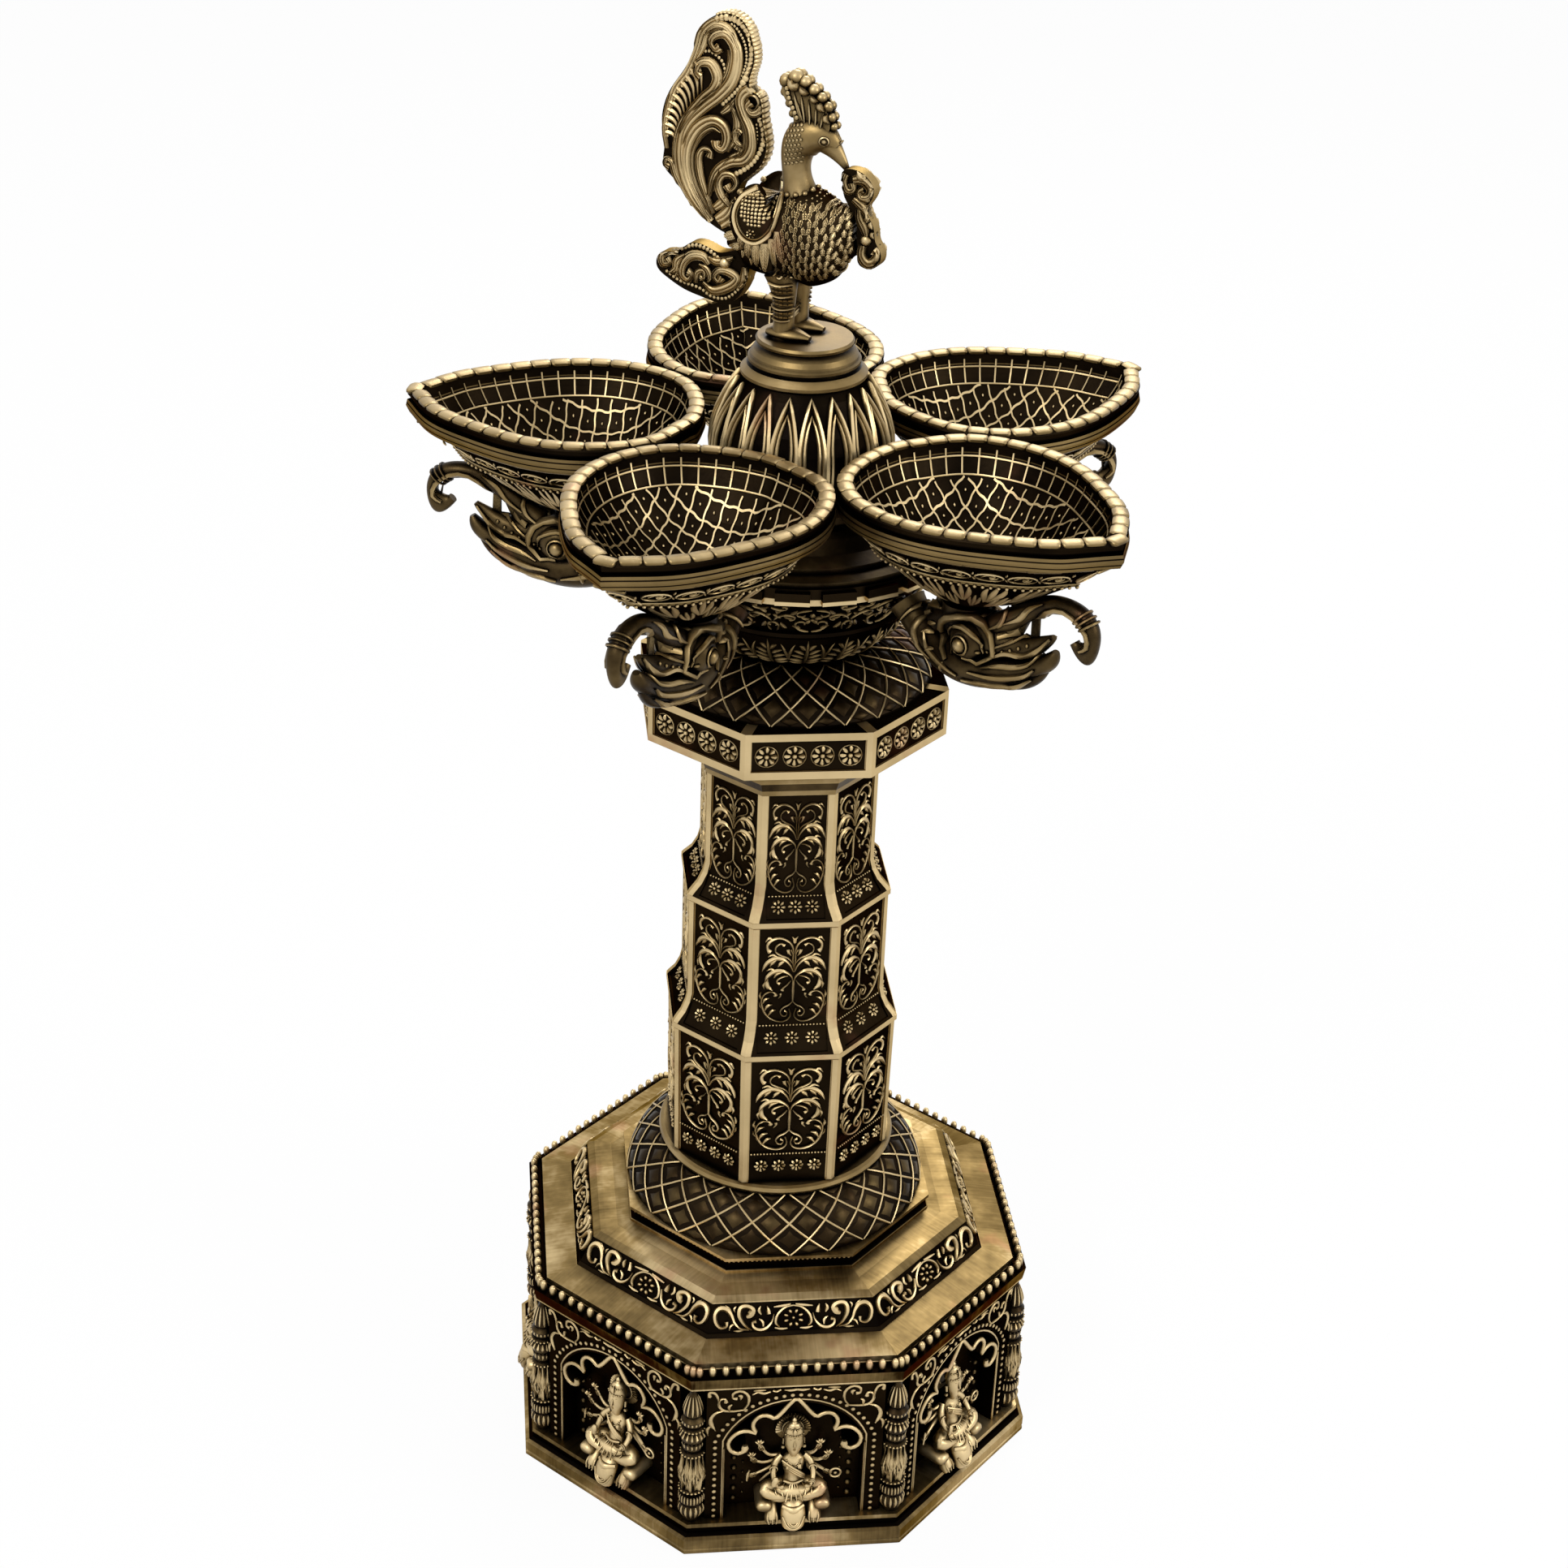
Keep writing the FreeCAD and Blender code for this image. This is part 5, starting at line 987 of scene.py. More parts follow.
def frieze_scrolls():
    """Half of a frieze face: comma scrolls and leaves from the medallion to the corner."""
    work = Casting()
    for points, widths, height in (
        (((0, 4.7), (3.4, 3.9), (6.4, 1.2), (7.3, -2), (5.9, -3.8)), (0.5, 0.7, 0.8, 0.8, 0.4), 1.2),
        (((1, 5.2), (4.4, 4.6), (8, 4.3)), (0.5, 0.9, 0.4), 1.1),
        (((2.6, -4.6), (5.2, -4.8), (7.8, -4.2)), (0.4, 0.8, 0.4), 1),
        (((10.1, 1.6), (10.3, 3), (10.8, 5)), (1.2, 1.1, 0.2), 1.5),
        (((8, 1.5), (9, -1.8), (11.3, -4.2), (14.2, -4.8), (16.6, -3.6), (17, -1.6), (15.4, -1.2)),
         (0.3, 0.6, 0.9, 1, 0.9, 0.8, 1), 1.4),
        (((19.4, 0.9), (17.6, 1.6), (16.6, 3.6), (18.9, 5.1), (21.6, 4.6), (22.3, 1.7), (21.2, -1),
         (19.4, -3.3), (17.4, -4.6)), (1, 1.7, 1.5, 1.2, 1.3, 1.3, 1, 0.7, 0.3), 1.7),
        (((18.6, -4.5), (22, -3.9), (24.4, -1.5), (25.6, 1.8), (27.6, 4.3), (30.4, 4.5), (32.2, 2.2),
         (31.9, -1.2), (30.1, -3.2), (27.8, -2.8), (27.6, -0.9)), (0.4, 0.6, 0.8, 1.1, 1.5, 1.4, 1.1, 1, 0.8,
         0.7, 1.1), 1.6),
        (((25.4, 1.2), (26.4, 4), (27.9, 5.9)), (0.6, 1, 0.2), 1.2),
        (((23.6, -2), (25.6, -2.6), (26.6, -4.4)), (0.3, 0.7, 0.3), 1),
        (((20.2, -4.6), (22.6, -5), (24.8, -4.8)), (0.3, 0.7, 0.3), 0.9),
        (((12.6, -3.4), (12.8, -1.6), (14.2, -0.2)), (0.5, 0.9, 0.3), 1.1),
        (((13.4, 5), (14, 3.2), (13.2, 1.6)), (0.3, 1, 0.5), 1.2),
        (((23.4, 5.2), (24.2, 4.2), (24, 2.8)), (0.3, 0.7, 0.3), 1),
    ):
        work.limb(points, widths, height, max(9, 3 * len(points)), 7)
    return work


def ring_path(radius, count=20, x=0.0, y=0.0, squash=1.0):
    turns = 2 * np.pi * np.arange(count) / count
    return np.column_stack([x + radius * np.cos(turns), y + radius * squash * np.sin(turns)])


FRIEZE_FOOT = (85.8, 97.5)
FRIEZE_TOP = (79.4, 108.9)


def dress_frieze():
    work = frieze_scrolls().mirrored()
    work.join(bead(0.85, 1.6, 8, rings=3).moved(y=-0.3))
    for i in range(8):
        turn = 45 * i + 22.5
        petal = bead(0.85, 1.6, 7, rings=3).stretched(x=1.5).moved(3.1, 0.0)
        work.join(petal.moved(turn=turn).stretched(x=1.05, y=0.92).moved(y=-0.3))
    slope = on_profile([FRIEZE_FOOT, FRIEZE_TOP])
    up = reach_of([FRIEZE_FOOT, FRIEZE_TOP]) / 2
    copies("frieze_scrolls", work.moved(y=up).placed(slope), CARVED)
    wall = flat_radius("frieze_tier") * 0.85
    ground = mitred([FRIEZE_FOOT, FRIEZE_TOP, (wall, FRIEZE_TOP[1]), (wall, FRIEZE_FOOT[1])])
    copies("frieze_slope", ground, SOOTY)
    coat(BLACKENED, "frieze_tier")


# Shares of a dome's radial fall and of its height, from its foot to its top
DOME_SHARES = (
    (0, 0), (0, 0.06), (0.05, 0.22), (0.15, 0.42), (0.31, 0.62), (0.52, 0.80), (0.75, 0.93), (1, 1),
)


def dome_section(foot, top, bottom, rise):
    return [(foot + (top - foot) * fall, bottom + rise * climb) for fall, climb in DOME_SHARES]


PILLOW_CREST = -0.14
# Each dome's radius at its foot and at its top, its rise, and its ribs' half width
DOMES = {"lower": (63.2, 47.5, 20.3, 0.48), "upper": (53.8, 31.0, 14.5, 0.45)}
LATTICE_CELLS = 24
LATTICE_ROWS = 4


def lattice(section, radius):
    """One cell's share of a lattice on a dome: two crossing ribs, and the raised squares between them."""
    length = reach_of(section)
    step = 2 * math.pi / LATTICE_CELLS
    rows = LATTICE_ROWS
    surface = on_profile(section, 1.0)
    work = Casting()
    count = rows * 4 + 1
    climb = np.linspace(0.01, 0.985, count)
    for side in (-1, 1):
        along = side * step / 2 * climb * rows
        points = surface(along, climb * length, np.full(count, 0.1))
        outer = surface(along, climb * length, np.full(count, 1.1))
        work.join(strand(points, radius, radius * 1.25, 6, out=outer - points))
    for i in range(rows + 1):
        middle = (i + {0: 0.35, rows: -0.3}.get(i, 0.0)) / rows
        turn = step / 2 * (1 - i % 2)
        half = 0.62 if 0 < i < rows else 0.3
        pillow = Casting()
        corners = np.array([(1, 0), (0, 1), (-1, 0), (0, -1)])
        spans = corners * (step / 2 * 0.60, length / rows * half)
        tops = corners * (step / 2 * 0.34, length / rows * half * 0.55)
        flat = np.vstack([
            np.column_stack([spans, np.full(4, -0.1)]), np.column_stack([tops, np.full(4, 0.5)]),
            [[0, 0, -0.3], [0, 0, 0.5]],
        ]) + (turn, middle * length, 0)
        pillow.add(flat, PILLOW_CREST, tube_faces(2, 4, False))
        work.join(pillow.placed(surface))
    return work


def dress_domes():
    for name, (foot, top, rise, rib) in DOMES.items():
        section = dome_section(foot, top, low(f"{name}_lattice_dome").z, rise)
        copies(f"{name}_dome_lattice", lattice(section, rib), CARVED, LATTICE_CELLS)
        coat(DOME_GROUND, f"{name}_lattice_dome")
    coat(SMOOTH, "column_foot_ring")


# Column: vine panels, bead lines and rosettes on every face


# Half of a vine tree: points from its stem out and from its foot up, half widths and height of each strand
VINE_STRANDS = (
    (((0, 9.4), (0.12, 14), (0.12, 19.6)), (0.45, 0.5, 0.55), 0.9),
    (((0, 9.6), (1.6, 7.9), (3.6, 6.8), (4.9, 4.9), (4.1, 3), (2.6, 2.9), (2.1, 4.5), (3.3, 5)),
     (0.3, 0.42, 0.45, 0.45, 0.42, 0.4, 0.35, 0.75), 0.9),
    (((1.5, 6.4), (0.7, 3.2), (2.1, 0.9), (5, 0.2), (8.4, 1.4), (10.9, 3.9), (12.3, 7.4), (12.7, 10.5),
     (11.6, 13.1), (9.5, 14.3), (7.6, 13.8), (7, 12.3)), (0.3, 0.4, 0.42, 0.45, 0.5, 0.6, 0.6, 0.5, 0.45,
     0.42, 0.5, 0.95), 0.95),
    (((0.2, 19.4), (0.9, 21.3), (2.7, 23), (5.5, 24), (8.4, 23.4), (10.7, 21.2), (11.7, 19.2)),
     (0.4, 0.5, 0.65, 0.95, 1.1, 0.8, 0.2), 1.1),
    (((4.4, 23.4), (6.8, 22.4), (8, 20.8)), (0.4, 0.7, 0.3), 0.9),
    (((7.6, 23.8), (9.4, 24.8), (11, 24.2)), (0.5, 0.6, 0.2), 0.8),
    (((10.4, 21), (10.8, 18.6), (10.2, 16.5), (8.4, 15)), (0.4, 0.9, 0.95, 0.4), 1),
    (((10.9, 19.4), (12, 17.4), (11.6, 15.4)), (0.3, 0.6, 0.2), 0.8),
    (((2.2, 21.6), (4.1, 21.2), (6.2, 20), (6.6, 18.6), (5.6, 17.8)), (0.3, 0.45, 0.5, 0.5, 0.8), 0.9),
    (((1, 19.4), (2.4, 17.4), (3.9, 16), (4.4, 14.7)), (0.25, 0.35, 0.45, 0.85), 0.9),
    (((0.2, 23.6), (1.6, 26.6), (4.1, 29), (7.3, 29.7), (10.4, 28.2), (12.2, 25.6), (12.9, 24)),
     (0.45, 0.55, 0.85, 1.15, 1, 0.7, 0.2), 1.1),
    (((4, 28.4), (5.4, 27.2), (6.6, 25.8)), (0.5, 0.8, 0.2), 0.9),
    (((7.2, 29), (8.8, 27.6), (9.8, 26.2)), (0.5, 0.8, 0.2), 0.9),
    (((6.4, 30.2), (8.8, 31.2), (10.6, 30.6)), (0.4, 0.6, 0.2), 0.8),
    (((0, 24.4), (0.5, 28.4), (0.5, 31.4), (1.4, 33.6)), (0.4, 0.45, 0.45, 0.5), 0.9),
    (((0.5, 30.6), (0.4, 33.2), (1.3, 35.9), (3.4, 37.9), (6.3, 38.9), (9.1, 38.1), (10.9, 36), (10.7, 33.8),
     (9.8, 32.7)), (0.35, 0.45, 0.5, 0.5, 0.6, 0.7, 0.7, 0.7, 1.1), 1),
    (((0.2, 26.8), (2.3, 29.5), (5.2, 30.9), (7.5, 32.5), (7.5, 34.9), (5.6, 36.4), (4.2, 35.4)),
     (0.3, 0.4, 0.4, 0.4, 0.42, 0.42, 0.8), 0.9),
    (((8.9, 38.3), (10.4, 38.9), (11.8, 37.4)), (0.4, 0.6, 0.2), 0.8),
    (((0, 36.6), (0.3, 38.2), (1.3, 39.6)), (0.6, 0.6, 0.15), 0.8),
    (((2.6, 33.6), (2.2, 32), (1.2, 30.8)), (0.7, 0.6, 0.2), 0.8),
    (((12.5, 8.6), (11.2, 10.6), (9.4, 11.6)), (0.4, 0.7, 0.2), 0.9),
    (((11.6, 5.2), (10, 7.6), (8.2, 8.4)), (0.4, 0.75, 0.2), 0.9),
    (((10, 3), (8.2, 5.2), (6.8, 5.8)), (0.4, 0.7, 0.2), 0.9),
    (((12.6, 10.6), (13.4, 12.6), (12.9, 14.6)), (0.4, 0.6, 0.2), 0.8),
    (((11.9, 6.4), (13.2, 7.8), (13.6, 9.8)), (0.3, 0.5, 0.2), 0.8),
    (((6, 11), (5, 12.2), (5.2, 13.4)), (0.2, 0.5, 0.6), 0.8),
)


def vine_panel():
    work = Casting()
    for points, widths, height in VINE_STRANDS:
        work.limb(points, widths, height, max(8, 2 * len(points) + 3), 6)
    return work


VINE_HALF = 13.0
VINE_HEIGHT = 41.5
PANEL_DEPTH = 0.74
# For each tier: the flat of its wall, the flat of the rim below (or none), the vine's half width, rosettes
# in a row, and the heights of the vine's foot, the bead line and the rosettes
TIERS = {
    "column_lower_tier": (45.64, None, 14.2, 4, 160.2, 158.0, 151.9),
    "column_middle_tier": (40.28, 46.29, 12.9, 3, 219.8, 218.4, 212.9),
    "column_upper_tier": (33.91, 40.93, 11.2, 3, 276.9, 275.6, 271.2),
}
COVE_HEIGHT = 13.0
COVE_SHARES = ((0.1, 0.08), (0.55, 0.35), (0.86, 0.68), (1.0, 1.0))
BAND_HEIGHT = 3.2
# The moulding over the upper tier, each part as a closed section of (flat, height) points
UPPER_RIM = (
    ("band", ((32.8, 320.6), (34.2, 321.0), (34.7, 323.3), (32.8, 323.3)), SMOOTH),
    ("slope", ((32.8, 323.3), (34.7, 323.3), (36.3, 327.2), (32.8, 327.2)), SMOOTH_DARK),
    ("rim", ((32.8, 327.2), (36.4, 327.2), (36.4, 329.8), (32.8, 333.0)), SMOOTH),
)


def tier_section(node):
    """The section of a tier's panel floor: (flat, height) from its foot up."""
    wall, rim = TIERS[node][:2]
    bottom, top = low(node).z, high(node).z
    if rim is None:
        stations = [(wall, bottom)]
    else:
        stations = [(rim, bottom)]
        for way, climb in COVE_SHARES:
            stations.append((rim + (wall - rim) * way, bottom + COVE_HEIGHT * climb))
    stations.append((wall, top))
    return [(flat - PANEL_DEPTH, height) for flat, height in stations]


def dress_tiers():
    vine = vine_panel().mirrored()
    for node, (wall, _, half, rosettes, vine_foot, bead_line, rosette_line) in TIERS.items():
        short = node.replace("column_", "")
        section = tier_section(node)
        bottom, top = low(node).z, high(node).z
        slack = reach_of(section) - (top - bottom)
        surface = on_profile(section)
        scale = half / VINE_HALF
        fitted = vine.stretched(x=scale, y=(VINE_HEIGHT - 0.5) / 40.0).moved(0.0, vine_foot - bottom + slack)
        copies(f"{short}_vines", fitted.placed(surface), CARVED)
        spread = wall * math.tan(HALF_FACE) - RIB_HALF - 1.3
        line = np.full(2, bead_line - bottom + slack)
        row(f"{short}_bead_line", surface(np.array([-spread, spread]), line, np.full(2, 0.1)),
            bead(0.52, 0.62), int(spread * 2 / 1.25), CARVED, out=(0, -1, 0), count=SIDES)
        flowers = Casting()
        pitch = 2 * spread / rosettes
        for i in range(rosettes):
            along = (i - (rosettes - 1) / 2) * pitch * 0.97
            flowers.join(rosette(3.0, 8, 0.95).moved(along, rosette_line - bottom + slack))
        copies(f"{short}_rosettes", flowers.placed(surface), CARVED)
        coat(ground_brass(f"{short} ground", ribs_and_bands((top - BAND_HEIGHT, top))), node)
    for name, section, material in UPPER_RIM:
        copies(f"upper_tier_{name}", mitred(section), material)


CAPITAL_FLAT = 57.93


def dress_capital():
    bottom, top = low("capital").z, high("capital").z
    flowers = Casting()
    flower = rosette(4.2, 8, 1.2).join(strand(ring_path(4.35, 18), 0.3, 0.5, closed=True))
    for i in range(4):
        flowers.join(flower.moved((i - 1.5) * 10.5, (bottom + top) / 2))
    copies("capital_rosettes", flowers.placed(on_front(CAPITAL_FLAT - PANEL_DEPTH, 0.0)), CARVED)
    coat(ground_brass("capital ground", ribs_and_bands((bottom, bottom + BAND_HEIGHT),
        (top - BAND_HEIGHT, top - 0.15))), "capital")


# Corner colonnettes: flutes, collars of beads and leaves


COLONNETTE_RADIUS = 5.4
COLONNETTE_REACH = 110.0
# The turned section, as shares of its radius and height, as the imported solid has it
COLONNETTE_SHARES = (
    (0.66, 0), (0.72, 0.03), (0.96, 0.075), (1, 0.10), (0.9, 0.125), (0.72, 0.14), (0.98, 0.15), (0.98, 0.2),
    (0.72, 0.225), (0.95, 0.243), (0.7, 0.262), (0.74, 0.29), (1, 0.34), (0.98, 0.385), (0.74, 0.45),
    (0.66, 0.492), (0.88, 0.52), (0.66, 0.54), (0.82, 0.60), (0.66, 0.61), (0.96, 0.655), (0.68, 0.69),
    (0.9, 0.708), (0.7, 0.725), (0.88, 0.76), (0.62, 0.80), (0.74, 0.815), (0.72, 0.85), (0.5, 0.91),
     (0.28, 0.96),
)


def colonnette_carving():
    bottom, top = low("corner_colonnette_1").z, high("corner_colonnette_1").z
    section = [(r * COLONNETTE_RADIUS, bottom + h * (top - bottom)) for r, h in COLONNETTE_SHARES]

    def around(along, up, out):
        """Along counts in degrees from the front, up in heights."""
        radius = np.interp(up, *np.array(section).T[::-1]) + out
        turn = np.radians(along)
        return np.column_stack([radius * np.sin(turn), -COLONNETTE_REACH - radius * np.cos(turn), up])

    def level(share):
        return bottom + share * (top - bottom)

    work = Casting()
    for start, end, step, width, rise in (
        (0.035, 0.125, 24, 7, 0.5), (0.148, 0.205, 15, 4.4, 0.35), (0.615, 0.682, 24, 7, 0.5),
        (0.735, 0.79, 20, 6, 0.4), (0.82, 0.945, 30, 8.5, 0.5), (0.545, 0.605, 24, 6.5, 0.35),
    ):
        for along in np.arange(-105, 106, step):
            path = [(along, level(start + (end - start) * t)) for t in np.linspace(0, 1, 6)]
            full = np.array([0.3, 0.85, 1, 1, 0.85, 0.3])
            work.join(strand(path, width * full, rise * full, 5).placed(around))
    for share in (0.243, 0.52, 0.708):
        for along in np.arange(-108, 109, 18):
            work.join(bead(0.62, 0.7).stretched(x=180 / math.pi / COLONNETTE_RADIUS).moved(along,
                level(share)).placed(around))
    for along in np.arange(-100, 101, 50):
        for side in (-1, 1):
            curled = [(along, level(0.28)), (along + side * 16, level(0.32)),
                (along + side * 20, level(0.37)), (along + side * 9, level(0.395)),
                (along + side * 6, level(0.36)), (along + side * 12, level(0.345))]
            work.join(limb(curled, [4.5, 6, 5.5, 4.5, 4, 6], [0.3, 0.5, 0.5, 0.5, 0.5, 0.7], 12,
                5).placed(around))
            upper = [(along, level(0.385)), (along + side * 10, level(0.42)),
                (along + side * 17, level(0.45)), (along + side * 10, level(0.475))]
            work.join(limb(upper, [4, 7, 5, 2], [0.3, 0.5, 0.5, 0.2], 8, 5).placed(around))
        work.join(limb([(along + 25, level(0.29)), (along + 25, level(0.36)), (along + 25, level(0.44))],
            [3, 7, 1], [0.3, 0.6, 0.2], 7, 5).placed(around))
    return work


# Goddess: drawn as (across, up) on her niche's floor, with out as the third number


HALO_CENTRE = 55.6
HALO_RADIUS = 7.3
FACE_OUT = 8.2


def lotus(x, up, out):
    """A small lotus bud held by its stem."""
    bud = Casting()
    for lean in (-55, -20, 20, 55):
        tip = (x + 2.3 * math.sin(math.radians(lean)), up + 2.5 * math.cos(math.radians(lean)), out + 0.4)
        bud.limb([(x, up, out), ((x + tip[0]) / 2, (up + tip[1]) / 2 + 0.3, out + 0.7), tip],
            [0.3, 0.75, 0.1], [0.4, 0.9, 0.2], 6, 6)
    return bud


def goddess_half():
    """What is alike on both sides: leg, throne, shoulder, front arm, ear, brow and ornaments."""
    side = Casting()
    upright = {"out": (0, 1, 0)}
    side.limb([(12.2, 22.6, -0.6), (12.2, 22.6, 5), (12.2, 22.5, 11.4), (12.2, 22.4, 13)],
        [3.4, 3.5, 3.5, 2.1], [2.6, 2.8, 2.7, 1.4], 8, 12, **upright)
    side.limb([(3, 30, 4.6), (8, 30.6, 7), (11.6, 29.8, 8.2), (10.2, 28.6, 10.2), (5.6, 27.6, 11.2),
        (1, 27, 11.6)], [2.5, 3, 3, 2.5, 1.5, 0.8], [2.4, 2.8, 2.8, 2.4, 1.5, 0.8], 18, 10)
    for t in (0, 1, 2):
        side.limb([(3.4 + 2.2 * t, 33 - 0.5 * t, 8.4), (5 + 2.6 * t, 31 - 0.4 * t, 10.6),
            (4.6 + 2.4 * t, 29.2, 12.6 - 0.6 * t)], 0.28, 0.5, 7, 5)
    for i in range(5):
        side.join(bead(0.55, 0.7).moved(1.2 + 2.5 * i, 26.6 + 0.5 * i, 13 - 0.75 * i))
    side.limb([(8.7, 21.4, 6.4), (8.8, 18, 9.8), (8.7, 15.2, 11), (8.4, 14, 12.4)], [2.5, 3, 3.1, 2.2],
        [2.6, 3, 3, 1.6], 10, 10)
    for lean in (-1, 0, 1):
        side.limb([(8.8 + lean * 1.2, 21, 9.6), (8.8 + lean * 2, 17.6, 12.8),
            (8.6 + lean * 1.5, 14.8, 13.8)], [0.3, 0.45, 0.25], 0.4, 7, 5)
    side.limb([(4.8, 43.4, 3.8), (7.2, 41.4, 5.2), (8.3, 38, 7), (8, 35, 9.6), (6.4, 33.4, 11.6)],
        [1.6, 1.5, 1.25, 1.05, 0.85], None, 14, 8)
    side.limb([(6.8, 33.4, 11.4), (5.6, 33.8, 12.4), (4.6, 34.8, 12.6)], [0.9, 1.1, 0.5], [0.7, 0.8, 0.4],
        6, 6)
    for x, up, out, radius in ((8.2, 39.2, 6.6, 1.55), (7.3, 34.2, 10.4, 1.2), (7.6, 34.5, 9.9, 1.25)):
        side.join(strand(ring_path(radius, 10, x, up), 0.3, 0.5, 5, closed=True).moved(z=out + 0.6))
    side.limb([(2.1, 40.4, 7.2), (3.4, 40.6, 7.5)], [1.6, 1.4], [1.5, 1.3], 5, 8)
    side.limb([(4.2, 54, FACE_OUT - 3.4), (4.4, 51.4, FACE_OUT - 3)], [0.55, 0.5], 0.8, 5, 6)
    side.join(bead(0.95, 1, 8).moved(4.4, 49.6, FACE_OUT - 3))
    side.limb([(0.55, 55, FACE_OUT), (1.6, 55.6, FACE_OUT - 0.2), (2.8, 55, FACE_OUT - 1.1)],
        [0.12, 0.2, 0.1], 0.25, 7, 5)
    side.limb([(0.75, 53.7, FACE_OUT - 0.15), (1.6, 54, FACE_OUT - 0.2), (2.6, 53.6, FACE_OUT - 1.1)],
        [0.1, 0.42, 0.1], [0.15, 0.4, 0.15], 7, 6)
    side.limb([(2.9, 44.2, 5.4), (1.9, 42.6, 7.1), (0.6, 41.8, 7.8)], 0.32, 0.5, 7, 5)
    side.limb([(6, 42.4, 3.2), (6.8, 36, 3), (10.2, 31.6, 2.4), (13.4, 28.4, 2.2)], [0.5, 0.8, 0.8, 0.3],
        0.5, 10, 5)
    return side.mirrored()


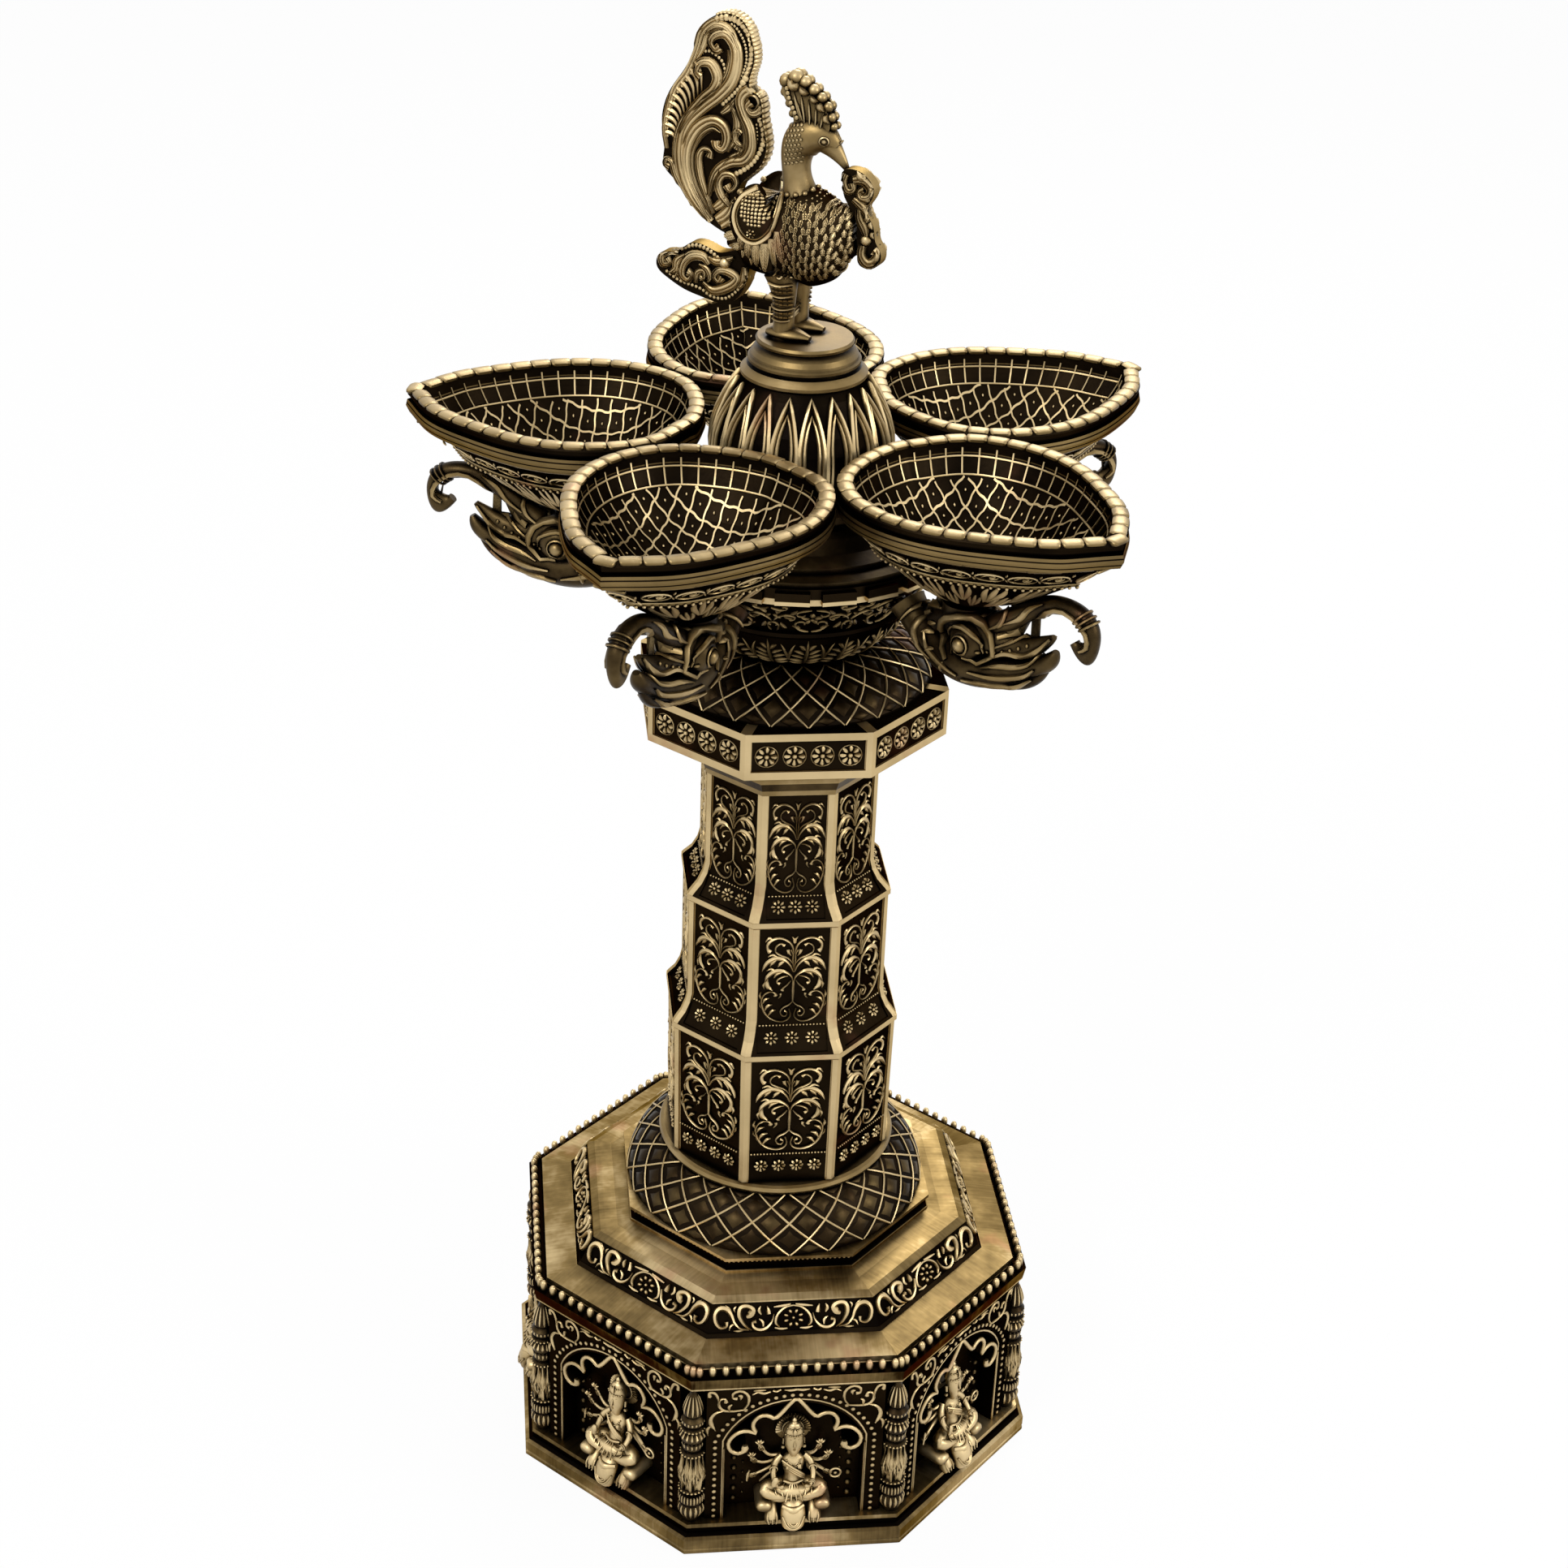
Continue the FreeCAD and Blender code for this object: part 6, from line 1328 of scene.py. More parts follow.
def goddess():
    figure = goddess_half()
    cushion = [(-11.4, 24.6, 4.6), (-8.6, 24.2, 5.4), (0, 24, 6), (8.6, 24.2, 5.4), (11.4, 24.6, 4.6)]
    figure.limb(cushion, [1.6, 2.2, 2.4, 2.2, 1.6], [4, 4.6, 4.8, 4.6, 4], 12, 12)
    lap = [(-9.4, 29.8, 6.6), (-5, 29.4, 8.4), (0, 29.2, 9.2), (5, 29.4, 8.4), (9.4, 29.8, 6.6)]
    figure.limb(lap, [1.4, 2.5, 2.8, 2.5, 1.4], [2.4, 3.2, 3.6, 3.2, 2.4], 12, 12)
    figure.limb([(0, 23.4, 8.4), (0, 20, 11.6), (0, 16, 13.2), (0, 13, 14.2), (0, 11.6, 14.6)],
        [4.2, 5.2, 5.2, 4, 1.8], [3, 3.6, 3.2, 1.9, 0.7], 12, 14)
    for reach, drop in ((4.6, 0), (3.4, 1.6), (2.2, 3)):
        figure.limb([(-reach, 19 - drop * 0.3, 14.2), (-reach * 0.6, 15.4 + drop * 0.3, 15.9),
            (0, 14 + drop * 0.6, 16.4), (reach * 0.6, 15.4 + drop * 0.3, 15.9),
            (reach, 19 - drop * 0.3, 14.2)], 0.4, 0.55, 12, 6)
    figure.limb([(-4.2, 22.4, 11.4), (0, 21.8, 13.8), (4.2, 22.4, 11.4)], [1, 1.7, 1], [1, 1.5, 1], 9, 10)
    figure.limb([(0, 28.6, 6.8), (0, 32, 6), (0, 35.2, 5.6), (0, 38.4, 5.4), (0, 41.6, 5), (0, 43.8, 4.6),
        (0, 46, 4.8)], [5.2, 4.4, 3.4, 4.2, 5, 4.2, 1.7], [4, 3.4, 2.6, 3, 3, 2.4, 1.7], 20, 12)
    figure.limb([(0, 45.8, 5.8), (0, 48.6, 6.3), (0, 52, 5.9), (0, 55.8, 5.4), (0, 58.4, 5)],
        [1.6, 2.6, 4, 4.1, 3.6], [1.5, 2, 2.9, 3, 2.6], 14, 12)
    figure.limb([(0, 55, FACE_OUT + 0.1), (0, 52.8, FACE_OUT + 0.8), (0, 52, FACE_OUT + 0.7)],
        [0.25, 0.5, 0.5], [0.3, 0.7, 0.4], 6, 6)
    for up, reach in ((50.6, 0.95), (50.1, 0.8)):
        figure.limb([(-reach, up, FACE_OUT), (0, up + 0.06, FACE_OUT + 0.42), (reach, up, FACE_OUT)],
            [0.08, 0.24, 0.08], [0.1, 0.3, 0.1], 7, 5)
    figure.join(bead(0.3, 0.5).moved(0, 56.2, FACE_OUT - 0.1))
    figure.limb([(0, 57.2, 5), (0, 58.4, 5), (0, 60, 4.8), (0, 61.8, 4.8), (0, 62.6, 4.8), (0, 63.8, 4.8),
        (0, 64.8, 4.8)], [4.3, 4.1, 3.3, 2.4, 1, 1.1, 0.2], [3.3, 3.3, 2.8, 2.1, 1, 1.1, 0.2], 18, 12)
    for up, reach, out, count in ((57.6, 3.7, 8.3, 9), (60.2, 2.8, 7.7, 7)):
        for i in range(count):
            across = (2 * i / (count - 1) - 1) * reach
            depth = out - 1.6 * (across / reach) ** 2
            figure.join(bead(0.45, 0.6).moved(across, up, depth))
    figure.limb([(0, 58.4, 8.2), (0, 59.8, 8.4), (0, 61.4, 7.4)], [0.9, 0.8, 0.1], 0.6, 6, 6)
    for i in range(19):
        turn = math.radians(-100 + 200 * i / 18)
        ray = [(r * HALO_RADIUS * math.sin(turn), HALO_CENTRE + r * HALO_RADIUS * math.cos(turn),
            1) for r in (0.62, 0.8, 1)]
        figure.limb(ray, [0.25, 0.5, 0.65], [0.6, 0.9, 1], 5, 5)
    halo = strand([(0, HALO_CENTRE, -0.5), (0, HALO_CENTRE, 0.6), (0, HALO_CENTRE, 1)],
        [HALO_RADIUS, HALO_RADIUS, HALO_RADIUS * 0.9], [HALO_RADIUS, HALO_RADIUS, HALO_RADIUS * 0.9], 24,
        out=(0, 1, 0))
    figure.join(halo, strand(ring_path(HALO_RADIUS * 0.6, 24, 0, HALO_CENTRE), 0.3, 0.6, 5,
        closed=True).moved(z=1))
    for path in (
        ((-5, 43.4, 3.2), (-9.6, 43.2, 2.6), (-12.6, 46.4, 2.6), (-14.1, 49.6, 3)),
        ((5, 43.4, 3.2), (8.6, 43.4, 2.6), (10.6, 46, 2.6), (11.4, 48.6, 3)),
        ((-5.2, 42.2, 3.4), (-11.2, 39.6, 3), (-15.4, 40.8, 3.2), (-17.4, 43.6, 3.6)),
        ((5.2, 42.2, 3.4), (10.2, 39.6, 3), (13.2, 40.6, 3.2), (14.9, 43, 3.6)),
        ((-5.2, 40.8, 3.8), (-10.6, 36.8, 3.8), (-15.4, 34.6, 4.2), (-18.6, 34.2, 4.6)),
        ((5.2, 40.8, 3.8), (10.4, 37, 3.8), (13.6, 34.8, 4.2), (16, 34.2, 4.6)),
    ):
        figure.limb(path, [1, 0.8, 0.68, 0.6], None, 12, 7)
        x, up, out = path[-1]
        for bangle in smooth(path, 12)[[8, 9]]:
            figure.join(strand(ring_path(1, 9, *bangle[:2]), 0.25, 0.4, 5,
                closed=True).moved(z=bangle[2] + 0.4))
        figure.join(bead(0.95, 1.1, 8, sunk=0.9, rings=4).moved(x, up, out))
        if up > 40:
            figure.join(lotus(x, up + 0.7, out + 0.3))
    figure.join(strand(ring_path(2.3, 16, 18, 33.9), 0.5, 0.7, 6, closed=True).moved(z=5.2))
    figure.join(bead(0.85, 0.8).moved(18, 33.9, 5.2))
    figure.limb([(-19, 31.6, 5), (-18.6, 35.2, 5.2), (-18, 37.4, 5)], [0.4, 0.7, 0.3], 0.6, 6, 6)
    figure.limb([(-8.2, 33.6, 11.2), (-7.8, 36.2, 11.4), (-7.6, 38, 11)], [1.2, 1.5, 0.6], [0.6, 0.7, 0.4],
        7, 8)
    for t in np.linspace(-1, 1, 13):
        figure.join(bead(0.4, 0.6).moved(3.1 * t, 43.8 - 3.2 * (1 - t * t),
            7.2 + 0.9 * (1 - t * t)))
    for lean in (0, 1.1, 2.2):
        figure.limb([(-4.6 + lean * 0.3, 43.2 - lean, 6.6), (-1.2, 41.4 - lean, 8.6),
            (2.4, 38.6 - lean, 8.8), (4.8, 36 - lean * 0.7, 7.8)], [0.4, 0.6, 0.6, 0.3], 0.6, 10, 6)
    figure.limb([(-4, 33.6, 8.4), (0, 32.8, 9.4), (4, 33.6, 8.4)], [0.5, 0.8, 0.5], 0.6, 9, 6)
    for lean in (-1.3, -0.45, 0.45, 1.3):
        figure.limb([(lean, 32.6, 9.6), (lean * 2, 29.8, 12.2), (lean * 2.8, 27, 14)], [0.3, 0.45, 0.2],
            0.45, 8, 5)
    return figure


def dress_corners():
    copies("colonnette_carving", colonnette_carving(), CARVED, first=FACE_TURN / 2)
    coat(SMOOTH_DARK, *numbered("corner_colonnette", SIDES))
    niche_floor = DRUM_FLAT - NICHE_DEPTH
    copies("goddesses", goddess().placed(on_front(niche_floor, 0.0)), FIGURE,
        nodes=numbered("goddess_figure", SIDES))


# Hub: a band of leaves, a ring, and a band of flowers and scrolls under the blocks


HUB_SHARES = (
    (0, 0), (0.02, 0.04), (0.19, 0.14), (0.37, 0.285), (0.49, 0.46), (0.55, 0.50), (0.55, 0.54),
     (0.505, 0.56),
    (0.56, 0.60), (0.69, 0.735), (0.87, 0.895), (1, 1),
)
HUB_FOOT = 31.0
HUB_RIM = 58.5
SCROLL_REPEATS = 11
LEAF_REPEATS = 18


def hub_section(first, last):
    bottom, top = low("hub_cup").z, high("hub_block_ring").z - 6.5
    return [(HUB_FOOT + (HUB_RIM - HUB_FOOT) * s, bottom + (top - bottom) * t) for s,
        t in HUB_SHARES[first:last]]


def flower_and_scrolls(half, tall):
    """One repeat of the hub's upper band: a flower, and two scrolls on each side of it."""
    work = Casting()
    middle = tall * 0.5
    for i in range(5):
        turn = 90 + 72 * i
        work.join(leaf((0, 0), 0, 3.6, 0, 1.3, 0.9, 6, 5).moved(x=0.8 * math.cos(math.radians(turn)),
            y=0.8 * math.sin(math.radians(turn)), turn=turn).moved(y=middle))
    work.join(bead(1.1, 1.2, 8).moved(y=middle))
    side = Casting()
    for start, heading, length, bend, width in (
        ((0.6, 1), 15, 15, 300, 0.65), ((half - 0.5, tall * 0.42), 110, 15, 300, 0.65),
        ((half - 1, 1.2), 120, 11, -290, 0.6), ((0.8, tall - 2.2), -5, 11.5, -300, 0.6),
        ((half - 0.4, tall - 1), -140, 9, -280, 0.6),
    ):
        side.join(scroll(start, heading, length, bend, width, 0.9))
    for start, heading, length, bend in (
        ((4, 2.2), 60, 4.5, -70), ((9.6, 3), 40, 4.5, 60), ((5.4, tall - 3.4), -70, 4.5, 70),
        ((10.8, tall - 3), -40, 4.4, -70), ((6.6, middle), 10, 4.6, 60), ((11.6, middle), 60, 4, -50),
    ):
        side.join(leaf(start, heading, length, bend, 1, 0.9, 6, 5))
    return work.join(side.mirrored())


def acanthus(half, tall):
    """One leaf of the hub's lower band, with lobes on both sides, and a thin one between two of them."""
    side = Casting()
    for up, length, lean in ((0.06, 0.34, 62), (0.2, 0.36, 54), (0.36, 0.34, 46), (0.52, 0.3, 36),
            (0.68, 0.22, 24)):
        side.join(leaf((0.3, up * tall), 90 - lean, length * tall * 0.9, -48, 0.95, 0.9, 6, 5))
    side.join(leaf((half, 0.25 * tall), 92, 0.62 * tall, 25, 0.8, 0.7, 7, 5))
    work = side.mirrored()
    work.join(leaf((0, 0), 90, tall * 0.98, 0, 0.8, 1.3, 9, 6))
    return work


def dress_hub():
    lower = hub_section(1, 5)
    middle = (lower[0][0] + lower[-1][0]) / 2
    half = math.pi * middle / LEAF_REPEATS
    leaves = acanthus(half, reach_of(lower)).placed(on_profile(lower, middle))
    copies("hub_leaves", leaves, CARVED_DARK, LEAF_REPEATS, body="crown")
    upper = hub_section(7, 12)
    mean = (upper[0][0] + upper[-1][0]) / 2
    half = math.pi * mean / SCROLL_REPEATS
    flowers = flower_and_scrolls(half, reach_of(upper) - 1.0).placed(on_profile(upper, mean))
    copies("hub_scrolls", flowers, CARVED_DARK, SCROLL_REPEATS, body="crown")
    coat(SOOTY, "hub_cup")
    coat(SMOOTH_DARK, "hub_cap")
    foot, top = low("hub_block_ring").z, high("hub_block_ring").z

    def block_edge(finish, place):
        z = finish.parts(place)[2]
        return 1.0 - z.ramp((foot * 0.66 + top * 0.34) * MM, (foot * 0.6 + top * 0.4) * MM)
    coat(ground_brass("block ring", block_edge, 0.08), "hub_block_ring")


# Bud: pointed petals in double outline, which run down into ribs


PETALS = 20
BUD_MEAN = 31.0
BUD_SECTION = (
    (28, 0), (30.97, 0.07), (32.86, 0.19), (33.4, 0.33), (32.97, 0.47), (31.02, 0.64), (28, 0.80),
    (24.98, 0.93), (22.6, 1),
)


def petal(half, tall):
    """A pointed petal in double outline, widest at its middle, with a dark almond inside."""
    work = Casting()
    for share, top, width, rise in ((0.87, 0.965, 1.15, 1.7), (0.52, 0.83, 0.75, 1.2)):
        edge = [(share * half * 0.72, 0.0), (share * half * 0.92, 0.18 * tall), (share * half, 0.42 * tall),
            (share * half * 0.98, 0.56 * tall), (share * half * 0.66,
            0.56 * tall + (top - 0.56) * 0.5 * tall), (0.0, top * tall)]
        edge = smooth(edge, 16)
        path = np.vstack([edge * (-1, 1), edge[-2::-1]])
        work.join(strand(path, width, rise, 7))
    return work


def dress_bud():
    bottom, top = low("lotus_bud").z, high("lotus_bud").z
    section = [(radius, bottom + share * (top - bottom)) for radius, share in BUD_SECTION]
    petals = petal(math.pi * BUD_MEAN / PETALS, reach_of(section) - 0.6).placed(on_profile(section, BUD_MEAN))
    copies("bud_petals", petals, CARVED, PETALS, body="crown")
    coat(SOOTY, "lotus_bud")
    coat(SMOOTH, "bud_collar")


# Bowls and brackets, modelled along +X and turned to their places


BOWL_CENTRE = 85.0
CUP_TURN = FIRST_BOWL - 90.0
NET_PITCH = 5.7
RIM_SEGMENTS = 38
NET_TOP = 450.0
MEDALLIONS = 22
WALL_CELLS = 44
BARS = 26
BOWL_BEADS = 84
RIM_BAND = (451.6, 452.4, 457.2, 457.6)
RIM_GROOVES = (453.3, 455.6)
FOOT_LINE = (439.3, 439.6, 440.6, 441.0)


def bowl_rule(form):
    """A rule for a bowl's outside: along in degrees round its middle from the tip, up in heights."""
    def target(along, up):
        return (BOWL_CENTRE, 0.0, up)

    def way(along, up):
        turn = math.radians(along)
        return (-math.cos(turn), -math.sin(turn), 0.0)
    return form.rule(target, way)


def bowl_ring(form, height, out):
    """The bowl's outline at a height, moved outwards, with its points spread evenly."""
    turns = np.arange(0.0, 360.0, 1.0)
    ring = bowl_rule(form)(turns, np.full(360, height), np.zeros(360))
    ring += np.column_stack([np.cos(np.radians(turns)), np.sin(np.radians(turns)), np.zeros(360)]) * out
    return even(ring, 240, closed=True)


def leaned(angle):
    """A rule for a unit of a row: along its path, up a wall that leans out by an angle, and out of it."""
    c, s = math.cos(math.radians(angle)), math.sin(math.radians(angle))

    def rule(along, up, out):
        return np.column_stack([along, -(up * s + out * c), up * c - out * s])
    return rule


def rope_segment(length, width, height):
    path = [(length * t, 0, 0) for t in (-0.5, -0.44, -0.3, 0, 0.3, 0.44, 0.5)]
    full = np.array([0.72, 0.95, 1, 1.02, 1, 0.95, 0.72])
    return strand(path, width * full, height * full, 8)


def medallion(length, tall):
    """An oval ring round a leafy scroll."""
    work = strand(ring_path(length / 2 - 0.4, 16, squash=tall / length), 0.38, 0.7, 5, closed=True)
    work.join(scroll((-length * 0.26, -0.2), 60, length * 0.8, -300, 0.42, 0.7, count=9))
    work.join(scroll((length * 0.3, 0.2), -120, length * 0.5, -260, 0.38, 0.6, count=8))
    for side in (-1, 1):
        work.join(leaf((length / 2, side * tall * 0.16), side * 62, tall * 0.38, side * 20, 0.5, 0.6, 5, 5))
    return work


def bowl_leaves(form):
    """Two rows of leaves round the bowl's foot."""
    rule = bowl_rule(form)
    work = Casting()
    for count, bottom, top, width, shift in ((16, 421.5, 431.5, 5.0, 0.0), (16, 427.0, 438.6, 6.4, 0.5)):
        for i in range(count):
            middle = 360.0 / count * (i + shift)
            for lean in (-1, 0, 1):
                path = [(middle + lean * width * 0.2, bottom), (middle + lean * width * 0.9,
                    (bottom + top) / 2), (middle + lean * width * 0.8, top - abs(lean) * 1.5)]
                work.join(limb(path, [1.2, 2.4, 0.6], [0.3, 0.6, 0.2], 7, 5).placed(rule))
    return work


def bowl_net(form):
    """The wavy net inside a bowl, with a stud in each mesh."""
    turns = np.arange(0.0, 360.0, 2.0)
    inner = []
    for turn in np.radians(turns):
        way = Vector((math.cos(turn), math.sin(turn), 0.0))
        place = form.tree.ray_cast(Vector((BOWL_CENTRE, 0.0, NET_TOP)), way)[0]
        inner.append((place - Vector((BOWL_CENTRE, 0.0, NET_TOP))).length)

    def inside(x, y, slack=0.3):
        turn = np.degrees(np.arctan2(y, x - BOWL_CENTRE)) % 360
        return np.hypot(x - BOWL_CENTRE, y) < np.interp(turn, turns, inner, period=360) - slack

    above = form.from_above()
    work = Casting()
    lines = np.arange(-11, 12)
    for across in (False, True):
        for k in lines:
            at = np.arange(-75.0, 75.0, 1.3)
            wave = 0.26 * np.sin(2 * math.pi * at / NET_PITCH + k * math.pi)
            x, y = (at, k * NET_PITCH + wave) if across else (k * NET_PITCH + wave, at)
            keep = inside(x + BOWL_CENTRE, y)
            if keep.sum() > 3:
                path = np.column_stack([x[keep] + BOWL_CENTRE, y[keep]])
                work.join(strand(path, 0.42, 0.75, 4).placed(above))
    stud = bead(0.55, 0.7, 5)
    for i in lines:
        for j in lines:
            x, y = BOWL_CENTRE + (i + 0.5) * NET_PITCH, (j + 0.5) * NET_PITCH
            if inside(x, y, 2.0):
                work.join(stud.moved(x, y).placed(above))
    wall = np.radians(range(0, 360, 3))

    def wall_ring(height):
        axis = Vector((BOWL_CENTRE, 0.0, height))
        return even([form.tree.ray_cast(axis, Vector((math.cos(t), math.sin(t), 0.0)))[0] for t in wall],
            WALL_CELLS * 3, closed=True)

    levels = [wall_ring(height) for height in (NET_TOP, NET_TOP + 3.0, NET_TOP + 6.0, NET_TOP + 9.0)]
    for level in (0, 2):
        work.join(strand(levels[level], 0.5, 0.5, 5, closed=True))
    for i in range(0, WALL_CELLS * 3, 3):
        inwards = Vector((BOWL_CENTRE - levels[0][i][0], -levels[0][i][1], 0.0)).normalized()
        work.join(strand([level[i] for level in levels], 0.42, 0.5, 4, out=tuple(inwards)))
    return work


def bowl_brass():
    """Plain brass on the rim's outer band and blackened in the bowl and below the band."""
    def band(finish, place):
        z = finish.parts(place)[2]
        outer = within(z, *RIM_BAND)
        for foot in RIM_GROOVES:
            outer = outer * (1.0 - within(z, foot, foot + 0.15, foot + 0.5, foot + 0.65))
        facing = finish.node("ShaderNodeNewGeometry", output="Normal")
        up = finish.parts(facing)[2]
        return outer.most(within(z, *FOOT_LINE)) * (1.0 - up.ramp(0.2, 0.45)) * 0.6
    return ground_brass("bowl ground", band, -0.02)


def dress_bowls():
    names = numbered("oil_bowl", BOWLS)
    form = Form(names[0], turn=CUP_TURN)
    rim = high(names[0]).z
    ride = {"count": BOWLS, "first": CUP_TURN, "step": BOWL_TURN, "body": "crown"}
    rope = bowl_ring(form, rim - 0.5, -2.3)
    length = reach_of(np.vstack([rope, rope[:1]]))
    row("bowl_rim_rope", rope, rope_segment(length / RIM_SEGMENTS - 0.25, 3.1, 1.3), RIM_SEGMENTS, ROPE,
        closed=True, **ride)
    band = bowl_ring(form, rim - 11.4, 0.1)
    row("bowl_bar_band", band, rope_segment(length / 24 - 0.5, 0.7, 0.8), BARS, CARVED, closed=True, **ride)
    ring = bowl_ring(form, rim - 17.6, 0.2)
    reach = reach_of(np.vstack([ring, ring[:1]]))
    row("bowl_medallions", ring, medallion(reach / MEDALLIONS - 0.6, 6.4).placed(leaned(44)), MEDALLIONS,
        CARVED, closed=True, **ride)
    line = bowl_ring(form, rim - 21.6, 0.3)
    copies("bowl_thin_line", strand(line, 0.5, 0.5, 5, closed=True), CARVED, **ride)
    beads = bowl_ring(form, rim - 22.8, 0.2)
    row("bowl_beads", beads, bead(0.8, 0.9).placed(leaned(20)), BOWL_BEADS, CARVED,
        closed=True, **ride)
    copies("bowl_leaves", bowl_leaves(form), CARVED, **ride)
    copies("bowl_nets", bowl_net(form), CARVED, **ride)
    coat(bowl_brass(), *names)


def bracket_leaves():
    """What lies on one side of a bracket: (along, up) in its own plane."""
    work = Casting()
    for points, widths, heights in (
        (((84, 396.5), (78, 403), (81, 411), (90, 415.5), (100, 413), (103.5, 405.5), (98.5, 399.5),
         (92, 400.5)), [0.9, 1.3, 1.6, 1.7, 1.5, 1.3, 1.1, 0.6], [1, 1.6, 2, 2, 1.8, 1.6, 1.4, 0.8]),
        (((86, 399), (82.5, 404), (85, 409.5), (91.5, 412), (98, 409), (99.5, 404.5)),
         [0.4, 0.7, 0.8, 0.8, 0.7, 0.3], 1.2),
        (((74, 411.5), (68, 407), (66.5, 401), (70, 396.5), (77, 394.5)), [0.6, 1.4, 1.5, 1.2, 0.4], 1.2),
        (((79, 414.5), (72, 413), (64, 409), (60, 403.5)), [0.5, 1.4, 1.2, 0.3], 1.1),
        (((71, 402), (75, 397), (82, 394), (90, 392.5)), [0.4, 1.3, 1.3, 0.4], 1),
        (((104, 411.5), (110, 414.5), (117, 420), (122, 426.5), (129, 430), (136, 428.5), (141, 424),
         (141.5, 419.5), (138.5, 417.2)), [1.2, 1.3, 1.2, 1.1, 1.1, 1.1, 1, 0.9, 0.7], 1.2),
        (((103, 407), (109, 410.6), (115, 415.6), (120.5, 422), (128, 426.4), (134, 425.6), (138, 421.6)),
         [0.5, 0.7, 0.7, 0.7, 0.7, 0.6, 0.4], 0.9),
        (((102, 403), (108, 406.5), (114.5, 407), (120, 411), (124.5, 416.6)), [0.5, 1.2, 1.3, 1.2, 0.4],
         1.2),
        (((95, 395.5), (103, 396), (110, 397.5), (116, 400), (120.5, 404)), [0.5, 1.2, 1.3, 1.1, 0.4], 1.1),
        (((92, 391.5), (99, 391.8), (106, 392.2), (113, 394.6), (119, 399)), [0.5, 1.3, 1.4, 1.1, 0.3], 1.1),
        (((100, 398.5), (106, 400.8), (112, 402.2), (117.5, 404.8), (121, 409)), [0.3, 0.9, 1, 0.8, 0.2],
         0.9),
        (((106, 417), (112, 421), (116, 426), (122, 430)), [0.3, 1.1, 1, 0.2], 0.9),
        (((94, 414.5), (97, 418.5), (95, 423), (90, 424)), [0.5, 1.2, 1, 0.4], 1),
        (((100, 413), (104.5, 416.5), (105.5, 421.5), (101, 424.5)), [0.4, 1, 0.9, 0.3], 1),
    ):
        work.limb(points, widths, heights, 16, 7)
    work.join(bead(3, 2.6, 10, rings=3).moved(91.5, 405.6))
    work.join(strand(ring_path(3.5, 14, 91.5, 405.6), 0.4, 0.9, 5, closed=True))
    for x, up in ((76.5, 407.5), (74.5, 402.5), (77.5, 398.2), (83, 395.4)):
        work.join(leaf((x, up), 180 + (x - 76) * 8, 5, 60, 1.1, 1.2, 7, 6))
    for i in range(7):
        x = 98 + 3 * i
        work.join(bead(0.75, 0.9).moved(x, 404.4 + 0.42 * (x - 98) * (0.4 + i * 0.09)))
    return work


def trunk_rings():
    """Raised rings round the trunk, near its curled end."""
    work = Casting()
    for x, up, lean in ((136.6, 429.0, -38), (138.2, 427.9, -44), (139.7, 426.7, -50)):
        c, s = math.cos(math.radians(lean)), math.sin(math.radians(lean))
        turns = np.linspace(0, 2 * math.pi, 14, endpoint=False)
        loop = [(x - 3.7 * math.cos(t) * s, 4.0 * math.sin(t), up + 3.7 * math.cos(t) * c) for t in turns]
        work.join(strand(loop, 0.55, 0.55, 6, closed=True, out=(c, 0, s)))
    return work


def dress_brackets():
    names = numbered("bowl_bracket", BOWLS)
    form = Form(names[0], turn=CUP_TURN)
    work = both_sides(bracket_leaves(), form).join(trunk_rings())
    copies("bracket_carving", work, CARVED_DARK, BOWLS, CUP_TURN, BOWL_TURN, body="crown")
    coat(SMOOTH_DARK, *names)


# Peacock: drawn as shares of its height, with x forwards along its heading


TALL = 116.2
HEADING = -32.0
PEACOCK_FOOT = high("finial_base").z
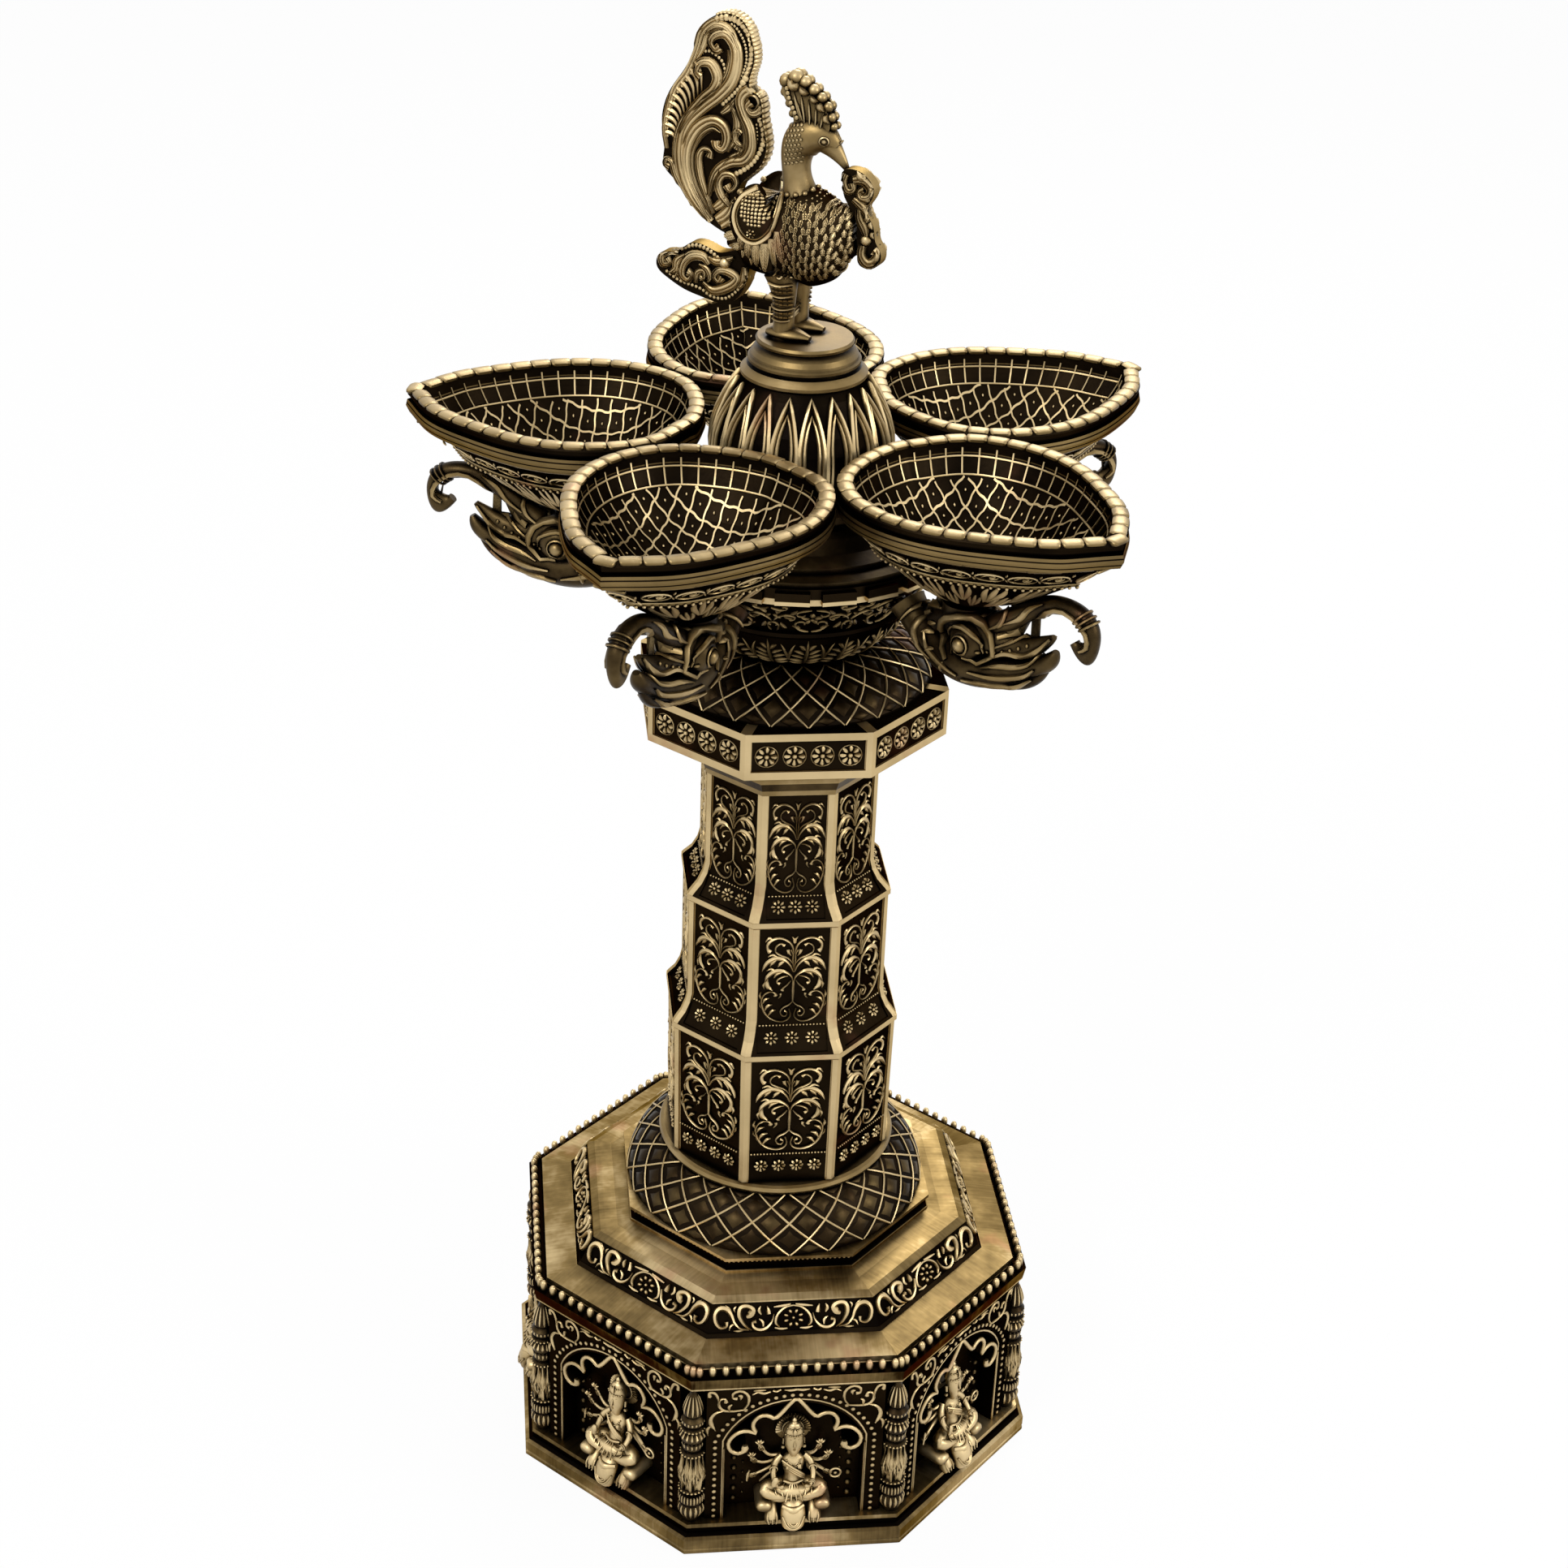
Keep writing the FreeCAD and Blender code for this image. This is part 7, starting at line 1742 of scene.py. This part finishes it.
# Each strand's points, half widths and heights, as hundredths of the bird's height
TAIL_STRANDS = (
    (((-32.4, 32.2), (-39.3, 39.5), (-43, 47.9), (-43.2, 56.1), (-40.8, 62.2), (-35.9, 67.2), (-30.5, 71.7),
     (-26.4, 76.6), (-24.8, 82.4), (-25.3, 87.2), (-28.5, 90.7), (-32.3, 89.9), (-33.9, 87.5), (-32.2, 85.3),
     (-30.5, 86.4)), (0.9, 1.3, 1.3, 1.2, 1.2, 1.2, 1.2, 1.3, 1.3, 1.2, 1.1, 1, 0.8, 0.8, 1.1), 1.6),
    (((-33.6, 32.4), (-41, 39.6), (-44.9, 48), (-45.2, 56.4), (-42.6, 63.2), (-37.4, 68.6), (-32, 73.2),
     (-28.4, 77.6), (-27, 82.4), (-27.6, 86)), (0.5, 0.7, 0.7, 0.6, 0.6, 0.6, 0.6, 0.6, 0.6, 0.3), 1.2),
    (((-33, 28.2), (-37.4, 33.3), (-41.1, 39.2), (-44.8, 44.5), (-46.5, 48.8), (-48.4, 49.6), (-49, 48),
     (-47.4, 47.3)), (0.5, 0.8, 0.8, 0.8, 0.7, 0.6, 0.6, 0.9), 1.3),
    (((-44.3, 58.5), (-40.8, 64.7), (-36, 70.3), (-32.6, 73.3), (-31.1, 77.2), (-33.5, 81.2), (-37.3, 80.8),
     (-38.6, 78), (-37, 76.6)), (0.4, 0.8, 1, 1.1, 1.2, 1.1, 0.9, 0.7, 1.1), 1.5),
    (((-24.6, 86.6), (-27.5, 91.7), (-31.6, 93), (-34.6, 91.4), (-35.8, 89.8)), (0.7, 1, 1, 0.8, 1.2), 1.4),
    (((-33.1, 32.7), (-40.1, 43.2), (-41.7, 52.5), (-38.6, 60), (-33.1, 63.9), (-28.8, 62.7), (-27.4, 59.1),
     (-28.7, 55.8), (-30.8, 56.1), (-31.2, 57.9)), (0.6, 1.1, 1.3, 1.3, 1.2, 1.2, 1.1, 0.9, 0.8, 1.1), 1.7),
    (((-32.2, 34), (-38.4, 44), (-39.6, 52.2), (-36.8, 58.2), (-32.8, 61.2), (-30, 60.4)),
     (0.4, 0.6, 0.6, 0.6, 0.5, 0.3), 1.2),
    (((-31.7, 34.9), (-36.1, 45.1), (-37.2, 51.3), (-35.7, 54.4), (-33.2, 54.2), (-33.5, 52.2)),
     (0.5, 0.8, 0.8, 0.7, 0.6, 0.9), 1.4),
    (((-33.3, 40.4), (-31.3, 47.8), (-26.5, 51.7), (-21.6, 53.1), (-19.1, 57.2), (-19.6, 62.8), (-22, 67.4),
     (-23.2, 71.5), (-20.8, 74.6), (-17.4, 74.2), (-15.9, 71.4), (-17.2, 68.7), (-19.4, 68), (-20.9, 69.7),
     (-19.6, 71.4)), (0.5, 0.9, 1.1, 1.1, 1.1, 1, 1, 1.1, 1.2, 1.1, 1, 0.9, 0.8, 0.7, 1.1), 1.6),
    (((-31.8, 42), (-29.6, 49.4), (-25.6, 53.6), (-22.2, 55.6), (-21.2, 59), (-22, 63.4), (-24.6, 68)),
     (0.4, 0.6, 0.6, 0.6, 0.6, 0.5, 0.3), 1.2),
    (((-21.7, 57.4), (-24.2, 58.3), (-25, 60.7), (-24, 62.1), (-22.7, 61.2)), (0.4, 0.7, 0.7, 0.6, 0.8), 1.2),
    (((-25.1, 52.5), (-23.7, 54), (-22.8, 56.3), (-23.8, 57.4), (-24.6, 56.2)), (0.4, 0.6, 0.6, 0.5, 0.7),
     1.1),
    (((-26.1, 38.3), (-29, 41.1), (-30.2, 44.8), (-28.5, 47.6), (-25.3, 47.7), (-24.2, 45.4), (-25.9, 43.2),
     (-27.2, 44.7)), (0.5, 0.9, 0.9, 0.9, 0.8, 0.7, 0.6, 1), 1.4),
)
TAIL_FILLING = (
    (((-48.4, 53), (-49.2, 60), (-46.3, 71.2), (-41.8, 77.6), (-38.6, 84.8), (-37.1, 89.8), (-33.8, 93.4),
     (-29, 95.4)), (0.5, 0.6, 0.8, 0.9, 0.9, 0.9, 0.8, 0.4), 1.2),
    (((-39.6, 80), (-36.8, 85.6), (-35, 90), (-31.6, 91.4)), (0.3, 0.9, 0.9, 0.3), 1.1),
    (((-30.5, 33), (-27.2, 35.6), (-24.6, 40.5)), (1, 1.3, 0.3), 1.2),
    (((-28.5, 30.8), (-25.2, 33.6), (-22.8, 38)), (1, 1.3, 0.3), 1.2),
    (((-31.4, 36.6), (-28.8, 38.8), (-27, 42)), (0.8, 1, 0.3), 1.1),
    (((-27.2, 55), (-24.8, 60), (-24.2, 65), (-26.8, 70.2)), (0.4, 0.8, 0.8, 0.3), 1.1),
    (((-29.6, 66.4), (-27, 68.6), (-25, 71.6)), (0.5, 0.8, 0.3), 1.1),
)
PLUME_STRANDS = (
    (((-43.7, 20.5), (-46.8, 20.5), (-49.7, 18.4), (-49.3, 15.6), (-46.9, 16.4), (-47.8, 17.9)),
     (0.7, 0.9, 0.9, 0.8, 0.6, 0.9), 1.3),
    (((-32.8, 18.4), (-35, 20.5), (-39, 20.1), (-41.8, 17.2), (-42.5, 13.4), (-40.3, 11.9), (-38.9, 14),
     (-40.3, 14.8)), (0.6, 1, 1.1, 1, 0.9, 0.7, 0.6, 0.9), 1.5),
    (((-37.4, 11.6), (-37.1, 14.7), (-35.1, 15.7), (-34.7, 13.7), (-36, 13.5)), (0.4, 0.7, 0.6, 0.5, 0.7),
     1.2),
    (((-34.8, 12.1), (-31.2, 10), (-25.5, 12.4), (-23, 15.4), (-25.6, 17), (-29.2, 17), (-31.1, 14.7),
     (-29.4, 13.1), (-28.1, 14.9)), (0.5, 1, 1.1, 1, 0.9, 0.8, 0.7, 0.6, 1), 1.5),
    (((-46.8, 13.2), (-44.8, 14.8), (-44.2, 17.6), (-41.4, 20)), (0.4, 0.8, 0.9, 0.4), 1.2),
    (((-44.6, 12.4), (-43.8, 14.2), (-43.6, 16.4)), (0.4, 0.7, 0.3), 1.1),
    (((-33.4, 20.6), (-30.6, 19.6), (-27.6, 20.2), (-24.4, 21.8)), (0.4, 0.9, 0.9, 0.4), 1.3),
    (((-36.4, 17.6), (-33.8, 16.6), (-32.6, 14.2), (-33.4, 12.4)), (0.4, 0.8, 0.7, 0.3), 1.2),
    (((-22.4, 12.4), (-20.6, 15.6), (-20.4, 19.4)), (0.5, 1, 0.5), 1.2),
)
# Rows of beads: points, beads and a bead's radius
TAIL_BEADS = (
    (((-31.7, 94.6), (-27.6, 95.6), (-23.2, 94), (-20.4, 90.3), (-19.7, 85.6), (-20.6, 80.8), (-22.6, 76.8)),
     19, 1.5),
    (((-22.6, 76.4), (-25.8, 72.8), (-29.2, 69.4)), 8, 1),
    (((-30.8, 91.8), (-27.4, 93.6), (-24.8, 92.1), (-22.4, 88.4), (-21.7, 84), (-22.6, 80.2), (-25, 76)), 24,
     0.65),
    (((-16.6, 66.2), (-15.4, 63.4), (-15.2, 59.8), (-16.5, 56), (-18.8, 52.6), (-21.8, 50), (-24, 48.6)), 15,
     1.25),
    (((-17.8, 64.6), (-17.4, 60), (-18.6, 56.4), (-21, 53.6)), 12, 0.5),
    (((-36.4, 50.2), (-35.6, 45.2), (-33.8, 39.4), (-32.4, 37)), 10, 0.85),
    (((-38.7, 82.3), (-34.9, 84.7), (-30.9, 83.1), (-29.1, 80.6), (-28.8, 76.3)), 14, 0.75),
    (((-38.8, 33.1), (-34.5, 28.6)), 7, 0.7),
)
PLUME_BEADS = (
    (((-45.1, 20.4), (-42.3, 21.9), (-38, 23.6), (-33.6, 22.9), (-30, 21)), 13, 0.95),
    (((-48, 13.4), (-43.5, 11.2), (-36.2, 9.9), (-31.9, 7.9), (-26.8, 8.2), (-22.8, 11.6), (-20.4, 15.3)), 24,
     0.8),
)


def strands(table):
    """Each strand is a broad strip with a fine ridge along its middle and along each edge."""
    work = Casting()
    for points, widths, height in table:
        count = max(14, 3 * len(points))
        path = smooth(np.array(points) * TALL / 100 + (0, PEACOCK_FOOT), count)
        wide = smooth(np.array(widths) * TALL / 100, count) * 1.45
        work.join(strand(path, wide, height * 0.85, 7))
        along = np.gradient(path, axis=0)
        along /= np.linalg.norm(along, axis=1)[:, None]
        across = np.column_stack([along[:, 1], -along[:, 0]])
        for share, thick, rise in ((0.0, 0.36, 1.25), (-0.88, 0.26, 0.95), (0.88, 0.26, 0.95)):
            work.join(strand(path + across * wide[:, None] * share, wide * thick, height * rise, 5))
    return work


def bead_rows(table):
    work = Casting()
    for points, count, radius in table:
        path = even(smooth(np.array(points) * TALL / 100, 30), count)
        for x, up in path:
            work.join(bead(radius, radius * 0.95, 7).moved(x, up + PEACOCK_FOOT))
    return work


def place_at(x, up):
    """A place in the bird's plane, from hundredths of its height."""
    return x * TALL / 100, PEACOCK_FOOT + up * TALL / 100


def feather(root, tip, width, barbs, vane=0.0):
    """A feather's midrib and barbs, over a vane if it has one, from hundredths of the bird's height."""
    (x0, z0), (x1, z1) = place_at(*root), place_at(*tip)
    length = math.hypot(x1 - x0, z1 - z0)
    heading = math.degrees(math.atan2(z1 - z0, x1 - x0))
    work = leaf((0, 0), 0, length, 0, 0.42, 1.0, 6, 5)
    if vane:
        work.join(leaf((0, 0), 0, length * 1.04, 0, vane, 0.62, 7, 6, 0.6))
    for i in range(barbs):
        at = length * (0.05 + 0.8 * i / barbs)
        for side in (-1, 1):
            work.join(leaf((at, 0), side * 34, width * (1.2 - 0.5 * i / barbs), side * -20, 0.25, 0.8, 5, 4))
    return work.moved(x0, z0, turn=heading)


def tail_strokes():
    """Feather strokes from the tail's back edge down to its stem."""
    work = Casting()
    edge = smooth([(-39, 81), (-42.1, 76.3), (-45.2, 72.2), (-47.4, 67.5), (-48.8, 62.9),
        (-48.8, 58)], 11)
    stem = smooth([(-36.6, 71.8), (-39, 68.3), (-41.2, 64.9), (-43, 61.9), (-44.2, 58),
        (-44.6, 54)], 11)
    for (x0, z0), (x1, z1) in zip(edge, stem):
        tip, root = place_at(x0, z0), place_at(x1, z1)
        middle = ((tip[0] + root[0]) / 2 + 0.7, (tip[1] + root[1]) / 2 + 1.4)
        work.limb([tip, middle, root], [1.1, 0.75, 0.25], [1.3, 1, 0.5], 8, 6)
        work.join(bead(0.95, 1).moved(tip[0] + 0.3, tip[1] - 1.4))
    return work


def body_feathers():
    work = Casting()
    for tier in range(11):
        count = 10 + (tier % 2)
        for i in range(count):
            share = (i + 0.5 * (tier % 2)) / count
            x = -4.6 + share * (23.4 - abs(tier - 4.4) * 0.65)
            up = 44.8 - 2.15 * tier + 2.8 * share - 1.6 * math.sin(math.pi * share)
            lean = 1.6 * (0.35 - share) + 0.5 * (-1) ** (i + tier)
            work.join(feather((x, up), (x + lean, up - 2.7), 1.5, barbs=3, vane=0.5))
    return work


def wing_feathers():
    """Long feathers behind and under the wing."""
    work = Casting()
    for root, tip in (
        ((-17.4, 32.4), (-20.4, 23.4)), ((-15, 31), (-17.2, 21.6)), ((-12.6, 30.4), (-13.9, 20.6)),
        ((-10.2, 30.8), (-10.6, 20.8)), ((-8.2, 32.4), (-7.4, 22.6)), ((-6.4, 35), (-5, 25.6)),
        ((-24, 33), (-31.6, 30.6)), ((-22.6, 30), (-31, 27)), ((-21, 27), (-28.4, 23.4)),
        ((-21.6, 35.6), (-29.6, 34.6)),
    ):
        work.join(feather(root, tip, 2.3, barbs=8, vane=2.1))
    return work


def wing_shell():
    """The oval wing: a plain rim round rows of dots, with a flower below them."""
    work = Casting()
    middle = place_at(-13.6, 39.6)
    rim = np.array([(-13.9, 47.2), (-18.2, 44), (-20.2, 39), (-19, 34.2), (-16, 31.2),
        (-12, 31), (-8.4, 34.6), (-6.8, 40.4), (-7.8, 45.6), (-10.6, 47.8)])
    loop = even(smooth(np.vstack([rim, rim[:1]]), 60)[:-1], 40, closed=True)
    loop = loop * TALL / 100 + (0, PEACOCK_FOOT)
    work.join(strand(loop, 0.95, 1.3, 7, closed=True))
    work.join(strand(loop + (loop.mean(0) - loop) * 0.15, 0.4, 0.8, 5, closed=True))
    for j in range(9):
        for i in range(8):
            u, v = (i - 3.5) / 4.4, (j - 4) / 4.7
            if u * u + v * v < 0.86:
                work.join(bead(0.72, 0.85).moved(middle[0] + u * 5.9 - 0.4 * v,
                    middle[1] + 1.6 + v * 6.2))
    work.join(rosette(1.9, 7, 1).moved(*place_at(-14.2, 33.6)))
    return work


def collar_rings(form):
    """Rings round the foot of the neck: a row of beads over engraved ones."""
    work = Casting()
    middle = (1, 46.6)
    for drop, reach, radius, count in ((0, 8.2, 1.15, 30), (-1.9, 9.6, 0.5, 52), (-3.1, 10.4, 0.42, 58)):
        turns = np.linspace(0, 2 * math.pi, 72, endpoint=False)
        loop = []
        for turn in turns:
            x = (middle[0] + reach * math.cos(turn)) * TALL / 100
            y = reach * 0.86 * math.sin(turn) * TALL / 100
            up = PEACOCK_FOOT + (middle[1] + drop + 0.24 * reach * math.cos(turn)) * TALL / 100
            axis = Vector((middle[0] * TALL / 100, 0, up))
            loop.append(form.hit(axis, (axis - Vector((x, y, up))).normalized())[0])
        for place in even(loop, count, closed=True):
            axis = Vector((middle[0] * TALL / 100, 0, place[2]))
            seat = form.hit(axis, (axis - Vector(place)).normalized())[0]
            work.join(bead(radius, radius, 7, sunk=0.9, rings=4).moved(*seat))
    return work


def edge_beads(form, points, count, radius, out_side=1):
    """Beads across a plate's edge. The points follow the edge, and out_side tells its side of them."""
    work = Casting()
    path = even(smooth(np.array(points) * TALL / 100, 40), count)
    along = np.gradient(path, axis=0)
    along /= np.linalg.norm(along, axis=1)[:, None]
    for (x, up), (dx, dz) in zip(path, along):
        out = Vector((dz * out_side, 0.0, -dx * out_side))
        place = form.hit(Vector((x, 0.0, up + PEACOCK_FOOT)), -out)[0]
        if (place - Vector((x, 0.0, up + PEACOCK_FOOT))).length > 9.0:
            continue
        path_across = [place + Vector((0, y, 0)) - out * 0.35 for y in (-2.9, -2.5, 0.0, 2.5, 2.9)]
        work.join(strand(path_across, np.array([0.4, 0.9, 1.0, 0.9, 0.4]) * radius,
            np.array([0.4, 0.9, 1.0, 0.9, 0.4]) * radius, 7, out=tuple(out)))
    return work


def neck_scales():
    work = Casting()
    for j in range(9):
        for i in range(5):
            share = (i + 0.5 * (j % 2)) / 5
            x, up = -7.2 + 6.4 * share, 54.6 + 1.4 * j + share * 1.6
            work.join(bead(0.62, 0.45).moved(*place_at(x, up)))
    return work


def crest_and_garland():
    """Balls and scrolls of the crest, and the garland that hangs from the beak."""
    crest, garland = Casting(), Casting()
    for x, up, radius in ((-5.4, 79, 2.9), (-1.9, 77.6, 2.4), (1.6, 75.4, 2), (4, 73.4, 2.3),
            (5.8, 69.8, 1.8)):
        crest.join(bead(radius, radius * 0.9, 12, rings=4).moved(*place_at(x, up)))
    for x, up in smooth([(-7.8, 77.2), (-7, 74.4), (-5.6, 71.6), (-4.2, 68.8)], 7):
        crest.join(bead(1, 1.1, 7).moved(*place_at(x, up)))
    for root, tip in (((-3, 68), (-5.8, 77)), ((-1.4, 67.6), (-3.2, 76)), ((0.4, 67.4), (-0.6, 74.8)),
            ((2.2, 67.2), (2, 73.4)), ((3.8, 66.8), (4.6, 71.6)), ((-2.2, 67.8), (-4.6, 74))):
        crest.join(feather(root, tip, 1, barbs=0))
    for x, up in smooth([(6.6, 69), (8, 67.4), (9.2, 65.2), (10, 62.8)], 6):
        crest.join(bead(0.8, 0.9, 7).moved(*place_at(x, up)))
    garland.join(strands((
        (((12.9, 54), (12.2, 51.6), (13.4, 49), (15.4, 49.6), (15, 51.6)), (0.7, 0.8, 0.8, 0.7, 0.9), 1.3),
        (((15.4, 52.6), (18.8, 53.2), (21.6, 51), (20.9, 48.2), (18.4, 47.6), (17.6, 49.2), (19, 50)),
         (0.9, 1.3, 1.4, 1.2, 0.9, 0.7, 1), 1.6),
        (((15.6, 46.8), (18.2, 45.2), (20.2, 43), (20, 40.4)), (0.7, 1, 0.9, 0.6), 1.3),
        (((17.4, 44), (18, 41), (19.6, 38.4), (20.4, 36)), (0.5, 0.9, 1, 0.6), 1.4),
        (((19.4, 33), (19.2, 29.8), (21.2, 27.6), (23.8, 28.8), (24.6, 31.6), (23.6, 32.6)),
         (0.8, 1, 1.1, 1.1, 1, 1.4), 1.6),
    )))
    for x, up, radius in ((18, 54.2, 2.6), (21.8, 39.6, 1.7), (20.2, 34.6, 2.3), (21.6, 42.4, 1.3),
            (22.4, 36.6, 1.5)):
        garland.join(bead(radius, radius * 0.8, 10, rings=3).moved(*place_at(x, up)))
    return crest, garland


def head_details():
    work = Casting()
    x, up = place_at(5.4, 63.0)
    work.join(strand(ring_path(1.5, 14, x, up), 0.3, 0.5, 5, closed=True),
        bead(0.85, 0.6, 8).moved(x, up))
    return work


def leg_details():
    work = Casting()
    for x, up, radius in ((-3.4, 23.4, 2.3), (-5.4, 20.6, 1.9), (-1.8, 20.4, 1.7)):
        at = place_at(x, up)
        work.join(scroll((at[0] - radius, at[1]), 90, radius * 4.6, -380, 0.55, 0.9, 1.2, 14))
    for level in (17.4, 16, 13.2, 11.8, 9, 7.6):
        for i in range(5):
            x = -7.6 + 1.2 * i
            work.limb([place_at(x, level), place_at(x + 1, level)], 0.45, 0.7, 4, 5)
    for level in (18.4, 14.6, 10.4, 6.6):
        work.limb([place_at(-8.6, level), place_at(-5.2, level - 0.4), place_at(-1.8, level)], 0.5, 1, 8, 6)
    return work


def plate_edge(finish, place):
    """The narrow sides of the bird's flat plates, which stand across its own width."""
    facing = finish.node("ShaderNodeTexCoord", output="Normal")
    x, y = finish.parts(facing)[:2]
    turn = math.radians(HEADING)
    across = finish.node("ShaderNodeMath", {"operation": "ABSOLUTE"}, y * math.cos(turn) - x * math.sin(turn))
    return (1.0 - across.ramp(0.5, 0.8)) * 0.8


def dress_peacock():
    ride = {"count": 1, "first": HEADING, "body": "finial"}
    tail = strands(TAIL_STRANDS + TAIL_FILLING).join(bead_rows(TAIL_BEADS), tail_strokes())
    form = Form("tail_plume", turn=HEADING)
    edges = edge_beads(form, TAIL_BEADS[0][0], 24, 1.15, -1)
    edges.join(edge_beads(form, [(-23, 77), (-16, 77), (-13.4, 71), (-13.6, 61), (-16.6, 53.4),
        (-22, 47)], 24, 1.1, -1))
    edges.join(edge_beads(form, [(-42, 40), (-47, 48), (-50, 57), (-48, 67), (-42, 77),
        (-39, 84), (-36, 92), (-31, 96)], 40, 1))
    copies("tail_carving", both_sides(tail, form).join(edges), PLUMAGE, **ride)
    plume = strands(PLUME_STRANDS).join(bead_rows(PLUME_BEADS))
    plume.join(bead(2.4, 2.2, 10, rings=3).moved(*place_at(-27.4, 19.6)))
    form = Form("lower_plume", turn=HEADING)
    edges = edge_beads(form, PLUME_BEADS[0][0], 14, 0.95)
    edges.join(edge_beads(form, PLUME_BEADS[1][0], 26, 0.9, -1))
    copies("lower_plume_carving", both_sides(plume, form).join(edges), PLUMAGE, **ride)
    body = Form("peacock_body", turn=HEADING)
    copies("body_feathers", both_sides(body_feathers(), body), CARVED, **ride)
    copies("wing_shells", both_sides(wing_shell(), body), PLUMAGE, **ride)
    copies("wing_feathers", both_sides(wing_feathers(), body), PLUMAGE, **ride)
    crest, garland = crest_and_garland()
    knobs = Casting()
    for x, up, radius in ((-8.8, 79, 2.7), (-5.6, 80.2, 3), (-2.6, 79.2, 2.4), (0.4, 77.2, 2.3),
            (3, 75.2, 2.1), (5.2, 72.8, 2), (6.4, 69.8, 1.8), (7.4, 67.2, 1.5), (-9.2, 75.6, 1.7),
            (-7.6, 72.4, 1.6), (-6.4, 69.4, 1.5)):
        place = place_at(x, up)
        for side in (-1, 1):
            knobs.join(bead(radius, radius, 10, sunk=0.9, rings=5).moved(place[0], side * 1.5, place[1]))
    copies("crest_knobs", knobs, CARVED, **ride)
    head = Form("peacock_head", turn=HEADING)
    copies("crest_carving", both_sides(crest.join(neck_scales(), head_details()), head), CARVED, **ride)
    copies("neck_collar", collar_rings(Form("peacock_head", "peacock_body", turn=HEADING)), CARVED, **ride)
    copies("garland_carving", both_sides(garland, Form("beak_garland", turn=HEADING)), CARVED, **ride)
    legs = Form("peacock_legs", turn=HEADING)
    copies("leg_bands", both_sides(leg_details(), legs), CARVED, **ride)
    coat(ground_brass("plate ground", plate_edge), "tail_plume", "lower_plume", "beak_garland")
    coat(FEATHERED, "peacock_body")
    coat(SMOOTH, "peacock_head", "peacock_legs")
    coat(FINIAL, "finial_base")


set_camera()
set_stage()
dress_drum()
dress_cornice()
dress_frieze()
dress_domes()
dress_tiers()
dress_capital()
dress_corners()
dress_hub()
dress_bud()
dress_bowls()
dress_brackets()
dress_peacock()
coat(FASTENER, "tie_rod", "tie_rod_washer", "tie_rod_nut", "bowl_screws", "bracket_screws", "crown_stud",
    "finial_washer", "finial_stud", "crown_spigot")
